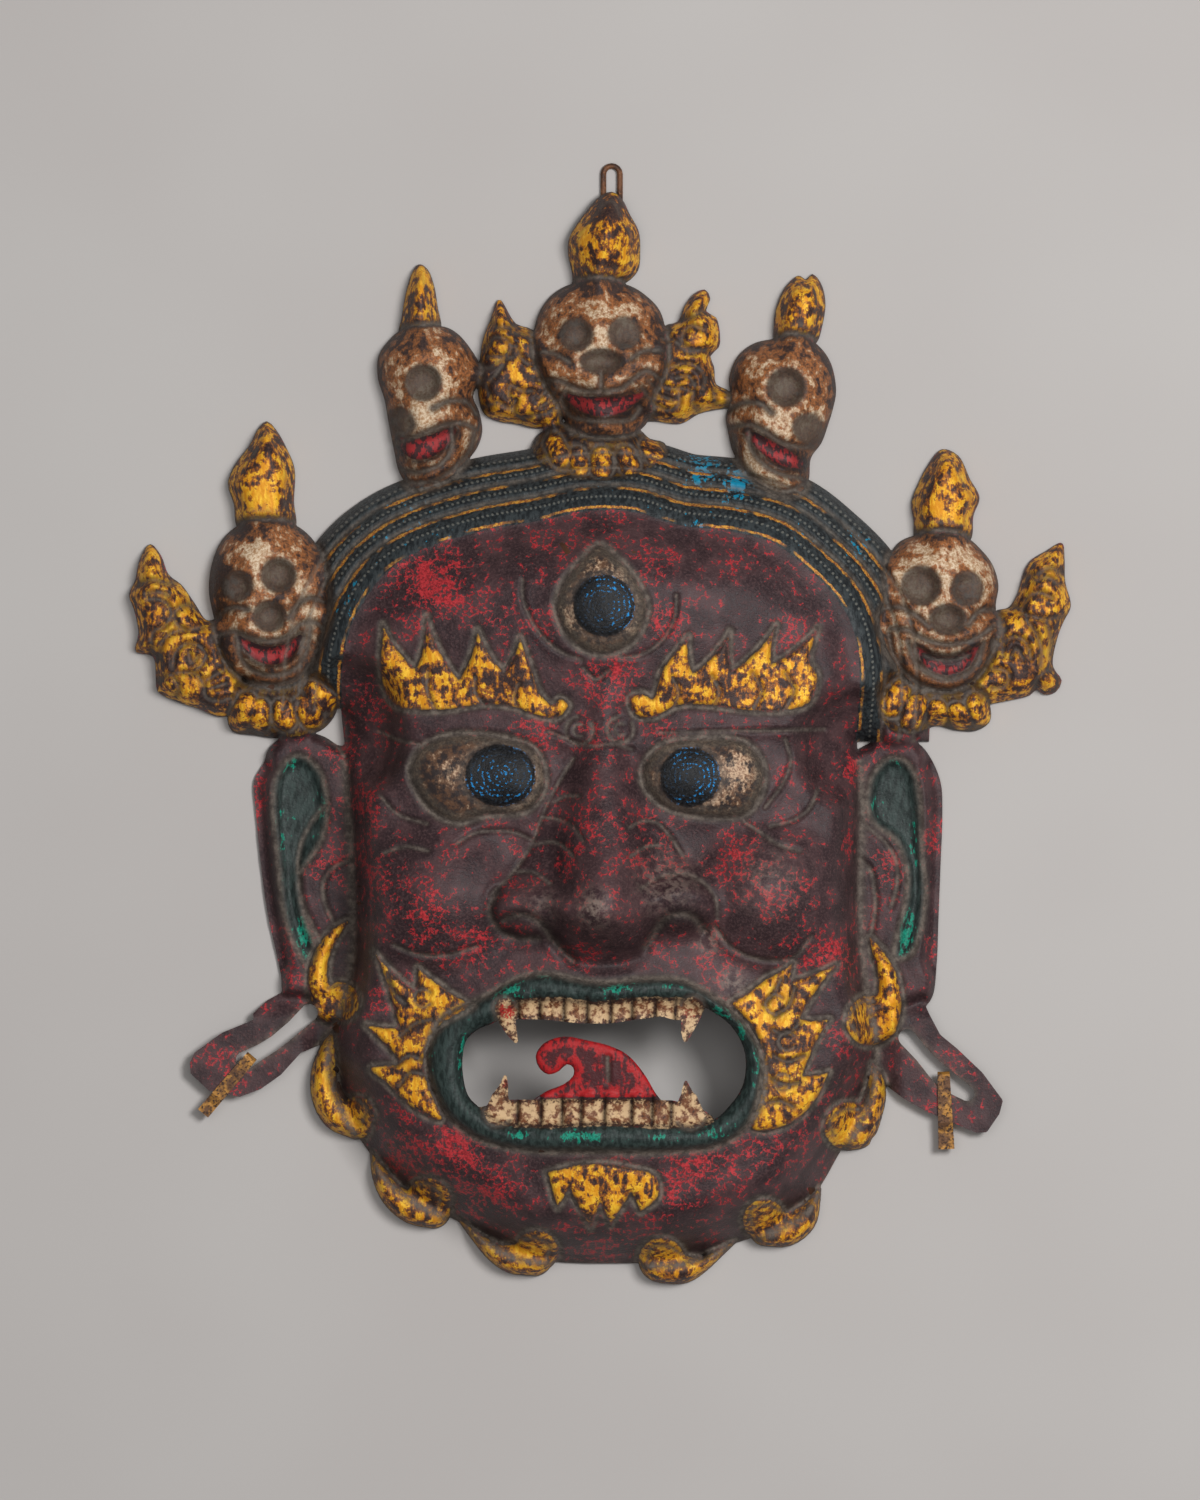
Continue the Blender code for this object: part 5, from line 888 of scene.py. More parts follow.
CREASES = (
    ((-72.7, -24.2), (-66.7, -30.2), (-57.3, -33.2)),
    ((-71.5, -42.8), (-64.0, -40.8), (-57.0, -42.2)),
    ((-47.5, -39.8), (-41.0, -36.2), (-34.5, -35.5), (-28.0, -36.2), (-22.7, -38.5)),
    ((61.3, -5.2), (63.2, -12.5), (60.5, -20.0), (54.7, -27.8)),
    ((72.3, -22.0), (69.0, -28.5), (63.5, -32.3), (56.5, -34.0)),
    ((47.7, -32.5), (53.0, -36.0), (58.5, -39.8), (66.0, -42.3)),
    ((-8.7, -11.5), (-14.0, -20.0), (-18.5, -29.0), (-22.7, -40.2), (-29.0, -49.5), (-36.0, -56.5)),
    ((-15.3, -26.0), (-11.0, -24.0), (-7.0, -24.0)),
    ((-18.5, -31.0), (-13.5, -31.8), (-9.0, -34.0), (-5.5, -38.8)),
    ((-21.3, -40.0), (-15.5, -39.2), (-11.5, -41.0), (-8.8, -44.0)),
    ((-27.3, -49.2), (-22.0, -49.3), (-16.5, -52.8)),
    ((9.5, -34.5), (13.5, -32.5), (18.0, -32.6), (22.5, -36.5), (27.5, -44.0)),
    ((10.0, -44.0), (14.5, -41.0), (19.5, -40.3)),
    ((13.8, -54.4), (20.5, -50.4), (28.5, -49.8), (34.5, -53.0), (38.3, -58.1), (38.8, -64.5)),
    ((38.0, -67.5), (44.0, -74.5), (54.0, -78.4), (64.0, -77.6), (70.0, -70.5)),
    ((-68.3, -73.5), (-60.0, -76.6), (-50.0, -76.6), (-40.7, -73.8)),
    ((-25.7, 47.5), (-25.4, 41.0), (-21.5, 32.0), (-14.0, 24.3), (-6.0, 21.0)),
    ((25.3, 42.5), (25.0, 36.0), (21.5, 28.5), (14.0, 22.8), (6.5, 21.8)),
    ((-5.5, 18.5), (-1.5, 14.5), (3.0, 17.5)),
    ((-73.7, -2.5), (-66.5, -5.5), (-60.0, -6.8)),
    ((-17.0, -2.5), (-9.0, -5.8), (-2.0, -7.5), (3.5, -6.8), (10.5, -8.5)),
    ((20.0, -3.2), (38.0, -2.6), (57.0, -2.3), (74.5, -1.9)),
    ((-57.0, 17.0), (-57.2, 11.0), (-54.8, 5.0)),
    ((-41.2, 15.0), (-41.4, 10.5), (-38.0, 5.6)),
    ((-27.0, 13.0), (-28.4, 9.0), (-27.3, 5.0)),
    ((24.0, 15.0), (26.0, 10.5), (24.6, 6.0)),
    ((37.0, 15.5), (39.5, 10.5), (37.6, 5.6)),
    ((50.5, 16.5), (53.5, 11.0), (51.0, 5.2)),
    ((61.5, 16.5), (64.2, 11.0), (61.5, 4.8)),
)
NOSTRIL_LINES = (
    ((-34.0, -55.5), (-36.5, -61.5), (-34.2, -67.3), (-28.5, -70.9), (-20.5, -71.2)),
    ((-31.8, -65.0), (-26.3, -63.4), (-20.2, -65.8), (-16.2, -71.0), (-9.0, -78.6)),
    ((15.0, -74.0), (18.4, -68.8), (22.2, -64.4), (26.7, -63.0), (31.0, -64.4), (34.5, -68.6)),
)
NOSTRIL_RIBS = (
    ((-12.0, -61.0), (-20.0, -57.5), (-27.0, -56.5), (-32.5, -61.0)),
    ((14.0, -61.0), (21.0, -56.8), (28.0, -55.0), (34.5, -58.6), (37.0, -64.0)),
)
NOSE_UNDERSIDE = ((-15.0, -72.0), (-8.0, -78.8), (3.0, -80.2), (12.0, -77.6), (17.5, -72.0))
SPIRALS = ((-6.8, -2.3, 4.6), (6.8, -2.0, 4.4))

EAR_LINES = (
    ((-92.0, -27.5), (-97.0, -34.5), (-100.3, -43.0), (-99.8, -55.0), (-97.2, -64.0), (-92.7, -73.0)),
    ((-83.7, -45.8), (-88.5, -47.8), (-92.0, -52.5), (-91.5, -60.0), (-88.3, -66.8)),
    ((-92.5, -3.3), (-88.5, -6.5), (-85.0, -11.0)),
    ((87.3, -33.2), (93.5, -38.0), (98.3, -44.8), (99.0, -53.0), (97.0, -60.8)),
    ((86.0, -44.8), (89.8, -48.5), (91.3, -54.8), (91.6, -62.0), (90.3, -69.8)),
)

SKULL_LINES = (
    ((-128.0, 35.5), (-122.0, 38.6), (-117.0, 37.8)),
    ((-103.5, 35.0), (-100.5, 39.5), (-96.0, 41.8), (-92.0, 40.5)),
    ((-126.5, 29.5), (-121.5, 30.5), (-115.5, 28.3), (-109.5, 27.4), (-103.5, 29.2), (-99.0, 33.2),
     (-94.5, 33.5), (-91.5, 31.0)),
    ((-127.3, 29.0), (-125.5, 21.5), (-119.5, 15.2), (-110.0, 12.9), (-101.5, 14.6), (-95.3, 21.0),
     (-92.8, 29.0)),
    ((-120.8, 29.0), (-119.3, 21.5), (-114.5, 17.2), (-108.0, 16.0), (-101.3, 18.3), (-97.8, 23.5),
     (-96.3, 32.0)),
    ((-66.5, 104.5), (-68.3, 99.5), (-65.5, 96.5), (-62.5, 99.0)),
    ((-55.5, 104.8), (-50.0, 107.2), (-44.5, 107.0), (-41.0, 103.0)),
    ((-68.5, 93.2), (-63.0, 94.8), (-56.0, 97.6), (-50.0, 99.8), (-44.5, 99.5), (-41.0, 97.5)),
    ((-67.0, 84.6), (-60.5, 83.6), (-53.0, 86.2), (-49.3, 91.5), (-49.3, 99.0)),
    ((-67.0, 81.3), (-61.0, 80.0), (-54.5, 81.0), (-47.5, 86.0), (-43.0, 91.5), (-41.8, 97.0)),
    ((43.0, 104.3), (47.5, 106.6), (53.5, 106.2), (57.0, 103.3)),
    ((43.8, 98.5), (50.0, 99.3), (55.0, 97.0), (60.0, 93.7), (66.0, 92.0), (71.0, 92.0)),
    ((44.3, 96.0), (45.3, 89.5), (49.6, 83.2), (56.0, 78.8), (62.5, 77.2), (67.5, 79.5)),
    ((49.8, 97.0), (50.0, 92.0), (54.0, 86.6), (60.0, 83.0), (67.5, 81.5)),
    ((94.0, 38.3), (100.0, 38.6), (105.0, 35.8), (109.5, 32.0)),
    ((122.3, 32.8), (126.0, 37.3), (131.5, 38.2)),
    ((96.5, 31.5), (102.5, 31.0), (108.0, 27.9), (115.0, 26.2), (122.0, 27.2), (127.5, 29.8), (131.0, 32.5)),
    ((96.0, 30.0), (97.6, 22.5), (103.0, 15.6), (110.0, 11.7), (118.0, 11.3), (125.0, 14.4), (129.3, 20.3),
     (131.0, 28.0)),
    ((102.3, 27.5), (104.8, 20.2), (110.0, 16.2), (116.0, 14.6), (122.0, 16.6), (126.0, 21.2),
     (127.6, 27.0)),
    ((108.0, 22.7), (115.0, 21.2), (122.5, 22.7)),
    ((-20.8, 123.3), (-15.5, 123.0), (-10.0, 120.0)),
    ((10.3, 121.0), (14.0, 123.6), (20.3, 124.0)),
    ((-20.3, 114.3), (-13.3, 113.7), (-6.0, 110.6), (0.3, 110.3), (7.0, 111.4), (11.0, 114.3), (15.5, 117.2),
     (20.3, 114.5)),
    ((-13.0, 108.0), (-10.3, 102.8), (-4.0, 100.9), (4.0, 100.4), (10.3, 101.3), (13.3, 105.0)),
    ((-9.5, 96.2), (0.0, 94.9), (9.0, 95.3), (15.5, 98.0)),
    ((0.5, 116.3), (0.3, 110.3)),
)

WING_LINES = (
    ((-153.5, 46.5), (-148.5, 47.8), (-144.0, 46.6), (-141.0, 47.6)),
    ((-151.0, 43.2), (-147.0, 43.8), (-143.5, 42.6)),
    ((-150.5, 41.2), (-146.8, 41.4), (-143.6, 39.4), (-142.8, 35.8), (-144.8, 32.2), (-148.6, 30.5),
     (-149.3, 24.0)),
    ((-133.5, 38.2), (-137.5, 39.6), (-141.2, 37.3), (-141.0, 33.2), (-138.0, 31.4), (-132.5, 31.8)),
    ((-146.5, 21.5), (-146.0, 26.5), (-142.8, 30.0), (-138.5, 31.0)),
    ((-142.0, 19.0), (-141.4, 23.2), (-138.0, 26.3), (-133.6, 26.0), (-131.0, 22.8), (-133.0, 19.0),
     (-135.8, 17.0)),
    ((-136.8, 23.6), (-136.0, 20.0), (-133.6, 22.2)),
    ((-148.0, 14.3), (-143.3, 16.2), (-138.0, 17.0), (-133.8, 16.0), (-131.8, 12.8), (-131.0, 9.0),
     (-127.0, 7.6), (-122.5, 8.6)),
    ((-142.3, 15.8), (-140.3, 12.6), (-141.0, 9.4)),
    ((-130.5, 14.6), (-126.0, 17.3), (-122.5, 19.5)),
    ((-129.0, 11.8), (-124.5, 13.2)),
    ((-37.3, 134.6), (-33.8, 131.8), (-28.3, 132.3)),
    ((-38.3, 124.3), (-35.8, 128.3), (-31.3, 128.0), (-29.5, 124.8), (-32.0, 122.2), (-37.0, 122.4)),
    ((-29.3, 130.3), (-24.3, 129.0), (-21.3, 125.0), (-22.0, 120.0)),
    ((-28.0, 125.6), (-26.4, 122.0), (-23.8, 119.5)),
    ((-39.8, 119.3), (-36.5, 118.3), (-33.3, 120.6), (-29.0, 121.8)),
    ((-36.3, 108.5), (-37.5, 112.5), (-34.3, 116.5), (-31.8, 119.8)),
    ((-30.3, 108.5), (-29.8, 112.6), (-26.3, 110.8), (-22.0, 110.6)),
    ((-38.0, 105.4), (-33.8, 106.8), (-30.0, 104.8), (-28.4, 107.3)),
    ((-28.0, 107.5), (-28.6, 103.5), (-25.5, 101.6), (-21.0, 103.0)),
    ((-20.5, 102.5), (-15.5, 104.5), (-12.8, 107.8), (-11.0, 111.5)),
    ((-20.0, 105.3), (-16.5, 107.5), (-14.0, 112.0)),
    ((-20.5, 108.3), (-18.0, 110.3), (-16.5, 113.0)),
    ((25.0, 134.8), (29.8, 135.0), (33.8, 137.3)),
    ((34.3, 131.0), (31.0, 132.4), (27.8, 130.0), (27.6, 126.6), (30.5, 124.4), (35.5, 124.3)),
    ((20.5, 127.6), (24.5, 127.6), (28.0, 124.0), (31.5, 122.8)),
    ((24.0, 118.5), (28.5, 120.0), (32.6, 118.4), (35.0, 114.8), (34.2, 111.4)),
    ((25.6, 114.8), (29.5, 115.6), (32.0, 111.9)),
    ((14.2, 111.7), (17.6, 107.0), (22.3, 104.4), (26.0, 105.8), (26.3, 109.8)),
    ((16.0, 114.3), (19.3, 109.6), (24.0, 107.6)),
    ((19.0, 115.3), (22.0, 111.6), (27.3, 111.6), (31.5, 110.2)),
    ((31.3, 110.5), (30.8, 106.8), (32.5, 104.2)),
    ((37.8, 110.8), (38.3, 106.8)),
    ((140.8, 49.0), (146.0, 49.8), (150.0, 51.8), (153.5, 50.0)),
    ((144.5, 47.6), (149.0, 48.6), (152.5, 46.3)),
    ((140.5, 36.5), (141.8, 41.3), (146.0, 43.6), (150.3, 41.8)),
    ((142.5, 36.0), (147.5, 34.9), (155.0, 35.5)),
    ((135.0, 39.8), (139.8, 38.3), (142.0, 36.0)),
    ((141.8, 34.5), (145.2, 29.8), (146.8, 24.0), (146.5, 19.0)),
    ((148.5, 34.0), (150.3, 28.5), (150.8, 21.0)),
    ((134.0, 22.5), (134.6, 26.8), (138.0, 28.9), (142.0, 26.7), (143.3, 21.5)),
    ((136.8, 22.0), (138.5, 24.8), (141.0, 21.5)),
    ((133.8, 36.0), (134.6, 30.5), (132.8, 25.6), (130.3, 21.0)),
    ((128.3, 17.8), (132.0, 18.3), (136.0, 16.6), (135.0, 12.6), (130.5, 11.8)),
    ((144.5, 8.8), (144.8, 13.0), (147.6, 17.2), (151.0, 18.3)),
    ((127.0, 8.8), (124.0, 12.5)),
)

FLAME_LINES = (
    ((-70.5, -83.0), (-68.5, -88.5), (-64.5, -92.8)),
    ((-66.0, -103.5), (-61.0, -99.3), (-55.5, -98.0)),
    ((-68.0, -113.5), (-63.0, -110.0), (-58.8, -111.5)),
    ((-66.5, -120.0), (-62.5, -115.5), (-57.8, -116.5)),
    ((60.0, -84.6), (57.5, -89.5), (54.5, -93.0)),
    ((64.5, -87.5), (62.5, -93.5), (58.0, -97.0)),
    ((66.0, -99.5), (61.5, -103.0), (57.3, -101.5)),
    ((67.5, -110.0), (62.0, -112.0), (57.5, -110.0)),
    ((66.0, -119.0), (60.5, -119.5), (56.8, -117.5)),
    ((64.0, -127.0), (59.5, -125.0), (56.0, -125.5)),
)
FLAME_RINGS = ((-58.5, -91.0, 3.0), (58.0, -93.0, 3.2), (62.0, -105.3, 3.0), (60.5, -118.8, 2.8))

CURL_LINES = (
    ((-90.5, -88.0), (-86.5, -87.0), (-82.8, -90.0), (-82.5, -94.5), (-85.8, -96.0)),
    ((-86.3, -124.5), (-81.3, -124.8), (-77.5, -128.5), (-79.0, -132.5)),
    ((-64.0, -154.5), (-58.0, -153.0), (-53.0, -156.5), (-53.8, -161.0)),
    ((-29.0, -173.0), (-22.0, -170.8), (-16.5, -174.0), (-18.0, -178.0)),
    ((15.8, -179.0), (17.0, -174.0), (22.5, -173.6), (27.0, -176.5)),
    ((50.5, -166.5), (50.0, -161.5), (55.0, -159.6), (61.0, -162.5)),
    ((85.5, -103.0), (82.5, -98.0), (86.0, -93.0), (91.0, -92.5)),
    ((77.5, -137.0), (76.5, -131.5), (81.0, -128.5), (86.0, -128.5)),
)

# Teeth, each with its middle and its width, and the foot and the top of their rows

UPPER_TOOTH_PLACES = (
    (-24.5, 5.0), (-16.5, 7.0), (-9.5, 5.0), (-1.0, 6.6), (6.5, 6.0), (13.7, 6.2), (21.5, 6.6),
)
LOWER_TOOTH_PLACES = (
    (-24.0, 6.6), (-17.2, 4.8), (-10.4, 4.4), (-3.3, 6.0), (3.8, 4.6), (12.8, 4.8), (20.3, 6.2),
)
UPPER_TOOTH_ROW = (-99.5, -91.0)
LOWER_TOOTH_ROW = (-133.5, -124.0)

# Where the tongue leaves the gum, and the corner over the right ear where the hair paint ends

TONGUE_FOOT = -123.8
TONGUE_PAINT_FOOT = -123.6
HAIR_CORNER = (93.0, 2.0)


class Chasing:
    """The front of the sheet at many points: its height, its dirt, its painted shade and the distance to each
    painted area.
    """

    def __init__(self, x, y, z):
        self.x = x
        self.y = y
        self.z = z.copy()
        self.fields = {name: np.full(x.shape, PAINT_REACH) for name in COATS}
        for name in SOFT_FIELDS:
            self.fields[name] = np.zeros(x.shape)
        self.fields["rub"] += PLAIN_RUB

    def away(self, line, reach):
        """Distance to a smooth line through the points."""
        curve = spline(line, False, 1.2)
        bar = Bar(np.column_stack([curve[:, :2], np.zeros(len(curve))]))
        return bar.gap(self.x, self.y, reach)

    def soil(self, gap, wide, amount=1.0):
        """Dirt within the given distance of a gap of 0."""
        self.fields["dust"] = np.maximum(self.fields["dust"], amount * np.exp(-((gap / wide) ** 2)))

    def groove(self, line, deep=0.8, wide=0.9, dirt=0.9, painted_shade=0.35):
        """A chased line with dust in it, painted shade beside it and a soft swell on each side."""
        gap = self.away(line, GROOVE_REACH * wide)
        self.z -= deep * np.exp(-((gap / wide) ** 2))
        self.z += 0.2 * deep * np.exp(-(((gap - 2.1 * wide) / (1.1 * wide)) ** 2))
        self.soil(gap, 0.75 * wide, dirt)
        self.darken(gap, 1.9 * wide, painted_shade)

    def trench(self, gap, deep=0.9, wide=0.9, dirt=1.0, outside=0.7, painted_shade=0.5):
        """A chased line just outside the outline of a shape, with dust and painted shade along it."""
        off = gap - outside
        self.z -= deep * np.exp(-((off / wide) ** 2))
        self.soil(off, wide, dirt)
        self.darken(off, 1.7 * wide, painted_shade)

    def rib(self, line, high=0.6, wide=0.8):
        """A raised line."""
        self.z += high * np.exp(-((self.away(line, RIB_REACH * wide) / wide) ** 2))

    def darken(self, gap, wide, amount=1.0):
        """Near-black painted shade within the given distance of a gap of 0."""
        self.fields["dark"] = np.maximum(self.fields["dark"], amount * np.exp(-((gap / wide) ** 2)))

    def cover(self, coat, gap):
        """Adds an area, from its distance, to a coat of paint."""
        self.fields[coat] = np.minimum(self.fields[coat], gap)

    def spot(self, field, x, y, wide, high, amount):
        """Raises a soft field in an oval spot."""
        q = ((self.x - x) / wide) ** 2 + ((self.y - y) / high) ** 2
        self.fields[field] = np.maximum(self.fields[field], amount * np.exp(-q))


def ring_line(x, y, radius, start=0.0, turn=300.0, count=8):
    """Points of an open ring."""
    angles = np.radians(np.linspace(start, start + turn, count))
    return [(x + radius * math.cos(a), y + radius * math.sin(a)) for a in angles]


def chase_face(c):
    """Creases, the spirals between the brows, and the gilded flames."""
    for line in CREASES:
        c.groove(line, 0.9, 0.8, 0.75)
    for x, y, radius in SPIRALS:
        c.groove(ring_line(x, y, radius, 100, 290), 0.7, 0.9)
        c.groove(ring_line(x, y, radius * 0.45, 60, 240), 0.5, 0.6)
    for flame in FLAMES:
        gap = flame.gap(c.x, c.y)
        c.trench(gap, 0.9, 0.9)
        c.cover("gold", gap)
    for line in FLAME_LINES:
        c.groove(line, 0.7, 0.8, 0.5, 0.85)
    for x, y, radius in FLAME_RINGS:
        c.groove(ring_line(x, y, radius, 40, 280), 0.6, 0.7, 0.8)


def chase_nose(c):
    """The nostrils, and the underside of the nose pressed in, with painted shade under it."""
    for line in NOSTRIL_RIBS:
        c.rib(line, 1.5, 3.0)
    for line in NOSTRIL_LINES:
        c.groove(line, 1.5, 1.4, 0.5, 0.7)
    underside = c.away(NOSE_UNDERSIDE, 8.0)
    c.z -= 1.6 * np.exp(-((underside / 2.4) ** 2))
    # Painted shade under the nose
    c.darken(underside, 2.2, 0.4)


def chase_eyes(c):
    """Eyelids, and irises that stand out of the eyeballs."""
    for eye, iris in zip(EYES, (LEFT_IRIS, RIGHT_IRIS, THIRD_IRIS)):
        gap = eye.gap(c.x, c.y)
        c.trench(gap, 1.0, 1.1, 1.0, 0.2)
        c.cover("eye", gap + 0.6)
        x, y, wide, high = iris
        ball = np.hypot((c.x - x) / wide, (c.y - y) / high)
        c.fields["iris"] = np.minimum(c.fields["iris"], ball)
        c.z += 0.8 * ease((1.12 - ball) / 0.2)
        c.soil((ball - 1.08) * wide, 0.9, 0.6)


def chase_teeth(c, row, low, high):
    """One row of teeth with lines of painted shade between them."""
    for x, wide in row:
        tooth = Bar(((x, low, wide / 2 - 0.4), (x, high, wide / 2 - 0.2))).gap(c.x, c.y, TOOTH_REACH)
        near = np.abs(tooth) < TOOTH_REACH
        c.z += np.where(near, TOOTH_RISE * rounded(-tooth / 1.6), 0.0)
    last, last_wide = row[-1]
    for x in [x - wide / 2 - 0.1 for x, wide in row] + [last + last_wide / 2 + 0.1]:
        line = ((x, low), (x + 0.2, high))
        c.groove(line, 0.8, 0.6, 0.0)
        # Painted shade in the gap between two teeth
        c.darken(c.away(line, TOOTH_REACH), 0.75, 0.9)


def chase_mouth(c):
    """Green lips, the teeth and fangs with painted shade round them and along the edge of the opening, and
    the red tongue.
    """
    rim = MOUTH_RIM.gap(c.x, c.y)
    gums = GUMS.gap(c.x, c.y)
    c.trench(rim, 0.9, 1.1, 1.0, 0.3)
    c.cover("green", np.maximum(rim, -gums))
    c.cover("green", np.maximum(gums, -2.0 - gums))
    upper = np.maximum(UPPER_TEETH.gap(c.x, c.y), gums - 0.4)
    lower = np.maximum(LOWER_TEETH.gap(c.x, c.y), gums - 0.4)
    fangs = np.minimum.reduce([fang.gap(c.x, c.y) for fang in FANGS])
    c.cover("tooth", np.minimum(np.minimum(upper, lower), fangs))
    chase_teeth(c, UPPER_TOOTH_PLACES, *UPPER_TOOTH_ROW)
    chase_teeth(c, LOWER_TOOTH_PLACES, *LOWER_TOOTH_ROW)
    on_gum = np.where(gums < -2.0, FAR, fangs)
    c.trench(on_gum, 0.6, 0.7, 0.5, 0.4)
    # Painted shade round the fangs and along the edge of the opening
    c.darken(on_gum - 0.6, 0.8, 0.8)
    c.darken(gums + 0.2, 0.7, 0.7)
    tongue = TONGUE.gap(c.x, c.y)
    c.cover("tongue", np.maximum(tongue, TONGUE_PAINT_FOOT - c.y))
    raised = np.maximum(tongue, -1.2 - (c.y - TONGUE_FOOT))
    c.z += TONGUE_RISE * rounded(-raised / 3.0)
    c.groove(((2.5, -110.5), (2.7, -118.5)), 0.8, 0.9)


def chase_ears(c):
    """Folds and green hollows of the ears, with dust beside the face and round the slots."""
    for line in EAR_LINES:
        c.groove(line, 0.8, 1.0)
    for concha in (LEFT_CONCHA, RIGHT_CONCHA):
        gap = concha.gap(c.x, c.y)
        c.trench(gap, 0.8, 1.0, 0.9, 0.2)
        c.cover("green", gap)
    side = FACE.gap(c.x, c.y)
    beside = (c.y < -12) & (side > -2)
    c.soil(np.where(beside, side - 0.8, FAR), 1.5, 0.9)
    for slot in (LEFT_SLOT, RIGHT_SLOT):
        c.soil(slot.gap(c.x, c.y), 1.0, 0.6)


def chase_curls(c):
    """Gilded curls under the jaw, each with a line in its bulb."""
    for shape, line in zip(CURLS, CURL_LINES):
        gap = shape.gap(c.x, c.y)
        c.trench(gap, 0.8, 0.9)
        c.groove(line, 0.7, 0.8, 0.8)
        c.cover("gold", gap)


def chase_hair(c):
    """Dark bands over the face with a ridge and a dusty line between each two."""
    out = ARCH_SPAN.gap(c.x, c.y, HAIR_REACH)
    on_hair = hair_gap(c.x, c.y)
    corner_x, corner_y = HAIR_CORNER
    over_ear = np.minimum(c.x - corner_x, corner_y - c.y)
    c.cover("hair", np.maximum.reduce([on_hair, -FACE.gap(c.x, c.y) - 0.3, over_ear]))
    c.fields["out"] = out
    c.fields["along"] = np.degrees(np.arctan2(c.y + 10.0, c.x)) * ALONG_SCALE
    for line in HAIR_LINES[1:-1]:
        off = np.where(on_hair < 0.5, out - line, FAR)
        c.z -= 0.7 * np.exp(-((off / 0.8) ** 2))
        c.z += 0.7 * np.exp(-(((off - 1.5) / 0.9) ** 2))
        c.soil(off, 0.7, 0.75)


def chase_wings(c):
    """Gilded scroll wings beside the skulls."""
    for wing in WINGS:
        gap = wing.gap(c.x, c.y)
        for skull in SKULLS:
            gap = np.maximum(gap, -skull.head.gap(c.x, c.y))
        c.cover("gold", gap)
    for line in WING_LINES:
        c.groove(line, 1.1, 0.95, 0.5, 0.65)


def chase_collar(c, skull, head):
    """The gilded neck collar of a skull, with painted shade in the gaps between its petals and a gold line by
    the head.
    """
    gap = np.maximum(skull.collar.gap(c.x, c.y), 0.6 - head)
    c.cover("gold", gap)
    on_collar = gap < 0.5
    petals = np.minimum.reduce([petal.gap(c.x, c.y) for petal in skull.petals])
    # Painted shade between the petals
    c.darken(np.where(on_collar, np.maximum(0.6 - petals, 0), FAR), 0.5, 0.85)
    c.soil(np.where(on_collar, petals - 1.3, FAR), 0.6, 0.7)
    c.cover("gold", np.where(on_collar, np.abs(head - 3.2) - 0.5, PAINT_REACH))
    c.z -= 1.0 * np.exp(-((np.where(on_collar, petals - 1.1, FAR) / 1.0) ** 2))


def chase_skulls(c):
    """Cream skulls under gilded finials, with painted shade in their sunk sockets, noses and grins."""
    for skull in SKULLS:
        head = skull.head.gap(c.x, c.y)
        finial = np.maximum(skull.finial.gap(c.x, c.y), 0.4 - head)
        c.cover("gold", finial)
        c.trench(head, 0.9, 1.0, 0.8, 0.7, 0.8)
        c.cover("bone", head)
        c.soil(np.maximum(finial, -finial - 3.0), 0.7, 0.4)
        if skull.collar:
            chase_collar(c, skull, head)
        for hollow in (*skull.eyes, skull.nose):
            gap = hollow.gap(c.x, c.y)
            # Painted shade in the sunk socket or nose
            c.darken(np.maximum(gap - 0.3, 0), 0.9, 0.8)
            c.soil(np.maximum(gap, 0), 0.6, 0.4)
        gap = skull.grin.gap(c.x, c.y)
        # Painted shade in the sunk grin
        c.darken(gap + 0.2, 1.6, 0.9)
        c.cover("grin", gap + 0.8)
    for line in SKULL_LINES:
        c.groove(line, 1.1, 0.95, 0.75, 0.85)


def chased_front(x, y, z):
    """The whole front: the form's height z with its chasing, and the fields for the paint."""
    c = Chasing(x, y, z)
    chase_hair(c)
    chase_face(c)
    chase_nose(c)
    chase_eyes(c)
    chase_mouth(c)
    chase_ears(c)
    chase_wings(c)
    chase_skulls(c)
    chase_curls(c)
    for field, spots in ROUND_SPOTS.items():
        for spot_x, spot_y, wide, amount in spots:
            c.spot(field, spot_x, spot_y, wide, wide, amount)
    for field, spots in OVAL_SPOTS.items():
        for spot in spots:
            c.spot(field, *spot)
    hammered = np.sin(0.61 * x + 1.3 * np.sin(0.23 * y)) * np.sin(0.53 * y + 1.1 * np.sin(0.31 * x))
    c.z = np.maximum(c.z + HAMMER_MARKS * hammered, SHEET + 0.02)
    return c


def evened(z, triangles, loose, rounds):
    """Heights evened out over neighbouring points, fully where loose is 1 and not at all where it is 0."""
    pairs = np.concatenate([triangles[:, (0, 1)], triangles[:, (1, 2)], triangles[:, (2, 0)]])
    here = np.concatenate([pairs[:, 0], pairs[:, 1]])
    there = np.concatenate([pairs[:, 1], pairs[:, 0]])
    count = np.bincount(here, minlength=len(z))
    for _ in range(rounds):
        mean = np.bincount(here, weights=z[there], minlength=len(z)) / count
        z = z + 0.5 * loose * (mean - z)
    return z


def soft_form(x, y, rim, triangles):
    """The form of the front, evened out as hammered sheet is, most of all on the plain parts of the face."""
    z = front_height(x, y, rim)
    loose = np.ones(len(x))
    loose[np.unique(rim_edges(triangles))] = 0.0
    z = evened(z, triangles, loose, SOFTEN_ALL)
    plain = ease((-FACE.gap(x, y) - 1.0) / 3.0)
    for shape in (*FLAMES, *EYES, MOUTH_RIM, *CURLS, *(skull.head for skull in SKULLS)):
        plain *= ease((np.abs(shape.gap(x, y)) - 1.0) / 3.0)
    return evened(z, triangles, loose * plain, SOFTEN_FACE)


def plain_mesh(name, points, triangles):
    """An object from points in millimetres and triangles."""
    mesh = bpy.data.meshes.new(name)
    mesh.from_pydata((np.asarray(points) * MILLIMETRE).tolist(), [], np.asarray(triangles).tolist())
    mesh.update()
    thing = bpy.data.objects.new(name, mesh)
    bpy.context.scene.collection.objects.link(thing)
    return thing


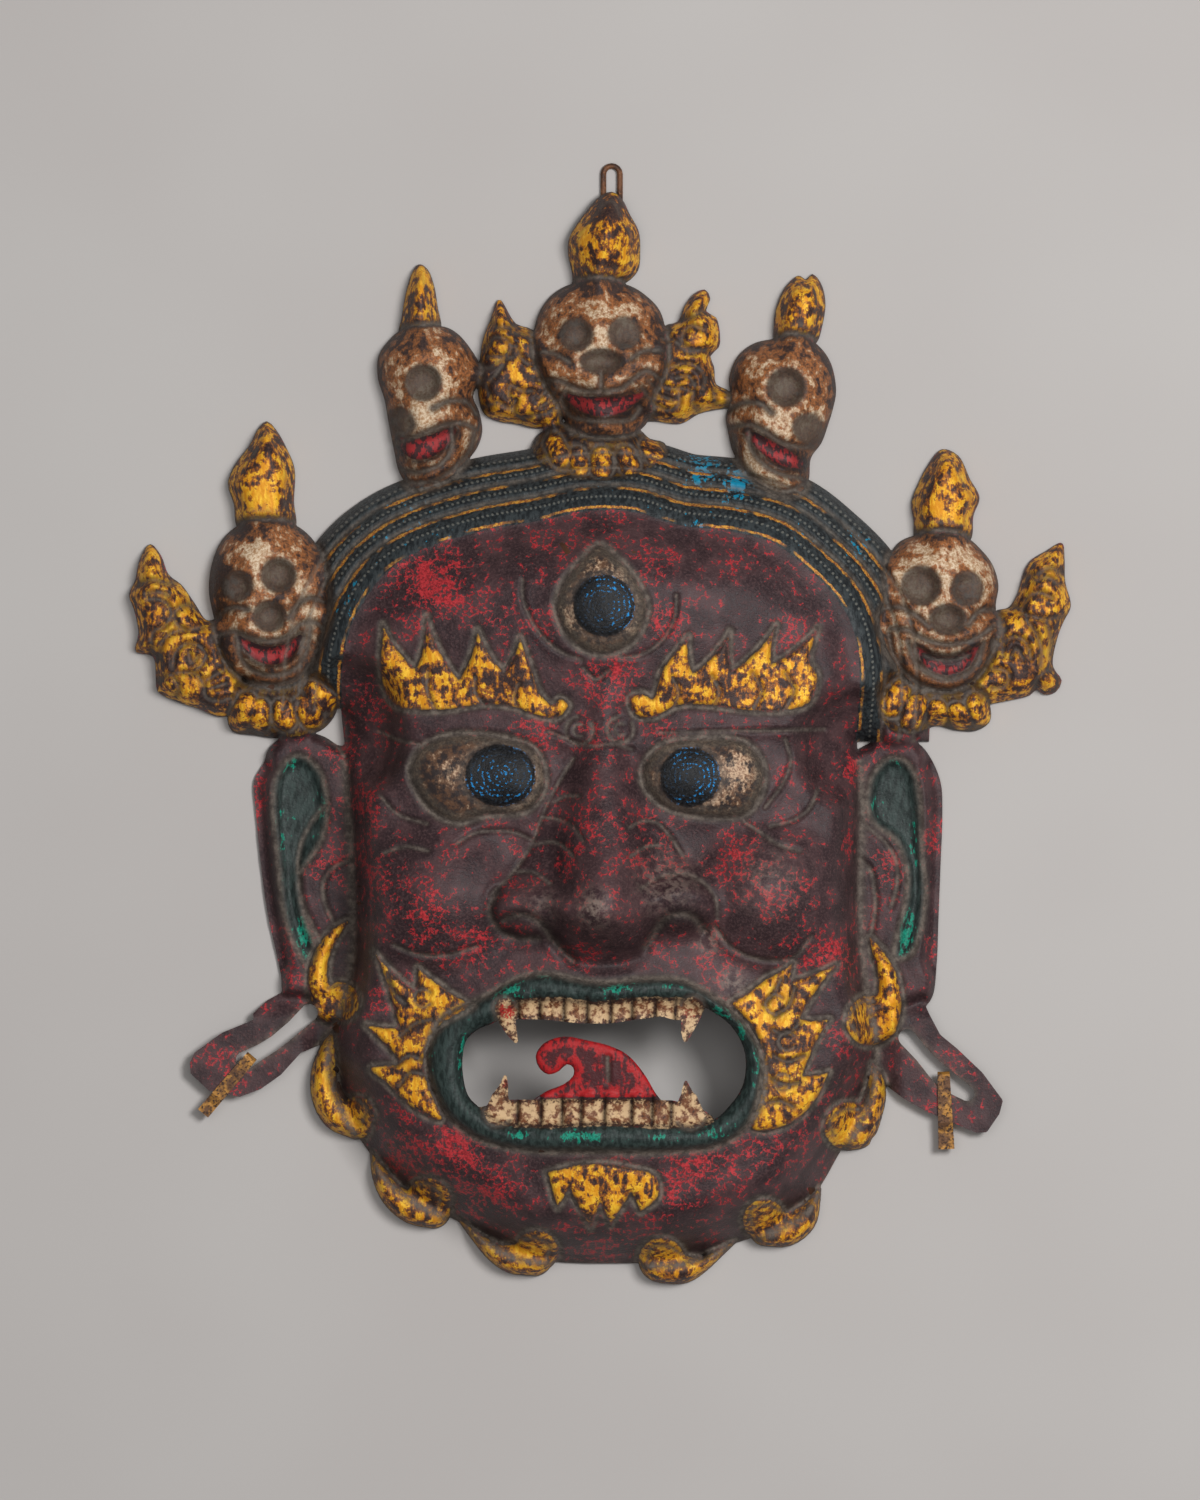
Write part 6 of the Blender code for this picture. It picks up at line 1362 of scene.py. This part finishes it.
def thinned_front(points, triangles, height):
    """Fewer triangles where the sheet is smooth, with its rim left as it is."""
    thing = plain_mesh("front_draft", np.column_stack([points, height]), triangles)
    rim = np.unique(rim_edges(triangles))
    ring = np.unique(triangles[np.isin(triangles, rim).any(axis=1)])
    free = np.setdiff1d(np.arange(len(points)), ring)
    group = thing.vertex_groups.new(name="free")
    group.add(free.tolist(), 1.0, "REPLACE")
    modifier = thing.modifiers.new("Decimate", "DECIMATE")
    modifier.ratio = min(1.0, FRONT_BUDGET / len(triangles))
    modifier.vertex_group = "free"
    mesh = thing.evaluated_get(bpy.context.evaluated_depsgraph_get()).to_mesh()
    flat = np.empty(len(mesh.vertices) * 3)
    mesh.vertices.foreach_get("co", flat)
    mesh.calc_loop_triangles()
    corners = np.empty(len(mesh.loop_triangles) * 3, np.int32)
    mesh.loop_triangles.foreach_get("vertices", corners)
    bpy.data.objects.remove(thing)
    return flat.reshape(-1, 3) / MILLIMETRE, corners.reshape(-1, 3)


def inside_rim(spots, points, edges):
    """Which spots lie on the sheet, counted by the rim edges crossed on the way out."""
    inside = np.zeros(len(spots), bool)
    for (ax, ay), (bx, by) in zip(points[edges[:, 0]], points[edges[:, 1]]):
        if ay != by:
            crossed = (ay > spots[:, 1]) != (by > spots[:, 1])
            inside ^= crossed & (spots[:, 0] - ax < (spots[:, 1] - ay) * (bx - ax) / (by - ay))
    return inside


def back_mesh(points, edges):
    """Points and triangles of the back: the front's own rim and a coarse lattice inside it."""
    rim, renumbered = np.unique(edges, return_inverse=True)
    renumbered = renumbered.reshape(-1, 2)
    gx, gy = lattice(BACK_STEP)
    x, y = gx.ravel(), gy.ravel()
    deep = sheet_gap(x, y) < -0.45 * BACK_STEP
    spots = [Vector(spot) for spot in points[rim]] + [Vector(spot) for spot in zip(x[deep], y[deep])]
    result = delaunay_2d_cdt(spots, [tuple(map(int, edge)) for edge in renumbered], [], 0, 1e-5)
    found = np.array([tuple(spot) for spot in result[0]])
    triangles = np.array(result[2])
    middles = found[triangles].mean(axis=1)
    return found, triangles[inside_rim(middles, found, renumbered)], rim


def lowest_near(points, z, spots):
    """Lowest height of the front within half a back facet of each spot."""
    tree = search_tree(points)
    near = [[found[1] for found in tree.find_range((x, y, 0.0), BACK_STEP / 2)] for x, y in spots]
    return np.array([z[group].min() if group else SHEET for group in near])


def store_fields(mesh, fields):
    """Keeps the fields of the front as attributes of the mesh, with 0 on the back."""
    for name, values in fields.items():
        spread = np.zeros(len(mesh.vertices))
        spread[: len(values)] = values
        layer = mesh.attributes.new(name, "FLOAT", "POINT")
        layer.data.foreach_set("value", spread.astype(np.float32))


def copper_sheet():
    """The mask: the chased front, the cut rim and the plain back, as one closed sheet."""
    points, triangles = flat_mesh(FINE_STEP)
    tree = outer_rim(points, triangles)
    x, y = points.T
    draft = chased_front(x, y, soft_form(x, y, rim_distance(tree, x, y), triangles))
    points, triangles = thinned_front(points, triangles, draft.z)
    x, y, z = points.T
    front = chased_front(x, y, z)
    front.fields["front"] = np.ones(len(points))
    points = points[:, :2]
    edges = rim_edges(triangles)
    back, back_triangles, rim = back_mesh(points, edges)
    back_z = np.maximum(lowest_near(points, z, back) - BACK_CLEARANCE, 0.0)
    back_z[: len(rim)] = np.maximum(z[rim] - SHEET, 0.0)
    count = len(points)
    under = np.full(count, -1)
    under[rim] = count + np.arange(len(rim))
    wall = []
    for a, b in edges:
        wall += [(b, a, under[a]), (b, under[a], under[b])]
    corners = np.vstack([np.column_stack([x, y, z]), np.column_stack([back, back_z])])
    facets = np.vstack([triangles, np.array(wall), back_triangles[:, ::-1] + count])
    sheet = plain_mesh("mask_sheet", corners, facets)
    sheet.data.shade_smooth()
    sheet.data.set_sharp_from_angle(angle=math.radians(SHARP_ANGLE))
    store_fields(sheet.data, front.fields)
    return sheet


def shade(red, green, blue):
    """A colour as seen on a screen, 0 to 255, as the linear values of a shader."""
    screen = np.array([red, green, blue]) / 255
    linear = np.where(screen < 0.04045, screen / 12.92, ((screen + 0.055) / 1.055) ** 2.4)
    return (*linear.tolist(), 1.0)


class Graph:
    """The nodes of one material: each method adds one and returns its output."""

    def __init__(self, name):
        self.material = bpy.data.materials.new(name)
        self.material.use_nodes = True
        self.nodes = self.material.node_tree.nodes
        self.links = self.material.node_tree.links
        self.shader = self.nodes["Principled BSDF"]
        self.place = self.nodes.new("ShaderNodeTexCoord").outputs["Object"]

    def give(self, socket, value):
        """Links an output to a socket, or sets the socket to a plain value."""
        if isinstance(value, bpy.types.NodeSocket):
            self.links.new(value, socket)
        else:
            socket.default_value = value

    def field(self, name):
        """A field of the sheet, by its name."""
        node = self.nodes.new("ShaderNodeAttribute")
        node.attribute_name = name
        return node.outputs["Fac"]

    def math(self, operation, a, b=0.0, c=0.0):
        node = self.nodes.new("ShaderNodeMath")
        node.operation = operation
        for socket, value in zip(node.inputs, (a, b, c)):
            self.give(socket, value)
        return node.outputs[0]

    def add(self, a, b):
        return self.math("ADD", a, b)

    def times(self, a, b):
        return self.math("MULTIPLY", a, b)

    def band(self, value, start, end, low=0.0, high=1.0):
        """Goes smoothly from low at start to high at end."""
        node = self.nodes.new("ShaderNodeMapRange")
        node.interpolation_type = "SMOOTHSTEP"
        for name, amount in (("Value", value), ("From Min", start), ("From Max", end), ("To Min", low),
                             ("To Max", high)):
            self.give(node.inputs[name], amount)
        return node.outputs[0]

    def total(self, *parts):
        """Sum of numbers, each with its weight."""
        whole = None
        for value, weight in parts:
            node = self.nodes.new("ShaderNodeMath")
            node.operation = "MULTIPLY_ADD"
            self.give(node.inputs[0], value)
            node.inputs[1].default_value = weight
            self.give(node.inputs[2], whole or 0.0)
            whole = node.outputs[0]
        return whole

    def noise(self, feature, detail=3.0, rough=0.6, stretch=None):
        """Noise whose features are about so many millimetres, as a number and as a colour."""
        place = self.place
        if stretch:
            node = self.nodes.new("ShaderNodeMapping")
            node.inputs["Rotation"].default_value = (0.0, 0.0, math.radians(stretch[0]))
            node.inputs["Scale"].default_value = (1.0, stretch[1], 1.0)
            self.links.new(place, node.inputs["Vector"])
            place = node.outputs[0]
        node = self.nodes.new("ShaderNodeTexNoise")
        node.inputs["Scale"].default_value = 1.0 / (feature * MILLIMETRE)
        node.inputs["Detail"].default_value = detail
        node.inputs["Roughness"].default_value = rough
        self.links.new(place, node.inputs["Vector"])
        return node.outputs["Fac"], node.outputs["Color"]

    def pushed(self, warp, amount):
        """The place on the object, pushed about by a noise colour."""
        push = self.nodes.new("ShaderNodeVectorMath")
        push.operation = "MULTIPLY_ADD"
        self.links.new(warp, push.inputs[0])
        push.inputs[1].default_value = (amount * MILLIMETRE,) * 3
        self.links.new(self.place, push.inputs[2])
        return push.outputs[0]

    def cells(self, size, place):
        """Distance to the edge between cells of about this size in millimetres, from 0 to 1."""
        node = self.nodes.new("ShaderNodeTexVoronoi")
        node.voronoi_dimensions = "2D"
        node.feature = "DISTANCE_TO_EDGE"
        node.inputs["Scale"].default_value = 1.0 / (size * MILLIMETRE)
        self.links.new(place, node.inputs["Vector"])
        return node.outputs["Distance"]

    def blend(self, amount, a, b):
        """A colour between two others, a where the amount is 0 and b where it is 1."""
        node = self.nodes.new("ShaderNodeMix")
        node.data_type = "RGBA"
        self.give(node.inputs["Factor"], amount)
        self.give(node.inputs[6], a)
        self.give(node.inputs[7], b)
        return node.outputs[2]

    def tones(self, value, start, end, pair):
        """Goes from the first to the second colour of a pair as the value goes from start to end."""
        return self.blend(self.band(value, start, end), shade(*pair[0]), shade(*pair[1]))

    def bump(self, height, depth):
        """Small relief from a height of 0 to 1, at a depth in millimetres."""
        node = self.nodes.new("ShaderNodeBump")
        node.inputs["Distance"].default_value = depth * MILLIMETRE
        self.links.new(height, node.inputs["Height"])
        self.links.new(node.outputs[0], self.shader.inputs["Normal"])

    def finish(self, colour, rough, metal=0.0):
        """Gives the shader its colour, roughness and metal share, and returns the material."""
        self.give(self.shader.inputs["Base Color"], colour)
        self.give(self.shader.inputs["Roughness"], rough)
        self.give(self.shader.inputs["Metallic"], metal)
        return self.material


def rubbed_lacquer(g, n):
    """Near-black maroon lacquer with a net and scratches of crimson where its top has rubbed off."""
    worn = g.field("rub")
    net = g.cells(2.4, g.pushed(n["warp"], 3.2))
    veins = g.band(net, 0.05, 0.13, 1.0, 0.0)
    here = g.total((worn, 0.5), (n["coarse"], 1.0), (n["mid"], 1.2))
    veins = g.times(veins, g.band(here, 1.24, 1.38))
    score = g.total((worn, 0.55), (n["mid"], 1.5), (n["coarse"], 0.8), (n["fine"], 0.4))
    patch = g.band(score, 1.83, 1.88)
    red = g.math("MAXIMUM", veins, patch)
    base = g.tones(n["coarse"], 0.38, 0.62, LACQUER)
    base = g.blend(g.band(n["fine"], 0.42, 0.75, 0.0, 0.6), base, shade(*SCUFFED_LACQUER))
    crimson = g.tones(n["fine"], 0.38, 0.62, CRIMSON)
    return g.blend(g.times(red, 0.92), base, crimson)


def green_lacquer(g, n):
    """Dark green lacquer with brighter teal strokes."""
    base = g.tones(n["streak"], 0.35, 0.65, GREEN)
    score = g.total((g.field("teal"), 0.5), (n["streak"], 1.0), (n["mid"], 0.9))
    teal = g.tones(n["fine"], 0.35, 0.65, TEAL)
    return g.blend(g.band(score, 1.24, 1.34), base, teal)


def worn_gilding(g, n):
    """Leaf gold worn through to brown in specks and strokes."""
    gold = g.tones(n["streak"], 0.35, 0.65, LEAF_GOLD)
    amber = g.tones(n["fine"], 0.35, 0.65, AMBER)
    dark = g.tones(n["fine"], 0.4, 0.7, UNDER_GOLD)
    score = g.total((n["mid"], 1.3), (n["coarse"], 0.9), (n["streak"], 0.8), (g.field("thin"), 0.3))
    score = g.add(score, g.times(n["fine"], 0.4))
    colour = g.blend(g.band(score, 1.62, 1.74), gold, amber)
    return g.blend(g.band(score, 1.76, 1.9), colour, dark)


def worn_bone(g, n):
    """Cream paint on the middle of a skull, worn to brown at its edge and on its brow."""
    cream = g.tones(n["fine"], 0.35, 0.65, CREAM)
    tan = g.tones(n["fine"], 0.35, 0.65, TAN)
    dark = g.tones(n["fine"], 0.4, 0.7, UNDER_CREAM)
    score = g.total((n["mid"], 1.1), (n["coarse"], 0.9), (n["streak"], 0.4), (g.field("thin"), 0.45),
                    (g.field("cream"), -0.3))
    edge = g.band(g.field("bone"), -5.0, -0.5, 0.0, 0.12)
    score = g.add(score, edge)
    score = g.add(score, g.times(n["fine"], 0.4))
    colour = g.blend(g.band(score, 1.22, 1.4), cream, tan)
    return g.blend(g.band(score, 1.48, 1.66), colour, dark)


def hair_paint(g, n):
    """Dark blue bands with a row of punched dots each, dusty ridges and thin gold lines."""
    out = g.add(g.field("out"), g.times(g.add(n["mid"], -0.5), 1.6))
    colour = g.tones(n["streak"], 0.38, 0.62, HAIR_BLUE)
    step = g.math("FRACT", g.times(g.field("along"), 1.0 / DOT_PITCH))
    step = g.times(g.add(step, -0.5), DOT_PITCH)
    row = g.math("ABSOLUTE", g.add(g.field("out"), -HAIR_DOT_ROWS[0]))
    for middle in HAIR_DOT_ROWS[1:]:
        row = g.math("MINIMUM", row, g.math("ABSOLUTE", g.add(g.field("out"), -middle)))
    dot = g.band(g.math("SQRT", g.add(g.times(step, step), g.times(row, row))), 0.3, 0.55, 0.75, 0.0)
    colour = g.blend(dot, colour, shade(*DOT_GREY))
    score = g.total((g.field("fleck"), 0.5), (n["streak"], 0.8), (n["mid"], 1.2))
    colour = g.blend(g.band(score, 1.36, 1.44), colour, shade(*TURQUOISE))
    line = g.math("ABSOLUTE", g.add(out, -0.5))
    for middle in HAIR_LINES[1:-1]:
        line = g.math("MINIMUM", line, g.math("ABSOLUTE", g.add(out, 1.1 - middle)))
    line = g.times(g.band(line, 0.25, 0.6, 1.0, 0.0), g.band(n["coarse"], 0.4, 0.55))
    gold = g.tones(n["fine"], 0.4, 0.6, THREAD_GOLD)
    return g.blend(line, colour, gold)


def eye_paint(g, n):
    """Brown eyeballs with cream patches, and near-black irises with blue strokes round their middle."""
    ball = g.field("iris")
    brown = g.tones(n["mid"], 0.4, 0.62, EYE_BROWN)
    score = g.total((g.field("cream"), 0.5), (n["mid"], 0.9), (n["streak"], 0.8), (n["fine"], 0.4))
    white = g.tones(n["fine"], 0.35, 0.65, EYE_CREAM)
    colour = g.blend(g.band(score, 1.15, 1.5), brown, white)
    ring = g.band(g.field("eye"), -4.0, -1.4, 0.0, 0.75)
    colour = g.blend(ring, colour, g.tones(n["fine"], 0.35, 0.65, EYE_BORDER))
    arc = g.math("FRACT", g.total((ball, 6.0), (n["mid"], 1.6)))
    blue = g.times(g.band(arc, 0.55, 0.75), g.band(n["fine"], 0.51, 0.6))
    blue = g.times(blue, g.band(n["coarse"], 0.44, 0.56, 0.05, 1.0))
    pupil = g.tones(n["fine"], 0.4, 0.7, PUPIL)
    pupil = g.blend(blue, pupil, shade(*IRIS_BLUE))
    return g.blend(g.band(g.add(ball, g.times(n["mid"], 0.12)), 1.02, 1.1), pupil, colour)


def grin_paint(g, n):
    """Red strokes on dull brown, on the grin of a skull."""
    score = g.total((n["mid"], 1.0), (n["streak"], 1.0))
    return g.tones(score, 0.95, 1.08, GRIN_RED)


def tongue_paint(g, n):
    """Red, worn to maroon most of all on the middle of the tongue."""
    inner = g.band(g.field("tongue"), -6.0, -1.5, 0.28, 0.0)
    score = g.total((n["mid"], 1.0), (n["streak"], 0.8), (n["fine"], 0.4), (inner, 1.0))
    return g.tones(score, 1.04, 1.3, TONGUE_RED)


def tooth_paint(g, n):
    """Cream teeth with a red blush on some and dark specks at their edges."""
    enamel = g.tones(n["mid"], 0.42, 0.58, ENAMEL)
    blush = g.band(g.total((g.field("rub"), 0.45), (n["mid"], 0.6), (n["fine"], 0.8)), 1.08, 1.2)
    enamel = g.blend(blush, enamel, shade(*TOOTH_BLUSH))
    border = g.band(g.field("tooth"), -2.4, -0.4, 0.0, 0.14)
    speck = g.band(g.total((n["fine"], 0.7), (n["mid"], 0.6), (border, 1.0)), 0.69, 0.85)
    return g.blend(speck, enamel, shade(*TOOTH_SPECK))


def sheet_material():
    """The painted copper: one coat over the other, then painted shade, dust, and pale wear with a painted
    highlight, and the bare back.
    """
    g = Graph("painted_copper")
    fine, warp = g.noise(0.9, 3.0, 0.65)
    n = {
        "fine": fine,
        "warp": warp,
        "mid": g.noise(3.0, 3.0, 0.65)[0],
        "coarse": g.noise(12.0, 2.0, 0.6)[0],
        "streak": g.noise(1.3, 2.0, 0.6, (35.0, 0.3))[0],
    }
    wobble = g.times(g.add(n["mid"], -0.5), 1.5)

    def on(name, edge=0.0, soft=0.25):
        return g.band(g.add(g.field(name), wobble), edge - soft, edge + soft, 1.0, 0.0)

    colour = rubbed_lacquer(g, n)
    colour = g.blend(on("green"), colour, green_lacquer(g, n))
    colour = g.blend(on("hair", 0.2), colour, hair_paint(g, n))
    gold = on("gold", -0.3)
    colour = g.blend(gold, colour, worn_gilding(g, n))
    colour = g.blend(on("bone", -0.3), colour, worn_bone(g, n))
    colour = g.blend(on("grin"), colour, grin_paint(g, n))
    colour = g.blend(on("eye"), colour, eye_paint(g, n))
    colour = g.blend(on("tongue"), colour, tongue_paint(g, n))
    colour = g.blend(on("tooth"), colour, tooth_paint(g, n))
    # Painted shade: near-black in grooves, hollows and gaps, from the dark field
    colour = g.blend(g.field("dark"), colour, shade(*PAINTED_SHADE))
    dust = g.times(g.field("dust"), g.band(n["fine"], 0.25, 0.6, 0.6, 1.0))
    colour = g.blend(dust, colour, g.tones(n["mid"], 0.35, 0.65, DUST))
    # Pale wear, with a painted highlight on the right of the nose
    pale = g.times(g.field("pale"), g.band(n["mid"], 0.4, 0.6))
    colour = g.blend(pale, colour, shade(*PALE_WEAR_AND_HIGHLIGHT))
    back = g.tones(n["coarse"], 0.4, 0.6, BACK_COPPER)
    colour = g.blend(g.band(g.field("front"), 0.2, 0.6), back, colour)
    rough = g.add(g.band(n["fine"], 0.3, 0.7, 0.42, 0.6), g.times(g.field("dust"), 0.25))
    g.shader.inputs["Specular IOR Level"].default_value = 0.26
    g.bump(n["fine"], 0.22)
    metal = g.times(g.times(gold, g.math("SUBTRACT", 1.0, dust)), 0.12)
    return g.finish(colour, rough, metal)


def wire_material():
    """Dull brown wire with scraped specks."""
    g = Graph("rusty_wire")
    fine = g.noise(1.0)[0]
    coarse = g.noise(4.0)[0]
    colour = g.tones(coarse, 0.4, 0.6, WIRE_RUST)
    colour = g.blend(g.band(fine, 0.55, 0.7), colour, shade(*WIRE_SCRAPE))
    g.bump(fine, 0.15)
    return g.finish(colour, g.band(fine, 0.3, 0.7, 0.5, 0.8), 0.35)


def band_material(name):
    """Worn gilding over brown copper, for the bands of the ear lobes."""
    g = Graph(name)
    fine = g.noise(1.0)[0]
    coarse = g.noise(5.0)[0]
    colour = g.tones(coarse, 0.42, 0.58, BAND_GILDING)
    colour = g.blend(g.band(fine, 0.52, 0.62), colour, shade(*BAND_WEAR))
    g.bump(fine, 0.15)
    return g.finish(colour, g.band(fine, 0.3, 0.7, 0.45, 0.75), 0.4)


def wall_material():
    """A pale plain wall with the least change of tone."""
    g = Graph("plain_wall")
    tone = g.noise(180.0, 2.0)[0]
    colour = g.tones(tone, 0.3, 0.7, WALL)
    return g.finish(colour, 0.85)


def dress(thing, material):
    """Gives an object this one material."""
    thing.data.materials.clear()
    thing.data.materials.append(material)


def area_light(name, place, side, power):
    """A square white light that looks at the middle of the mask."""
    light = bpy.data.lights.new(name, "AREA")
    light.size = side
    light.energy = power
    lamp = bpy.data.objects.new(name, light)
    lamp.location = place
    lamp.rotation_euler = (-Vector(place)).to_track_quat("-Z", "Y").to_euler()
    bpy.context.scene.collection.objects.link(lamp)


def studio():
    """The pale wall that the mask lies on, as a floor, with soft light."""
    bpy.ops.mesh.primitive_plane_add(size=FLOOR_SIDE, location=(0, 0, 0))
    floor = bpy.context.object
    floor.name = "wall_floor"
    dress(floor, wall_material())
    area_light("key", KEY_PLACE, KEY_SIDE, KEY_POWER)
    area_light("fill", FILL_PLACE, FILL_SIDE, FILL_POWER)
    world = bpy.data.worlds.new("studio")
    world.use_nodes = True
    world.node_tree.nodes["Background"].inputs["Color"].default_value = (1.0, 1.0, 1.0, 1.0)
    world.node_tree.nodes["Background"].inputs["Strength"].default_value = WORLD_LIGHT
    bpy.context.scene.world = world
    bpy.context.scene.view_settings.view_transform = "Standard"


def photo_camera():
    """The camera straight above, framed as in the photograph."""
    data = bpy.data.cameras.new("camera")
    data.sensor_fit = "VERTICAL"
    data.sensor_height = SENSOR_HEIGHT
    data.lens = data.sensor_height * CAMERA_HEIGHT / PHOTO_HEIGHT
    data.clip_end = 10.0
    camera = bpy.data.objects.new("camera", data)
    camera.location = (0.0, PHOTO_CENTRE_Y, CAMERA_HEIGHT)
    bpy.context.scene.collection.objects.link(camera)
    bpy.context.scene.camera = camera


def main():
    """Builds the sheet, dresses all pieces and sets up the wall, the light and the camera."""
    sheet = copper_sheet()
    dress(sheet, sheet_material())
    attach(sheet, "root")
    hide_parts("mask")
    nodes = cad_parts
    dress(nodes["hanging_loop"], wire_material())
    dress(nodes["earring_band_left"], band_material("gilded_band_left"))
    dress(nodes["earring_band_right"], band_material("gilded_band_right"))
    studio()
    photo_camera()


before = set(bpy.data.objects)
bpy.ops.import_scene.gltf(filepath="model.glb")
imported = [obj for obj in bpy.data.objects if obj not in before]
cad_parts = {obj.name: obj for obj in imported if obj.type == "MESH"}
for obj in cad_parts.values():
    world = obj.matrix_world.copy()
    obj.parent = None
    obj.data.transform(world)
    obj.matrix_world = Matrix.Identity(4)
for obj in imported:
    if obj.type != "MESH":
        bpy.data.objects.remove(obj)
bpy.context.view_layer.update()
main()
